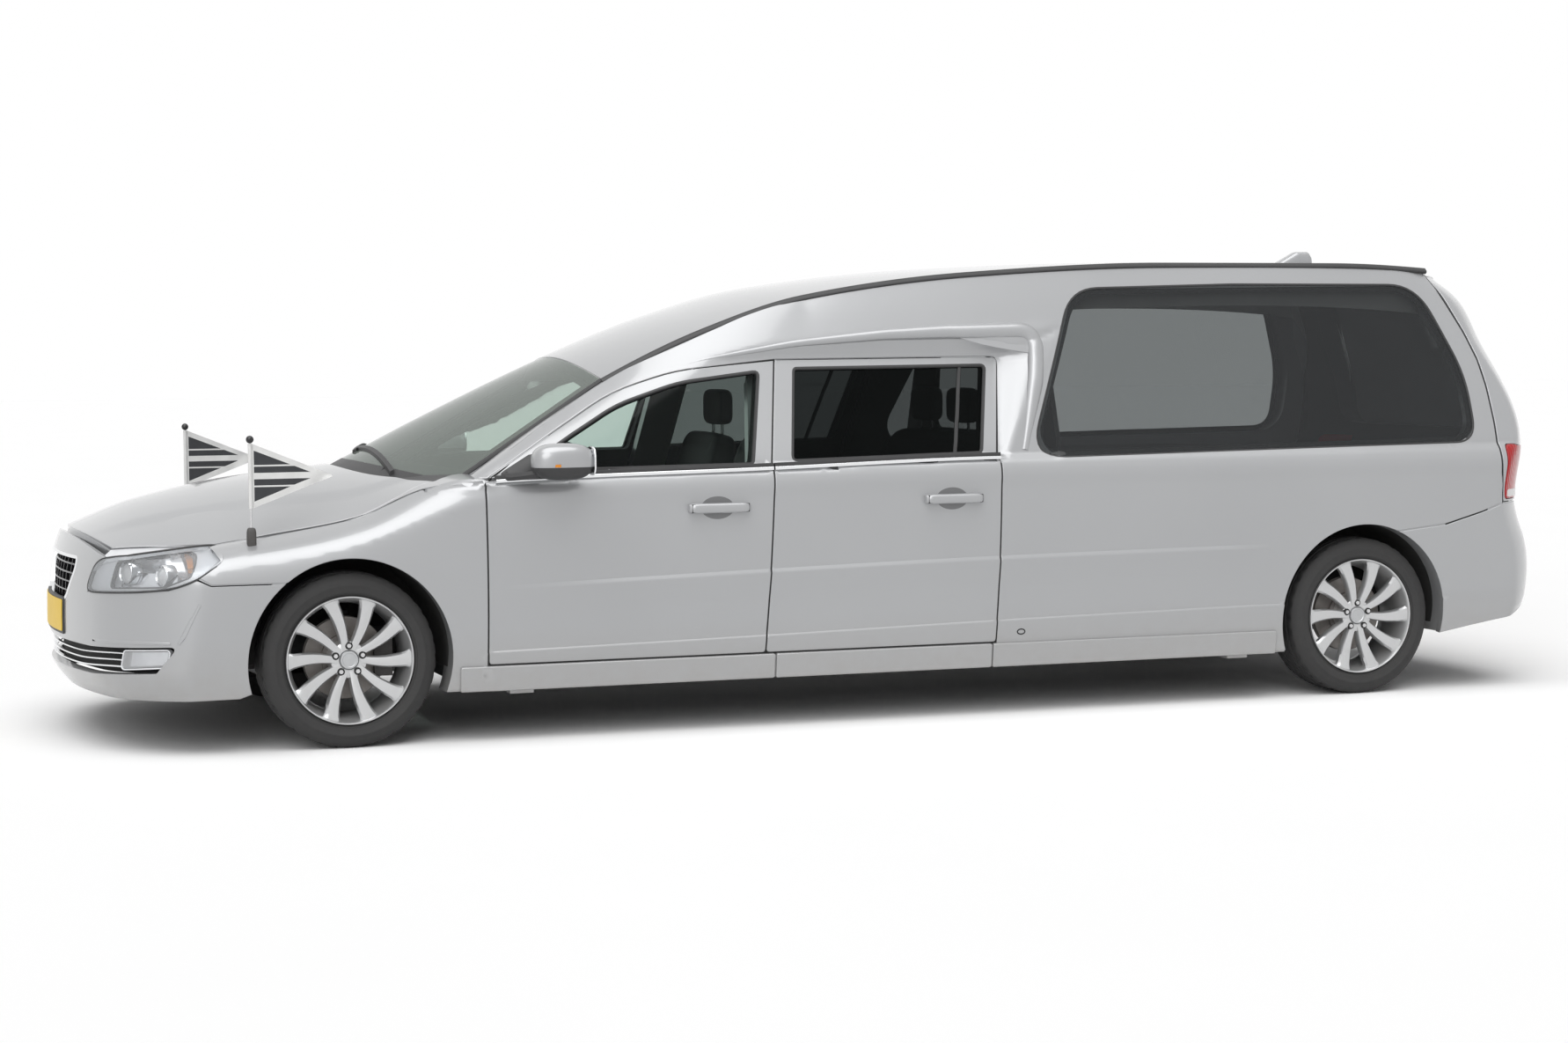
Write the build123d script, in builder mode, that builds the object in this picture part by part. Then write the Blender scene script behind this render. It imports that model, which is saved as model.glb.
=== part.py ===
"""Funeral limousine: a stretched estate car with a raised glazed load space, as separate panels and fittings.

X points forward, Y to the left and Z up. The origin is on the ground, midway along the length. Millimetres.
"""
import os
from build123d import *

os.makedirs("parts", exist_ok=True)

# Overall sizes
OVERALL_LENGTH = 6100
FRONT_OVERHANG = 960
WHEELBASE = 4174
BODY_WIDTH = 1870
ROOF_HEIGHT = 1777
TRACK = 1578
TYRE_RADIUS = 320
TYRE_WIDTH = 225
RIM_RADIUS = 233
FRONT_ARCH_RADIUS = 375
REAR_ARCH_RADIUS = 380

# Wall thicknesses and gaps
LOWER_WALL = 75
UPPER_WALL = 60
END_WALL = 70
BONNET_DEPTH = 35
GLASS_DEPTH = 4
GLASS_THICKNESS = 6
GAP = 6
SEAT_GAP = 0.3
REAR_GAP = 16
BONNET_FRONT_GAP = 14

# Floor and sill levels
SILL_BOTTOM = 190
FLOOR_TOP = 275
FLOOR_THICKNESS = 70
REAR_FLOOR_TOP = 500
REAR_FLOOR_THICKNESS = 60
FLOOR_HALF_WIDTH = 770
DECK_TOP = 690
DOOR_BOTTOM = 283
WAIST_HEIGHT = 770
DOOR_LEAN = 24.5

# Positions that follow from them
HALF_WIDTH = BODY_WIDTH / 2
NOSE_X = OVERALL_LENGTH / 2
TAIL_X = -OVERALL_LENGTH / 2
FRONT_AXLE_X = NOSE_X - FRONT_OVERHANG
REAR_AXLE_X = FRONT_AXLE_X - WHEELBASE
AXLE_Z = TYRE_RADIUS
WHEEL_Y = TRACK / 2
KINGPIN_Y = WHEEL_Y - 60


def front(distance):
    """X of a place measured from the front axle."""
    return FRONT_AXLE_X + distance


def rear(distance):
    """X of a place measured from the rear axle."""
    return REAR_AXLE_X + distance


# Lower body sections: x, then inset from the half width and height at sill, bulge, shoulder, belt and crown
TUB_SECTIONS = [
    # x, sill_in, bulge_in, bulge_z, shoulder_in, shoulder_z, belt_in, belt_z, crown_z
    (front(1000), 60, 12, 560, 34, 600, 230, 655, 735),
    (front(640), 50, 6, 590, 22, 640, 200, 700, 866),
    (front(300), 35, 0, 610, 16, 680, 190, 766, 938),
    (front(-50), 30, 0, 620, 12, 740, 180, 828, 978),
    (front(-330), 30, 0, 600, 12, 840, 125, 938, 1000),
    (front(-520), 30, 0, 590, 12, 870, 43, 958, 1000),
    (front(-1600), 30, 0, 600, 10, 892, 40, 983, 1010),
    (rear(1600), 30, 0, 610, 10, 905, 40, 1005, 1030),
    (rear(0), 30, 0, 615, 12, 905, 42, 1005, 1030),
    (rear(-1030), 60, 25, 620, 40, 905, 75, 1005, 1030),
]
TUB_KNEE = 5
SHOULDER_BULGE = 0.12

# Upper body sections: base, side bulge, roof edge inset
# and drops of the roof edge and crown below the roof height
UPPER_SECTIONS = [
    # x, base_in, base_z, bulge, edge_in, edge_drop, crown_drop
    (front(-50), 135, 600, 15, 145, 1072, 827),
    (front(-480), 63, 900, 30, 213, 812, 609),
    (front(-1050), 49, 950, 72, 330, 459, 352),
    (front(-1450), 48, 955, 34, 317, 274, 205),
    (front(-1850), 47, 962, 18, 313, 149, 101),
    (rear(1624), 46, 980, 14, 313, 59, 29),
    (rear(774), 46, 985, 14, 313, 21, 1),
    (rear(-26), 46, 985, 14, 315, 22, 0),
    (rear(-1030), 85, 985, 14, 345, 87, 62),
]
UPPER_KNEE = 4

# Plan outlines by height: half width, and how far the nose and tail stand back from the two ends
PLAN_SECTIONS = [
    # z, side_out, nose_back, tail_back
    (120, 30, 190, 160),
    (200, 30, 55, 95),
    (300, 30, 0, 30),
    (450, 30, 0, 0),
    (600, 30, 6, 13),
    (700, 30, 24, 50),
    (800, 30, 60, 68),
    (1000, 30, 120, 40),
    (1280, -55, 200, 82),
    (1470, -135, 260, 150),
    (1670, -220, 320, 255),
    (1830, -275, 380, 360),
]
NOSE_SWEEP = 80
NOSE_CORNER_WIDTH = 405
NOSE_CORNER_LENGTH = 620
TAIL_SWEEP = 35
TAIL_CORNER_WIDTH = 365
TAIL_CORNER_LENGTH = 445


def tub_run(inset, bottom, drop, rows, ruled):
    """One lengthwise run of the lower body, drawn in from its skin by inset."""
    with BuildPart() as run:
        for x, sill_in, bulge_in, bulge_z, shoulder_in, shoulder_z, belt_in, belt_z, crown_z in rows:
            sill, bulge, shoulder, belt = [
                HALF_WIDTH - inset - value for value in (sill_in, bulge_in, shoulder_in, belt_in)
            ]
            top = belt_z - drop
            bow = -SHOULDER_BULGE * ((shoulder - belt) ** 2 + (top - shoulder_z) ** 2) ** 0.5
            with BuildSketch(Plane.YZ.offset(x)):
                with BuildLine():
                    Line((-sill, bottom), (sill, bottom))
                    for side in (1, -1):
                        TangentArc((side * bulge, bulge_z), (side * sill, bottom), tangent=(0, -1))
                        TangentArc((side * bulge, bulge_z), (side * shoulder, shoulder_z), tangent=(0, 1))
                    SagittaArc((shoulder, shoulder_z), (belt, top), bow)
                    ThreePointArc((belt, top), (0, crown_z - drop), (-belt, top))
                    SagittaArc((-belt, top), (-shoulder, shoulder_z), bow)
                make_face()
        loft(ruled=ruled)
    return run.part


def tub(inset, bottom, drop):
    """The lower body from nose to tail as one solid."""
    with BuildPart() as solid:
        add(tub_run(inset, bottom, drop, TUB_SECTIONS[: TUB_KNEE + 1], False))
        add(tub_run(inset, bottom, drop, TUB_SECTIONS[TUB_KNEE:], True))
    return solid.part


def upper_run(inset, sink, rows):
    """One lengthwise run of the upper body, drawn in by inset with its base sunk lower."""
    with BuildPart() as run:
        for x, base_in, base_z, bulge, edge_in, edge_drop, crown_drop in rows:
            base = HALF_WIDTH - base_in - inset
            edge = HALF_WIDTH - edge_in - inset
            low = base_z - sink
            edge_z = ROOF_HEIGHT - edge_drop - inset
            with BuildSketch(Plane.YZ.offset(x)):
                with BuildLine():
                    Line((-base, low), (base, low))
                    SagittaArc((base, low), (edge, edge_z), -bulge)
                    ThreePointArc((edge, edge_z), (0, ROOF_HEIGHT - crown_drop - inset), (-edge, edge_z))
                    SagittaArc((-edge, edge_z), (-base, low), -bulge)
                make_face()
        loft()
    return run.part


def upper(inset, sink):
    """The upper body from the windscreen foot to the tail as one solid."""
    with BuildPart() as solid:
        add(upper_run(inset, sink, UPPER_SECTIONS[: UPPER_KNEE + 1]))
        add(upper_run(inset, sink, UPPER_SECTIONS[UPPER_KNEE:]))
    return solid.part


def plan(inset):
    """A tall solid whose plan outline rounds the nose and the tail."""
    with BuildPart() as solid:
        for z, side_out, nose_back, tail_back in PLAN_SECTIONS:
            side = HALF_WIDTH + side_out - inset
            nose = NOSE_X - nose_back - inset
            tail = TAIL_X + tail_back + inset
            nose_side = side - NOSE_CORNER_WIDTH
            tail_side = side - TAIL_CORNER_WIDTH
            with BuildSketch(Plane.XY.offset(z)):
                with BuildLine():
                    bow_x, stern_x = nose - NOSE_SWEEP, tail + TAIL_SWEEP
                    bow = ThreePointArc((bow_x, -nose_side), (nose, 0), (bow_x, nose_side))
                    stern = ThreePointArc((stern_x, tail_side), (tail, 0), (stern_x, -tail_side))
                    TangentArc(bow @ 1, (nose - NOSE_CORNER_LENGTH, side), tangent=bow % 1)
                    TangentArc(bow @ 0, (nose - NOSE_CORNER_LENGTH, -side), tangent=-(bow % 0))
                    TangentArc(stern @ 0, (tail + TAIL_CORNER_LENGTH, side), tangent=-(stern % 0))
                    TangentArc(stern @ 1, (tail + TAIL_CORNER_LENGTH, -side), tangent=stern % 1)
                    Line((nose - NOSE_CORNER_LENGTH, side), (tail + TAIL_CORNER_LENGTH, side))
                    Line((nose - NOSE_CORNER_LENGTH, -side), (tail + TAIL_CORNER_LENGTH, -side))
                make_face()
        loft()
    return solid.part


# Recess over the doors: outlines on the leaning plane of the door frames, at that plane and further out
BELT_FRONT_Z = 962
RECESS_DEPTH = 60
RECESS_FLOORS = [
    # depth_out, rear_low_x, rear_high_x, top, corner
    (0, rear(1600), rear(1530), 475, 30),
    (RECESS_DEPTH, rear(1515), rear(1375), 556, 90),
]
RECESS_FRONT_X = front(-1000)
RECESS_FOOT = 12


def door_plane(out):
    """The leaning plane of the left door frames, moved outward by out.

    Its x runs aft and its y up the slope.
    """
    lean = Vector(0, 1, 0).rotate(Axis.X, DOOR_LEAN)
    return Plane(origin=(0, HALF_WIDTH - 46, BELT_FRONT_Z), x_dir=(-1, 0, 0), z_dir=lean).offset(out)


def recess(sink):
    """The cutter for the left recess, sunk inward by sink."""
    with BuildPart() as cutter:
        for depth_out, low_x, high_x, top, corner in RECESS_FLOORS:
            with BuildSketch(door_plane(depth_out - sink)):
                with BuildLine():
                    FilletPolyline(
                        (-RECESS_FRONT_X, top),
                        (-high_x, top),
                        (-low_x, RECESS_FOOT),
                        radius=corner,
                    )
                    Polyline((-low_x, RECESS_FOOT), (-RECESS_FRONT_X, RECESS_FOOT), (-RECESS_FRONT_X, top))
                make_face()
        loft(ruled=True)
    return cutter.part


def cut(piece, *cutters):
    """A piece with cutters taken away."""
    with BuildPart() as solid:
        add(piece)
        add(cutters, clean=False, mode=Mode.SUBTRACT)
    return solid.part


def common(piece, *limits):
    """What a piece shares with every limit."""
    with BuildPart() as solid:
        add(piece)
        for limit in limits:
            add(limit, clean=False, mode=Mode.INTERSECT)
    return solid.part


def body_solid(inset, low_inset, end_inset, bottom, drop, sink):
    """The whole outer form of the car, drawn in by the insets given, with the recesses cut."""
    ends = plan(end_inset)
    cutter = recess(inset)
    low = common(tub(low_inset, bottom, drop), ends)
    high = cut(common(upper(inset, sink), ends), cutter, cutter.mirror(Plane.XZ))
    with BuildPart() as solid:
        add(low)
        add(high)
    return solid.part


def glass_solid(inset, sink):
    """The outer form of the glazed upper body, drawn in by inset with its base sunk."""
    cutter = recess(inset)
    return cut(common(upper(inset, sink), plan(inset)), cutter, cutter.mirror(Plane.XZ))



skin = body_solid(0, 0, 0, SILL_BOTTOM, 0, 0)
inside = body_solid(UPPER_WALL, LOWER_WALL, END_WALL, FLOOR_TOP, BONNET_DEPTH, 60)
glass_out = glass_solid(GLASS_DEPTH, 0)
glass_in = glass_solid(GLASS_DEPTH + GLASS_THICKNESS, 40)


def both(piece):
    """A left piece with its mirror image on the right."""
    return piece + piece.mirror(Plane.XZ)


def block(x_low, x_high, y_low, y_high, z_low, z_high):
    """A plain box between six faces."""
    with BuildPart() as solid:
        with Locations(((x_low + x_high) / 2, (y_low + y_high) / 2, (z_low + z_high) / 2)):
            Box(x_high - x_low, y_high - y_low, z_high - z_low)
    return solid.part


def side_prism(points, radii, y_low, y_high, grow=0):
    """A prism across the car from a rounded outline in side view, grown or shrunk evenly."""
    with BuildPart() as solid:
        with BuildSketch(Plane.XZ.offset(-y_low)):
            with BuildLine():
                FilletPolyline(*points, radius=radii, close=True)
            make_face()
            if grow:
                offset(amount=grow, kind=Kind.INTERSECTION)
        extrude(amount=-(y_high - y_low))
    return solid.part


def front_prism(points, radii, x_low, x_high, grow=0):
    """A prism along the car from a rounded outline in front view (y, z)."""
    with BuildPart() as solid:
        with BuildSketch(Plane.YZ.offset(x_low)):
            with BuildLine():
                FilletPolyline(*points, radius=radii, close=True)
            make_face()
            if grow:
                offset(amount=grow, kind=Kind.INTERSECTION)
        extrude(amount=x_high - x_low)
    return solid.part


def largest(piece):
    """The biggest solid of a piece, without slivers."""
    with BuildPart() as solid:
        add(piece.solids().sort_by(SortBy.VOLUME)[-1])
    return solid.part


def cylinder_y(x, y_low, y_high, z, radius):
    """A cylinder across the car."""
    with BuildPart() as solid:
        with BuildSketch(Plane.XZ.offset(-y_low)):
            with Locations((x, z)):
                Circle(radius)
        extrude(amount=-(y_high - y_low))
    return solid.part


# Side outlines of the doors and windows (x, z)
ROOF_RAIL_Z = 1390
PILLAR_TOP_X = front(-1703)
PILLAR_BELT_X = front(-1627)
PILLAR_BELT_Z = 985
FENDER_REAR_X = front(-499)
PILLAR_FOOT_X = front(-1581)
DOOR_FRONT_X = front(-505)
REAR_DOOR_TOP_X = rear(1534)
REAR_DOOR_BELT_X = rear(1611)
REAR_DOOR_FOOT_X = rear(1641)
SCREEN_PILLAR = [(front(-530), 962), (front(-803), 1130), (front(-1049), 1273), (front(-1300), 1350)]
FRONT_DOOR = [
    (DOOR_FRONT_X, DOOR_BOTTOM),
    (DOOR_FRONT_X, 950),
    *SCREEN_PILLAR,
    (PILLAR_TOP_X, ROOF_RAIL_Z),
    (PILLAR_BELT_X, PILLAR_BELT_Z),
    (PILLAR_FOOT_X, DOOR_BOTTOM),
]
FRONT_DOOR_RADII = [12, 0, 30, 900, 900, 900, 20, 60, 12]
REAR_DOOR = [
    (PILLAR_FOOT_X, DOOR_BOTTOM),
    (PILLAR_BELT_X, PILLAR_BELT_Z),
    (PILLAR_TOP_X, ROOF_RAIL_Z),
    (REAR_DOOR_TOP_X, ROOF_RAIL_Z + 5),
    (REAR_DOOR_BELT_X, 1000),
    (REAR_DOOR_FOOT_X, DOOR_BOTTOM),
]
REAR_DOOR_RADII = [12, 60, 20, 30, 60, 12]
FRONT_WINDOW = [
    (front(-640), 990),
    (front(-860), 1122),
    (front(-1049), 1228),
    (front(-1300), 1308),
    (front(-1634), 1348),
    (front(-1556), 998),
]
FRONT_WINDOW_RADII = [10, 500, 700, 700, 18, 18]
REAR_WINDOW = [
    (front(-1713), 1006),
    (front(-1776), 1357),
    (rear(1592), 1362),
    (rear(1672), 1022),
]
REAR_WINDOW_RADII = [18, 18, 18, 18]
QUARTER_WINDOW = [
    (rear(1464), 1000),
    (rear(-566), 1024),
    (rear(-561), 1300),
    (rear(-386), 1672),
    (rear(1189), 1660),
]
QUARTER_WINDOW_RADII = [90, 110, 500, 160, 130]
TAIL_LINE = [(rear(-426), 1800), (rear(-611), 1440), (rear(-663), 1150), (rear(-661), WAIST_HEIGHT)]
TAIL_LINE_RADII = [0, 900, 900, 0]
TAIL_OUTLINE = [*TAIL_LINE, (rear(-1200), WAIST_HEIGHT), (rear(-1200), 1900), (rear(-426), 1900)]
TAIL_OUTLINE_RADII = [*TAIL_LINE_RADII, 0, 0, 0]
TAIL_WINDOW = [(-640, 1060), (640, 1060), (500, 1640), (-500, 1640)]
TAIL_WINDOW_RADII = [70, 70, 70, 70]
REAR_BUMPER_OUTLINE = [
    (rear(-140), 668),
    (rear(-384), 690),
    (rear(-661), WAIST_HEIGHT),
    (rear(-1200), WAIST_HEIGHT),
    (rear(-1200), 0),
    (rear(-140), 0),
]
REAR_BUMPER_RADII = [0, 200, 0, 0, 0, 0]
HEADLAMP = [
    (front(880), 578),
    (front(866), 640),
    (front(812), 708),
    (front(483), 744),
    (front(458), 697),
    (front(546), 636),
    (front(640), 600),
]
HEADLAMP_RADII = [15, 40, 60, 20, 20, 60, 60]
FENDER_OUTLINE = [
    (front(285), 612),
    (front(500), 612),
    (front(546), 636),
    (front(458), 697),
    (front(483), 744),
    (front(483), 1100),
    (FENDER_REAR_X, 1100),
    (FENDER_REAR_X, 0),
    (front(285), 0),
]
GRILLE = [(-385, 692), (385, 692), (385, 640), (300, 545), (200, 485), (-200, 485), (-300, 545), (-385, 640)]
GRILLE_RADII = [25, 25, 60, 60, 60, 60, 60, 60]
INTAKE = [(-870, 378), (-560, 342), (560, 342), (870, 378), (850, 300), (560, 278), (-560, 278), (-850, 300)]
INTAKE_RADII = [15, 60, 60, 15, 15, 60, 60, 15]
FOG_LAMP = [(front(770), 352), (front(640), 372), (front(655), 318), (front(790), 305)]
FOG_LAMP_RADII = [12, 12, 12, 12]
TAIL_LAMP = [(rear(-740), 1003), (rear(-1100), 1006), (rear(-1100), 782), (rear(-712), 784)]
TAIL_LAMP_RADII = [25, 0, 0, 25]
TAIL_LAMP_INNER_Y = 560

# Plan outlines of the bonnet, cowl and windscreen (x, half y)
BONNET_NOSE_X = front(890)
BONNET_SKIRT_Z = 702
BONNET_HINGE_X = front(-350)
BONNET_SIDE = [
    (front(800), 570),
    (front(470), 735),
    (front(-40), 754),
    (front(-220), 765),
    (BONNET_HINGE_X, 738),
]
BONNET_TAIL_X = front(-100)
SCREEN_FOOT_X = front(-172)
SCREEN_FOOT_CORNER = (front(-432), 706)
SCREEN_HEAD_CORNER = (front(-1040), 588)
SCREEN_HEAD_X = front(-990)
ROOF_HALF_WIDTH = 606


def bonnet_prism(grow, front_grow):
    """The plan outline of the bonnet as an upright prism, grown outward at its edges."""
    half = [(x, y + grow) for x, y in BONNET_SIDE]
    nose, corner = half[0], (half[-1][0] - grow, half[-1][1])
    half[-1] = corner
    lead = (nose[0] + front_grow, nose[1])
    with BuildPart() as solid:
        with BuildSketch(Plane.XY.offset(BONNET_SKIRT_Z - grow)):
            with BuildLine():
                ThreePointArc((lead[0], -lead[1]), (BONNET_NOSE_X + front_grow, 0), lead)
                Polyline(lead, *half[1:])
                ThreePointArc(corner, (BONNET_TAIL_X - grow, 0), (corner[0], -corner[1]))
                Polyline((lead[0], -lead[1]), *[(x, -y) for x, y in half[1:]])
            make_face()
        extrude(amount=700)
    return solid.part


def screen_prism():
    """The plan outline of the windscreen as an upright prism."""
    foot, head = SCREEN_FOOT_CORNER, SCREEN_HEAD_CORNER
    with BuildPart() as solid:
        with BuildSketch(Plane.XY.offset(930)):
            with BuildLine():
                ThreePointArc((foot[0], -foot[1]), (SCREEN_FOOT_X, 0), foot)
                Line(foot, head)
                ThreePointArc(head, (SCREEN_HEAD_X, 0), (head[0], -head[1]))
                Line((head[0], -head[1]), (foot[0], -foot[1]))
            make_face()
        extrude(amount=700)
    return solid.part


def cowl_prism():
    """The plan outline of the scuttle between the bonnet and the windscreen."""
    corner, foot = BONNET_SIDE[-1], SCREEN_FOOT_CORNER
    near = (corner[0] - GAP, corner[1] + GAP)
    with BuildPart() as solid:
        with BuildSketch(Plane.XY.offset(900)):
            with BuildLine():
                ThreePointArc((near[0], -near[1]), (BONNET_TAIL_X - GAP, 0), near)
                Line(near, foot)
                ThreePointArc(foot, (SCREEN_FOOT_X, 0), (foot[0], -foot[1]))
                Line((foot[0], -foot[1]), (near[0], -near[1]))
            make_face()
        extrude(amount=400)
    return solid.part


# The shell of the car with its wheel arches cut
front_arch = cylinder_y(FRONT_AXLE_X, 400, 1100, AXLE_Z, FRONT_ARCH_RADIUS)
rear_arch = cylinder_y(REAR_AXLE_X, 400, 1100, AXLE_Z, REAR_ARCH_RADIUS)
arches = both(front_arch) + both(rear_arch)
under_floor = block(TAIL_X + 170, NOSE_X - 170, -FLOOR_HALF_WIDTH, FLOOR_HALF_WIDTH, 0, FLOOR_TOP)
shell = cut(skin, inside, arches)

bonnet_opening = bonnet_prism(GAP, BONNET_FRONT_GAP)
screen_cut = screen_prism()
cowl_cut = cowl_prism()
headlamp_cut = both(cut(side_prism(HEADLAMP, HEADLAMP_RADII, 560, 1100), bonnet_opening))
tail_cut = side_prism(TAIL_OUTLINE, TAIL_OUTLINE_RADII, -1100, 1100)
rear_bumper_cut = side_prism(REAR_BUMPER_OUTLINE, REAR_BUMPER_RADII, -1100, 1100)
fender_zone = side_prism(FENDER_OUTLINE, 0, -1100, 1100)
grille_cut = front_prism(GRILLE, GRILLE_RADII, front(500), NOSE_X + 100)
intake_cut = front_prism(INTAKE, INTAKE_RADII, front(420), NOSE_X + 100)
front_door_opening = side_prism(FRONT_DOOR, FRONT_DOOR_RADII, 400, 1100)
rear_door_opening = side_prism(REAR_DOOR, REAR_DOOR_RADII, 400, 1100)
front_window_cut = side_prism(FRONT_WINDOW, FRONT_WINDOW_RADII, 400, 1100)
rear_window_cut = side_prism(REAR_WINDOW, REAR_WINDOW_RADII, 400, 1100)
quarter_cut = side_prism(QUARTER_WINDOW, QUARTER_WINDOW_RADII, 400, 1100)
tail_window_cut = front_prism(TAIL_WINDOW, TAIL_WINDOW_RADII, TAIL_X - 100, rear(-500))
tail_lamp_cut = both(side_prism(TAIL_LAMP, TAIL_LAMP_RADII, TAIL_LAMP_INNER_Y, 1100))
roof_zone = block(rear(-1200), front(-900), -ROOF_HALF_WIDTH, ROOF_HALF_WIDTH, 1300, 1900)
glass_layer = cut(glass_out, glass_in)

# Body sides with their centre posts and jacking pads
POST_HALF = 75
POST_DEPTH = 45
POST_CLEARANCE = 26
POST_SHOULDER_Z = 900
POST_OUTER_Y = 815
POST_INNER_Y = FLOOR_HALF_WIDTH + 2
POST_FOOT_Z = FLOOR_TOP - 15
JACK_PAD_X = [front(-640), rear(560)]
JACK_PAD_SIZE = (90, 60, 20)
JACK_PAD_Y = 850
with BuildPart() as post:
    post_low, post_high = PILLAR_FOOT_X - POST_HALF, PILLAR_FOOT_X + POST_HALF
    add(block(post_low, post_high, POST_INNER_Y, POST_OUTER_Y, POST_FOOT_Z, POST_SHOULDER_Z))
    with BuildSketch(door_plane(-UPPER_WALL - POST_CLEARANCE)):
        with BuildLine():
            Polyline(
                (-PILLAR_BELT_X - POST_HALF, -40),
                (-PILLAR_BELT_X + POST_HALF, -40),
                (-PILLAR_TOP_X + POST_HALF, 520),
                (-PILLAR_TOP_X - POST_HALF, 520),
                close=True,
            )
        make_face()
    extrude(amount=-POST_DEPTH)
    post_x = (PILLAR_TOP_X - POST_HALF, PILLAR_TOP_X + POST_HALF)
    add(block(*post_x, 560, 700, ROOF_RAIL_Z + 4, ROOF_RAIL_Z + 60))
HINGE_POST_Y = 775
HINGE_POST_X = (FENDER_REAR_X - GAP / 2, front(-442))
HINGE_LEAF_Z = [(400, 440), (780, 820)]
HINGE_LEAF_Y = (785, 900)
HINGE_LEAF_FOOT_Y = 830
HINGE_LEAF_THICKNESS = 8
hinge_post = block(*HINGE_POST_X, HINGE_POST_Y, 1000, DOOR_BOTTOM, 920)
post_piece = cut(common(post.part, skin), roof_zone)
side_blank = common(shell, block(TAIL_X - 100, FENDER_REAR_X, 0, 1100, 0, 2000))
side_openings = [
    under_floor,
    roof_zone,
    screen_cut,
    cowl_cut,
    bonnet_opening,
    front_door_opening,
    rear_door_opening,
    quarter_cut,
    tail_cut,
    rear_bumper_cut,
]
with BuildPart() as body_side_left:
    add(cut(side_blank, *side_openings))
    add(post_piece)
    add(common(hinge_post, inside))
    for leaf_low, leaf_high in HINGE_LEAF_Z:
        face_x = DOOR_FRONT_X - GAP + SEAT_GAP
        add(block(face_x, FENDER_REAR_X - SEAT_GAP, *HINGE_LEAF_Y, leaf_low, leaf_high))
        add(block(face_x, FENDER_REAR_X + 10, HINGE_LEAF_Y[0], HINGE_LEAF_FOOT_Y, leaf_low, leaf_high))
        lean = (PILLAR_BELT_X - PILLAR_FOOT_X) / (PILLAR_BELT_Z - DOOR_BOTTOM)
        face_x = PILLAR_FOOT_X + lean * (leaf_low - DOOR_BOTTOM) - GAP + SEAT_GAP
        add(block(face_x, face_x + HINGE_LEAF_THICKNESS, *HINGE_LEAF_Y, leaf_low, leaf_high))
    for pad_x in JACK_PAD_X:
        with Locations((pad_x, JACK_PAD_Y, SILL_BOTTOM - JACK_PAD_SIZE[2] / 2)):
            Box(*JACK_PAD_SIZE)
body_side_left.part.label = "body_side_left"
with BuildPart() as body_side_right:
    add(body_side_left.part.mirror(Plane.XZ))
body_side_right.part.label = "body_side_right"

# Roof panel with the tailgate's hinge leaves and the aerial fin
TAIL_HINGE_Y = (300, 400)
tail_hinge_zone = both(block(rear(-700), rear(-400), *TAIL_HINGE_Y, 1600, 1900))
tail_seat = side_prism(TAIL_OUTLINE, TAIL_OUTLINE_RADII, -1100, 1100, SEAT_GAP - GAP)
FIN_FRONT_X = rear(-60)
FIN_LENGTH = 190
FIN_HEIGHT = 50
with BuildPart() as roof_panel:
    add(cut(common(shell, roof_zone), screen_cut, tail_cut))
    add(cut(common(shell, tail_cut, tail_hinge_zone), tail_seat))
    with BuildPart(mode=Mode.PRIVATE) as fin:
        with BuildSketch(Plane.XZ):
            with BuildLine():
                Polyline(
                    (FIN_FRONT_X, ROOF_HEIGHT - 25),
                    (FIN_FRONT_X - FIN_LENGTH, ROOF_HEIGHT - 25),
                    (FIN_FRONT_X - FIN_LENGTH, ROOF_HEIGHT + FIN_HEIGHT),
                    (FIN_FRONT_X - 0.75 * FIN_LENGTH, ROOF_HEIGHT + FIN_HEIGHT),
                    close=True,
                )
            make_face()
        extrude(amount=28, both=True, taper=15)
    add(fin.part)
roof_panel.part.label = "roof_panel"

# Fenders, bumpers and lamps
nose_shell = common(shell, block(FENDER_REAR_X, NOSE_X + 100, 0, 1100, 0, 1500))
fender_blank = cut(common(nose_shell, fender_zone), bonnet_opening, headlamp_cut, under_floor)
fender = cut(cut(fender_blank, cowl_cut), screen_cut)
with BuildPart() as front_fenders:
    add(both(largest(fender)))
front_fenders.part.label = "front_fenders"
bumper_zone = block(front(285), NOSE_X + 100, -1100, 1100, 0, 1100)
bumper_openings = [fender_zone, bonnet_opening, headlamp_cut, grille_cut, intake_cut, under_floor]
with BuildPart() as front_bumper:
    add(both(largest(cut(common(nose_shell, bumper_zone), *bumper_openings))))
front_bumper.part.label = "front_bumper"
REAR_BELLY = [
    (rear(-300), 0),
    (rear(-300), 232),
    (rear(-700), 290),
    (rear(-1010), 385),
    (rear(-1300), 385),
    (rear(-1300), 0),
]
belly_cut = side_prism(REAR_BELLY, [0, 0, 200, 0, 0, 0], -1100, 1100)
with BuildPart() as rear_bumper:
    add(cut(common(shell, rear_bumper_cut), under_floor, belly_cut))
rear_bumper.part.label = "rear_bumper"
GRILLE_RECESS = 30
GRILLE_DEPTH = 30


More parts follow.
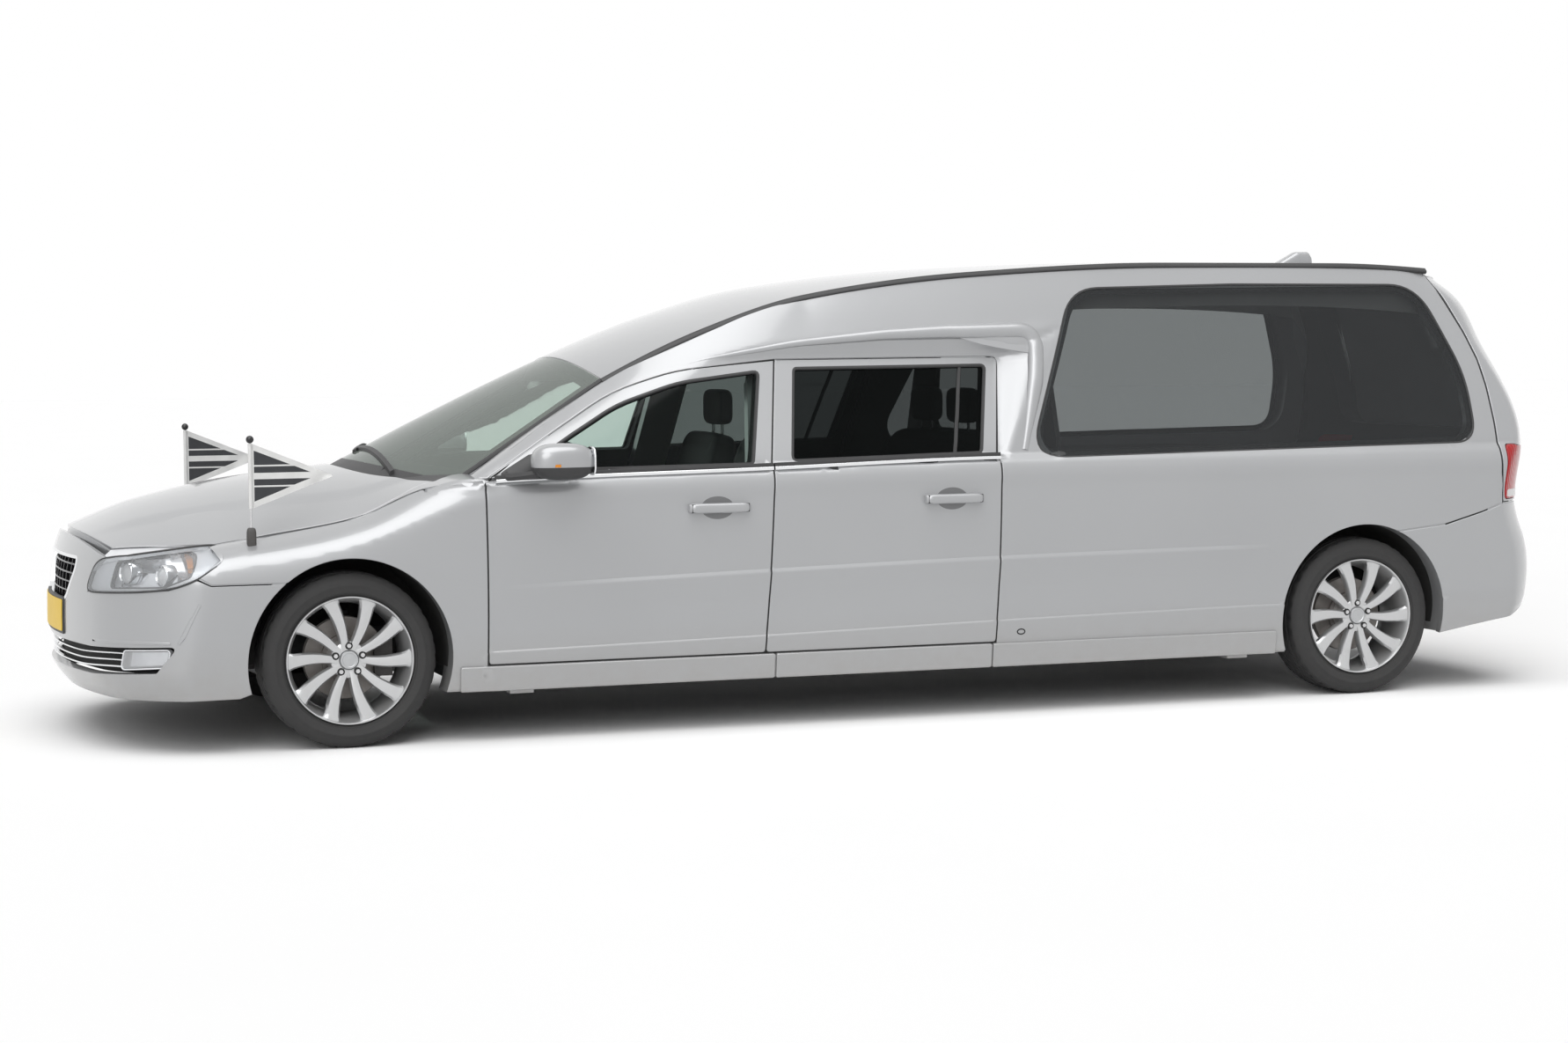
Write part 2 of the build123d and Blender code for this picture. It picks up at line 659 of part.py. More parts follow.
def nose_band(nose_back, depth_in, depth_out):
    """An upright band that follows the nose in plan, between two depths behind its skin."""
    with BuildPart() as band:
        for depth, mode in ((depth_out, Mode.ADD), (depth_in, Mode.SUBTRACT)):
            side = HALF_WIDTH + 30 - depth
            nose = NOSE_X - nose_back - depth
            bow_y = side - NOSE_CORNER_WIDTH
            with BuildSketch(Plane.XY.offset(200)):
                with BuildLine():
                    bow = ThreePointArc((nose - NOSE_SWEEP, -bow_y), (nose, 0), (nose - NOSE_SWEEP, bow_y))
                    TangentArc(bow @ 1, (nose - NOSE_CORNER_LENGTH, side), tangent=bow % 1)
                    TangentArc(bow @ 0, (nose - NOSE_CORNER_LENGTH, -side), tangent=-(bow % 0))
                    Line((nose - NOSE_CORNER_LENGTH, side), (nose - NOSE_CORNER_LENGTH, -side))
                make_face()
            extrude(amount=600, mode=mode)
    return band.part


grille_band = nose_band(10, GRILLE_RECESS + GRILLE_DEPTH, GRILLE_RECESS)
intake_band = nose_band(0, GRILLE_RECESS + GRILLE_DEPTH, GRILLE_RECESS)
fog_cut = both(side_prism(FOG_LAMP, FOG_LAMP_RADII, 560, 1100))
with BuildPart() as front_lamps:
    add(both(common(nose_shell, headlamp_cut)))
    add(common(intake_band, intake_cut, fog_cut))
front_lamps.part.label = "front_lamps"

# Egg-crate grille and slatted lower intake
GRILLE_BAR = 7
GRILLE_RIM = 14
GRILLE_COLUMNS = 11
GRILLE_COLUMN_PITCH = 66
GRILLE_ROWS = [524, 558, 592, 626, 660]
INTAKE_ROWS = [312, 334]
INTAKE_POST_Y = [-500, -250, 0, 250, 500]


def lattice(outline, radii, rim, rows, columns, x_low):
    """Bars across an outlined opening, inside a rim of its shape, as one prism along the car."""
    x_high = NOSE_X + 100
    middle = (x_low + x_high) / 2
    with BuildPart() as bars:
        with Locations(*[(middle, 0, z) for z in rows]):
            Box(x_high - x_low, BODY_WIDTH, GRILLE_BAR)
        with Locations(*[(middle, y, AXLE_Z) for y in columns]):
            Box(x_high - x_low, GRILLE_BAR, BODY_WIDTH)
    cells = cut(front_prism(outline, radii, x_low, x_high, -rim), bars.part)
    return cut(front_prism(outline, radii, x_low, x_high), cells)


grille_columns = [(n - (GRILLE_COLUMNS - 1) / 2) * GRILLE_COLUMN_PITCH for n in range(GRILLE_COLUMNS)]
grille_bars = lattice(GRILLE, GRILLE_RADII, GRILLE_RIM, GRILLE_ROWS, grille_columns, front(500))
intake_bars = lattice(INTAKE, INTAKE_RADII, GRILLE_RIM / 2, INTAKE_ROWS, INTAKE_POST_Y, front(420))
with BuildPart() as grilles:
    add(common(grille_bars, grille_band))
    add(cut(common(intake_bars, intake_band), fog_cut))
grilles.part.label = "grilles"

# Side skirts along the sills
SKIRT_THICKNESS = 12
SKIRT_TOP = 274
SKIRT_FRONT_X = front(-400)
SKIRT_REAR_X = rear(408)
skirt_zone = block(SKIRT_REAR_X, SKIRT_FRONT_X, 700, 1100, SILL_BOTTOM + 1, SKIRT_TOP)
with BuildPart() as side_skirts:
    skirt_layer = cut(tub(-SKIRT_THICKNESS, SILL_BOTTOM, -SKIRT_THICKNESS), tub(0, SILL_BOTTOM - 10, 0))
    add(both(common(skirt_layer, skirt_zone)))
side_skirts.part.label = "side_skirts"

# Fixed glass
with BuildPart() as windscreen:
    add(largest(common(glass_layer, screen_cut)))
windscreen.part.label = "windscreen"
with BuildPart() as quarter_glass:
    add(common(glass_layer, both(quarter_cut)))
quarter_glass.part.label = "quarter_glass"

# Scuttle with two leaves that seat the bonnet and two wiper arms lying on the windscreen
WIPER_HEIGHT = 14
WIPERS = [
    # pivot_x, pivot_y, tip_x, tip_y
    (front(-250), 480, front(-235), -130),
    (front(-215), -60, front(-395), -610),
]
WIPER_WIDTH = 16
wiper_layer = cut(upper(-WIPER_HEIGHT, 0), skin)
with BuildPart() as wiper_zone:
    for pivot_x, pivot_y, tip_x, tip_y in WIPERS:
        with BuildSketch(Plane.XY.offset(900)):
            with BuildLine():
                Line((pivot_x, pivot_y), (tip_x, tip_y))
            trace(line_width=WIPER_WIDTH)
        extrude(amount=300)
BONNET_LEAF_Y = (400, 470)
bonnet_leaf_zone = both(block(front(-240), BONNET_TAIL_X, *BONNET_LEAF_Y, 900, 1200))
with BuildPart() as cowl:
    add(common(shell, cowl_cut))
    add(cut(common(shell, bonnet_leaf_zone), bonnet_prism(SEAT_GAP, 0)))
    add(common(wiper_layer, wiper_zone.part))
cowl.part.label = "cowl"


# Bonnet
with BuildPart() as bonnet:
    add(common(shell, bonnet_prism(0, 0)))
bonnet.part.label = "bonnet"

# Doors: full-depth leaves with a rebated inner edge, a window opening and a pull handle
HANDLE_LENGTH = 226
HANDLE_HEIGHT = 32
HANDLE_STAND = 28
HANDLE_GRIP = 14


def door_leaf(outline, radii, window_cut, handle_x, handle_z):
    """A left door cut from the shell between its gaps."""
    inner_y = ROOF_HALF_WIDTH + 2 * GAP
    leaf_zone = side_prism(outline, radii, inner_y, 1100, -GAP)
    trim_zone = side_prism([(x + REAR_GAP - GAP, z) for x, z in outline], radii, inner_y, 1100, -GAP)
    leaf = cut(common(shell, leaf_zone, trim_zone), window_cut)
    low, high = handle_z - HANDLE_HEIGHT / 2, handle_z + HANDLE_HEIGHT / 2
    reach = HALF_WIDTH + HANDLE_STAND
    with BuildPart() as solid:
        add(leaf)
        add(block(handle_x - HANDLE_LENGTH / 2, handle_x + HANDLE_LENGTH / 2, 890, reach, low, high))
        grip = HANDLE_LENGTH / 2 - 30
        slot_y = (HALF_WIDTH - 12, reach - HANDLE_GRIP)
        slot = block(handle_x - grip, handle_x + grip, *slot_y, low - 5, high + 5)
        add(slot, mode=Mode.SUBTRACT)
    return solid.part


front_leaf = door_leaf(FRONT_DOOR, FRONT_DOOR_RADII, front_window_cut, front(-1396), 840)
rear_leaf = door_leaf(REAR_DOOR, REAR_DOOR_RADII, rear_window_cut, rear(1823), 851)
with BuildPart() as door_front_left:
    add(front_leaf)
door_front_left.part.label = "door_front_left"
with BuildPart() as door_front_right:
    add(front_leaf.mirror(Plane.XZ))
door_front_right.part.label = "door_front_right"
with BuildPart() as door_rear_left:
    add(rear_leaf)
door_rear_left.part.label = "door_rear_left"
with BuildPart() as door_rear_right:
    add(rear_leaf.mirror(Plane.XZ))
door_rear_right.part.label = "door_rear_right"

# Door glass
front_pane = common(glass_layer, front_window_cut)
rear_pane = common(glass_layer, rear_window_cut)
with BuildPart() as glass_front_left:
    add(front_pane)
glass_front_left.part.label = "glass_front_left"
with BuildPart() as glass_front_right:
    add(front_pane.mirror(Plane.XZ))
glass_front_right.part.label = "glass_front_right"
with BuildPart() as glass_rear_left:
    add(rear_pane)
glass_rear_left.part.label = "glass_rear_left"
with BuildPart() as glass_rear_right:
    add(rear_pane.mirror(Plane.XZ))
glass_rear_right.part.label = "glass_rear_right"

# Door mirrors
MIRROR_X = (front(-882), front(-656))
MIRROR_Y = (948, 1085)
MIRROR_Z = (962, 1095)
MIRROR_ROUND = 38
MIRROR_ARM = (front(-650), front(-545), 880, 985, 955, 1000)
with BuildPart() as mirror_blank:
    add(block(MIRROR_X[0], MIRROR_X[1], MIRROR_Y[0], MIRROR_Y[1], MIRROR_Z[0], MIRROR_Z[1]))
    fillet(mirror_blank.edges(), MIRROR_ROUND)
    with BuildSketch(Plane.XY.offset(MIRROR_ARM[4])):
        with BuildLine():
            Polyline(
                (MIRROR_ARM[1], MIRROR_ARM[2]),
                (MIRROR_ARM[0] - 40, MIRROR_ARM[2]),
                (MIRROR_ARM[0] - 110, MIRROR_ARM[3]),
                (MIRROR_ARM[0] - 20, MIRROR_ARM[3]),
                close=True,
            )
        make_face()
    extrude(amount=MIRROR_ARM[5] - MIRROR_ARM[4])
mirror_piece = cut(mirror_blank.part, front_leaf, front_pane)
with BuildPart() as mirror_left:
    add(mirror_piece)
mirror_left.part.label = "mirror_left"
with BuildPart() as mirror_right:
    add(mirror_piece.mirror(Plane.XZ))
mirror_right.part.label = "mirror_right"

# Tailgate with its glass and lamps
tail_zone = side_prism(TAIL_OUTLINE, TAIL_OUTLINE_RADII, -1100, 1100, -GAP)
tail_blank = common(shell, tail_zone)
with BuildPart() as tailgate:
    add(cut(tail_blank, tail_window_cut, tail_lamp_cut))
tailgate.part.label = "tailgate"
with BuildPart() as tailgate_glass:
    add(common(glass_layer, tail_zone, tail_window_cut))
tailgate_glass.part.label = "tailgate_glass"
with BuildPart() as tail_lamps:
    add(common(tail_blank, tail_lamp_cut))
tail_lamps.part.label = "tail_lamps"

# Wheel liners
LINER_THICKNESS = 6
LINER_INNER_Y = 485
AXLE_SLOT = (200, 120, 540)


def liner(x, radius):
    """A left wheel house: a half barrel closed on its inner side, slotted for the axle."""
    outer = radius + LINER_THICKNESS
    hollow = cylinder_y(x, LINER_INNER_Y, 1100, AXLE_Z, radius)
    barrel = cut(cylinder_y(x, LINER_INNER_Y, 1100, AXLE_Z, outer), hollow)
    cheek = cylinder_y(x, LINER_INNER_Y - LINER_THICKNESS, LINER_INNER_Y, AXLE_Z, outer)
    slot = block(x - AXLE_SLOT[0], x + AXLE_SLOT[0], 400, LINER_INNER_Y, AXLE_SLOT[1], AXLE_SLOT[2])
    return common(cut(barrel + cheek, slot), inside)


with BuildPart() as wheel_liners:
    add(both(liner(FRONT_AXLE_X, FRONT_ARCH_RADIUS)))
    add(both(liner(REAR_AXLE_X, REAR_ARCH_RADIUS)))
wheel_liners.part.label = "wheel_liners"
house_radius = REAR_ARCH_RADIUS + LINER_THICKNESS
rear_houses = both(cylinder_y(REAR_AXLE_X, LINER_INNER_Y - LINER_THICKNESS, 1100, AXLE_Z, house_radius))

# Floor pan with its kick-up over the rear axle, the firewall and the front rails
FIREWALL_X = front(-440)
FIREWALL_THICKNESS = 20
KICK_UP_X = rear(450)
KICK_UP_HALF = 478
RAIL_Y = (400, 470)
RAIL_Z = (300, 400)
floor_low = FLOOR_TOP - FLOOR_THICKNESS
rear_floor_low = REAR_FLOOR_TOP - REAR_FLOOR_THICKNESS
firewall_face = FIREWALL_X + FIREWALL_THICKNESS
with BuildPart() as floor_pan:
    add(block(KICK_UP_X - 20, firewall_face, -FLOOR_HALF_WIDTH, FLOOR_HALF_WIDTH, floor_low, FLOOR_TOP))
    add(block(KICK_UP_X - 20, KICK_UP_X, -KICK_UP_HALF, KICK_UP_HALF, floor_low, REAR_FLOOR_TOP))
    rear_floor = block(TAIL_X, KICK_UP_X, -1000, 1000, rear_floor_low, REAR_FLOOR_TOP)
    add(cut(common(rear_floor, inside), rear_houses))
    add(common(block(FIREWALL_X, firewall_face, -1000, 1000, FLOOR_TOP, 900), inside))
    rail = block(firewall_face, NOSE_X, RAIL_Y[0], RAIL_Y[1], RAIL_Z[0], RAIL_Z[1])
    add(both(common(rail, inside)))
floor_pan.part.label = "floor_pan"

# Engine, front suspension and rear axle
ENGINE_X = (front(-330), front(480))
ENGINE_HALF = 330
ENGINE_Z = (235, 770)
RADIATOR_X = (front(660), front(710))
SUBFRAME_X = 150
SUBFRAME_Z = (170, 235)
ARM_HALF = 28
KNUCKLE_Z = (222, 462)
ARM_HEIGHT = 24
LOWER_ARM_Z = (KNUCKLE_Z[0] - SEAT_GAP - ARM_HEIGHT, KNUCKLE_Z[0] - SEAT_GAP)
UPPER_ARM_Z = (KNUCKLE_Z[1] + SEAT_GAP, KNUCKLE_Z[1] + SEAT_GAP + ARM_HEIGHT)
ARM_END_Y = KINGPIN_Y - 20
with BuildPart() as engine_block:
    add(block(ENGINE_X[0], ENGINE_X[1], -ENGINE_HALF, ENGINE_HALF, ENGINE_Z[0], ENGINE_Z[1]))
    chamfer(engine_block.edges().filter_by(Axis.X), 60)
    add(block(RADIATOR_X[0], RADIATOR_X[1], -RAIL_Y[0], RAIL_Y[0], RAIL_Z[0], 690))
engine_block.part.label = "engine_block"
with BuildPart() as front_subframe:
    add(block(front(-SUBFRAME_X), front(SUBFRAME_X), -RAIL_Y[1], RAIL_Y[1], SUBFRAME_Z[0], SUBFRAME_Z[1]))
    for side in (1, -1):
        low_y, high_y = sorted((side * (RAIL_Y[0] + 10), side * RAIL_Y[1]))
        arm_low, arm_high = sorted((side * (RAIL_Y[1] - 5), side * ARM_END_Y))
        add(block(front(-80), front(80), low_y, high_y, SUBFRAME_Z[1], RAIL_Z[0]))
        add(block(front(-80), front(80), low_y, high_y, RAIL_Z[1], UPPER_ARM_Z[1]))
        add(block(front(-ARM_HALF), front(ARM_HALF), arm_low, arm_high, *LOWER_ARM_Z))
        add(block(front(-ARM_HALF), front(ARM_HALF), arm_low, arm_high, *UPPER_ARM_Z))
front_subframe.part.label = "front_subframe"
HUB_FACE_Y = WHEEL_Y - 43
HUB_CLEARANCE = SEAT_GAP
AXLE_TUBE_RADIUS = 42
TRAILING_ARM_Y = (350, 420)
with BuildPart() as rear_axle:
    tube_end = HUB_FACE_Y - HUB_CLEARANCE
    add(cylinder_y(REAR_AXLE_X, -tube_end, tube_end, AXLE_Z, AXLE_TUBE_RADIUS))
    for side in (1, -1):
        low_y, high_y = sorted((side * TRAILING_ARM_Y[0], side * TRAILING_ARM_Y[1]))
        add(block(REAR_AXLE_X, KICK_UP_X - 20, low_y, high_y, AXLE_Z - 30, AXLE_Z + 30))
rear_axle.part.label = "rear_axle"

# Exhaust
PIPE_RADIUS = 28
PIPE_Z = floor_low - 36
PIPE_Y = -250
SILENCER_X = (rear(-820), rear(-430))
SILENCER_Z = (270, 400)
with BuildPart() as exhaust:
    with BuildSketch(Plane.YZ.offset(SILENCER_X[1] - 20)):
        with Locations((PIPE_Y, PIPE_Z)):
            Circle(PIPE_RADIUS)
    extrude(amount=front(-250) - SILENCER_X[1] + 20)
    add(block(front(-280), front(-220), PIPE_Y - 25, PIPE_Y + 25, PIPE_Z - 20, ENGINE_Z[0]))
    add(block(SILENCER_X[0], SILENCER_X[1], PIPE_Y - 240, PIPE_Y + 240, SILENCER_Z[0], SILENCER_Z[1]))
    add(block(SILENCER_X[1] - 30, SILENCER_X[1], PIPE_Y - 25, PIPE_Y + 25, PIPE_Z - 20, SILENCER_Z[0]))
    add(block(rear(-640), rear(-600), PIPE_Y - 20, PIPE_Y + 20, SILENCER_Z[1], rear_floor_low))
    for hanger_x in (front(-900), front(-1900), rear(900)):
        add(block(hanger_x - 20, hanger_x + 20, PIPE_Y - 15, PIPE_Y + 15, PIPE_Z, floor_low))
exhaust.part.label = "exhaust"

# Dashboard and steering wheel
DASH_X = (front(-830), FIREWALL_X)
DASH_HALF = 770
DASH_Z = (620, 912)
DRIVER_Y = 370
WHEEL_CENTRE = (front(-1040), DRIVER_Y, 900)
STEERING_TILT = 25
STEERING_RADIUS = 180
STEERING_RIM = 15
with BuildPart() as dash_blank:
    with BuildSketch(Plane.XZ.offset(-DASH_HALF)):
        with BuildLine():
            FilletPolyline(
                (DASH_X[1], DASH_Z[0]),
                (DASH_X[1], DASH_Z[1] - 40),
                (DASH_X[0] + 180, DASH_Z[1]),
                (DASH_X[0], DASH_Z[1] - 60),
                (DASH_X[0] + 60, DASH_Z[0]),
                radius=[5, 5, 60, 60, 30],
                close=True,
            )
        make_face()
    extrude(amount=2 * DASH_HALF)
with BuildPart() as dashboard:
    add(common(dash_blank.part, inside))
dashboard.part.label = "dashboard"
wheel_plane = Plane(
    origin=WHEEL_CENTRE, x_dir=(0, 1, 0), z_dir=Vector(-1, 0, 0).rotate(Axis.Y, STEERING_TILT)
)
with BuildPart(wheel_plane) as steering_blank:
    Torus(STEERING_RADIUS, STEERING_RIM)
    Cylinder(55, 40)
    for turn in (90, 210, 330):
        with BuildSketch(wheel_plane.offset(-8)):
            with PolarLocations(STEERING_RADIUS / 2, 1, turn):
                Rectangle(STEERING_RADIUS, 34)
        extrude(amount=16)
    with BuildSketch(wheel_plane.offset(-20)):
        Circle(32)
    extrude(amount=-420)
with BuildPart() as steering_wheel:
    add(cut(steering_blank.part, dashboard.part, block(front(-700), NOSE_X, -1000, 1000, 0, 2000)))
steering_wheel.part.label = "steering_wheel"

# Seats
SEAT_WIDTH = 500
SEAT_Y = 370
SEAT_X = front(-1420)
SEAT_SIDE = [
    # x_from_seat, z: outline of a cushion and raked back seen from the side
    (290, 400),
    (300, 520),
    (-170, 480),
    (-330, 1080),
    (-430, 1075),
    (-300, 400),
]
BENCH_X = rear(1790)
BENCH_WIDTH = 1360


def seat(x, y, width):
    """A seat with a plinth on the floor, a cushion, a raked back and a head restraint."""
    with BuildPart() as solid:
        with BuildSketch(Plane.XZ.offset(-(y - width / 2))):
            with BuildLine():
                FilletPolyline(
                    *[(x + dx, z) for dx, z in SEAT_SIDE], radius=[30, 50, 60, 40, 40, 40], close=True
                )
            make_face()
        extrude(amount=-width)
        add(block(x - 220, x + 220, y - width / 2 + 40, y + width / 2 - 40, FLOOR_TOP, 410))
        add(block(x - 440, x - 370, y - 130, y + 130, 1110, 1260))
        for pin_y in (y - 60, y + 60):
            add(block(x - 412, x - 398, pin_y - 7, pin_y + 7, 1060, 1115))
    return solid.part


with BuildPart() as front_seats:
    add(both(seat(SEAT_X, SEAT_Y, SEAT_WIDTH)))
front_seats.part.label = "front_seats"
with BuildPart() as rear_bench:
    add(seat(BENCH_X, 0, BENCH_WIDTH))
rear_bench.part.label = "rear_bench"

# Partition behind the seats and the coffin deck
PARTITION_X = rear(1320)
PARTITION_THICKNESS = 20
PARTITION_WINDOW = [(-480, 1080), (480, 1080), (430, 1480), (-430, 1480)]
DECK_THICKNESS = 40
DECK_REAR_X = rear(-690)
DECK_HALF = 900
BEAM_Y = (370, 440)
RAIL_HEIGHT = 16
ROLLER_X = [rear(1150), rear(700), rear(250), rear(-200), rear(-600)]
ROLLER_RADIUS = 22
partition_zone = block(PARTITION_X - PARTITION_THICKNESS, PARTITION_X, -1000, 1000, FLOOR_TOP, 1900)
with BuildPart() as partition:
    partition_window = front_prism(PARTITION_WINDOW, 50, PARTITION_X - 200, PARTITION_X + 200)
    add(cut(common(partition_zone, inside), partition_window))
partition.part.label = "partition"
deck_front_x = PARTITION_X - PARTITION_THICKNESS
deck_low = DECK_TOP - DECK_THICKNESS
with BuildPart() as coffin_deck:
    deck = block(DECK_REAR_X, deck_front_x, -DECK_HALF, DECK_HALF, deck_low, DECK_TOP)
    add(cut(common(deck, inside), rear_houses))
    for side in (1, -1):
        low_y, high_y = sorted((side * BEAM_Y[0], side * BEAM_Y[1]))
        add(block(KICK_UP_X, deck_front_x, low_y, high_y, FLOOR_TOP, deck_low))
        add(block(DECK_REAR_X, KICK_UP_X, low_y, high_y, REAR_FLOOR_TOP, deck_low))
        add(block(DECK_REAR_X + 30, deck_front_x - 60, low_y, high_y, DECK_TOP, DECK_TOP + RAIL_HEIGHT))
    for roller_x in ROLLER_X:
        add(cylinder_y(roller_x, -BEAM_Y[0], BEAM_Y[0], DECK_TOP, ROLLER_RADIUS))
coffin_deck.part.label = "coffin_deck"

# Flag staffs and pennants on the front fenders
STAFF_X = front(337)
STAFF_Y = 820
STAFF_TOP = 1125
STAFF_RADIUS = 4
BALL_RADIUS = 14
HOLDER_RADIUS = 11
HOLDER_TOP = 800
SLEEVE_RADIUS = 8
PENNANT_Z = (876, 1110)
PENNANT_TIP = (front(42), 989)
PENNANT_THICKNESS = 4
with BuildPart() as staff_blank:
    with Locations((STAFF_X, STAFF_Y, (600 + STAFF_TOP) / 2)):
        Cylinder(STAFF_RADIUS, STAFF_TOP - 600)
    with Locations((STAFF_X, STAFF_Y, (600 + HOLDER_TOP) / 2)):
        Cylinder(HOLDER_RADIUS, HOLDER_TOP - 600)
    with Locations((STAFF_X, STAFF_Y, STAFF_TOP)):
        Sphere(BALL_RADIUS)
staff_piece = cut(staff_blank.part, skin)
with BuildPart() as flag_staffs:
    add(both(staff_piece))
flag_staffs.part.label = "flag_staffs"
with BuildPart() as pennant_blank:
    with BuildSketch(Plane.XZ.offset(-(STAFF_Y - PENNANT_THICKNESS / 2))):
        with BuildLine():
            Polyline((STAFF_X, PENNANT_Z[0]), (STAFF_X, PENNANT_Z[1]), PENNANT_TIP, close=True)
        make_face()
    extrude(amount=-PENNANT_THICKNESS)
    with Locations((STAFF_X, STAFF_Y, sum(PENNANT_Z) / 2)):
        Cylinder(SLEEVE_RADIUS, PENNANT_Z[1] - PENNANT_Z[0])
with BuildPart() as pennants:
    add(both(cut(pennant_blank.part, staff_blank.part)))
pennants.part.label = "pennants"

# Wheels and tyres, drawn with the axle along Z and the outer face up
SPOKES = 10
SPOKE_INNER_WIDTH = 30
SPOKE_OUTER_WIDTH = 46
SPOKE_SWEEP = 14
SPOKE_Z = (58, 88)
DISC_RADIUS = 150
BARREL_RADIUS = 206
BEAD_RADIUS = 224
BEAD_HALF = 96
FLANGE_HALF = 108
HUB_RADIUS = 68
hub_back = HUB_FACE_Y - WHEEL_Y
RIM_PROFILE = [
    # radius, height
    (BARREL_RADIUS, -70),
    (BEAD_RADIUS - 8, -FLANGE_HALF),
    (RIM_RADIUS, -FLANGE_HALF),
    (RIM_RADIUS, -BEAD_HALF),
    (BEAD_RADIUS, -BEAD_HALF),
    (BEAD_RADIUS, -70),
    (BARREL_RADIUS + 8, -50),
    (BARREL_RADIUS + 8, 60),
    (BEAD_RADIUS, 75),
    (BEAD_RADIUS, BEAD_HALF),
    (RIM_RADIUS, BEAD_HALF),
    (RIM_RADIUS, FLANGE_HALF),
    (BEAD_RADIUS - 4, FLANGE_HALF),
    (BARREL_RADIUS, 84),
]
with BuildPart() as rim:
    with BuildSketch(Plane.XZ):
        with BuildLine():
            Polyline(*RIM_PROFILE, close=True)
        make_face()
    revolve(axis=Axis.Z)
    with BuildSketch(Plane.XY.offset(SPOKE_Z[0])):
        with PolarLocations(0, SPOKES):
            with BuildLine():
                Polyline(
                    (HUB_RADIUS - 10, -SPOKE_INNER_WIDTH / 2),
                    (BARREL_RADIUS + 4, SPOKE_SWEEP - SPOKE_OUTER_WIDTH / 2),
                    (BARREL_RADIUS + 4, SPOKE_SWEEP + SPOKE_OUTER_WIDTH / 2),
                    (HUB_RADIUS - 10, SPOKE_INNER_WIDTH / 2),
                    close=True,
                )
            make_face()
        Circle(HUB_RADIUS)
    extrude(amount=SPOKE_Z[1] - SPOKE_Z[0])
    with BuildSketch(Plane.XY.offset(hub_back)):
        Circle(HUB_RADIUS)
    extrude(amount=SPOKE_Z[0] - hub_back)
    with BuildSketch(Plane.XY.offset(hub_back + 10)):
        Circle(DISC_RADIUS)
    extrude(amount=24)
tyre_half = TYRE_WIDTH / 2
with BuildPart() as tyre:
    with BuildSketch(Plane.XZ):
        with BuildLine():
            Polyline((BEAD_RADIUS, BEAD_HALF - 2), (RIM_RADIUS + 4, BEAD_HALF - 2))
            ThreePointArc(
                (RIM_RADIUS + 4, BEAD_HALF - 2),
                (RIM_RADIUS + 40, tyre_half),
                (TYRE_RADIUS - 18, tyre_half - 12),
            )
            ThreePointArc(
                (TYRE_RADIUS - 18, tyre_half - 12), (TYRE_RADIUS, 0), (TYRE_RADIUS - 18, 12 - tyre_half)
            )
            ThreePointArc(
                (TYRE_RADIUS - 18, 12 - tyre_half),
                (RIM_RADIUS + 40, -tyre_half),
                (RIM_RADIUS + 4, 2 - BEAD_HALF),
            )
            Polyline(
                (RIM_RADIUS + 4, 2 - BEAD_HALF), (BEAD_RADIUS, 2 - BEAD_HALF), (BEAD_RADIUS, BEAD_HALF - 2)
            )
        make_face()
    revolve(axis=Axis.Z)

# Steering knuckles with hub carriers and brake calipers
KNUCKLE_HALF = 45
KNUCKLE_Y = (675, KINGPIN_Y)
CALIPER_ANGLE_HALF = 70
CALIPER_RADIUS = (105, 192)
CALIPER_CLEARANCE = 7
disc_inner_y = HUB_FACE_Y + 10
disc_outer_y = disc_inner_y + 24
with BuildPart() as knuckle_blank:
    add(block(front(-KNUCKLE_HALF), front(KNUCKLE_HALF), *KNUCKLE_Y, *KNUCKLE_Z))
    add(cylinder_y(FRONT_AXLE_X, KNUCKLE_Y[0], HUB_FACE_Y - HUB_CLEARANCE, AXLE_Z, HUB_RADIUS - 20))
    claw_low, claw_high = AXLE_Z - CALIPER_ANGLE_HALF, AXLE_Z + CALIPER_ANGLE_HALF
    near, far = front(-CALIPER_RADIUS[0]), front(-CALIPER_RADIUS[1] + 20)
    inner_face = disc_inner_y - CALIPER_CLEARANCE
    outer_face = disc_outer_y + CALIPER_CLEARANCE
    add(block(far, front(-KNUCKLE_HALF + 5), KNUCKLE_Y[0] + 20, inner_face - 12, claw_low, claw_high))
    add(block(far, near, KNUCKLE_Y[0] + 20, inner_face, claw_low, claw_high))
    add(block(far, front(-DISC_RADIUS - CALIPER_CLEARANCE), inner_face, outer_face, claw_low, claw_high))
    add(block(far, near, outer_face, outer_face + 22, claw_low, claw_high))
with BuildPart() as knuckle_left:
    add(knuckle_blank.part)
knuckle_left.part.label = "knuckle_left"
with BuildPart() as knuckle_right:
    add(knuckle_blank.part.mirror(Plane.XZ))
knuckle_right.part.label = "knuckle_right"

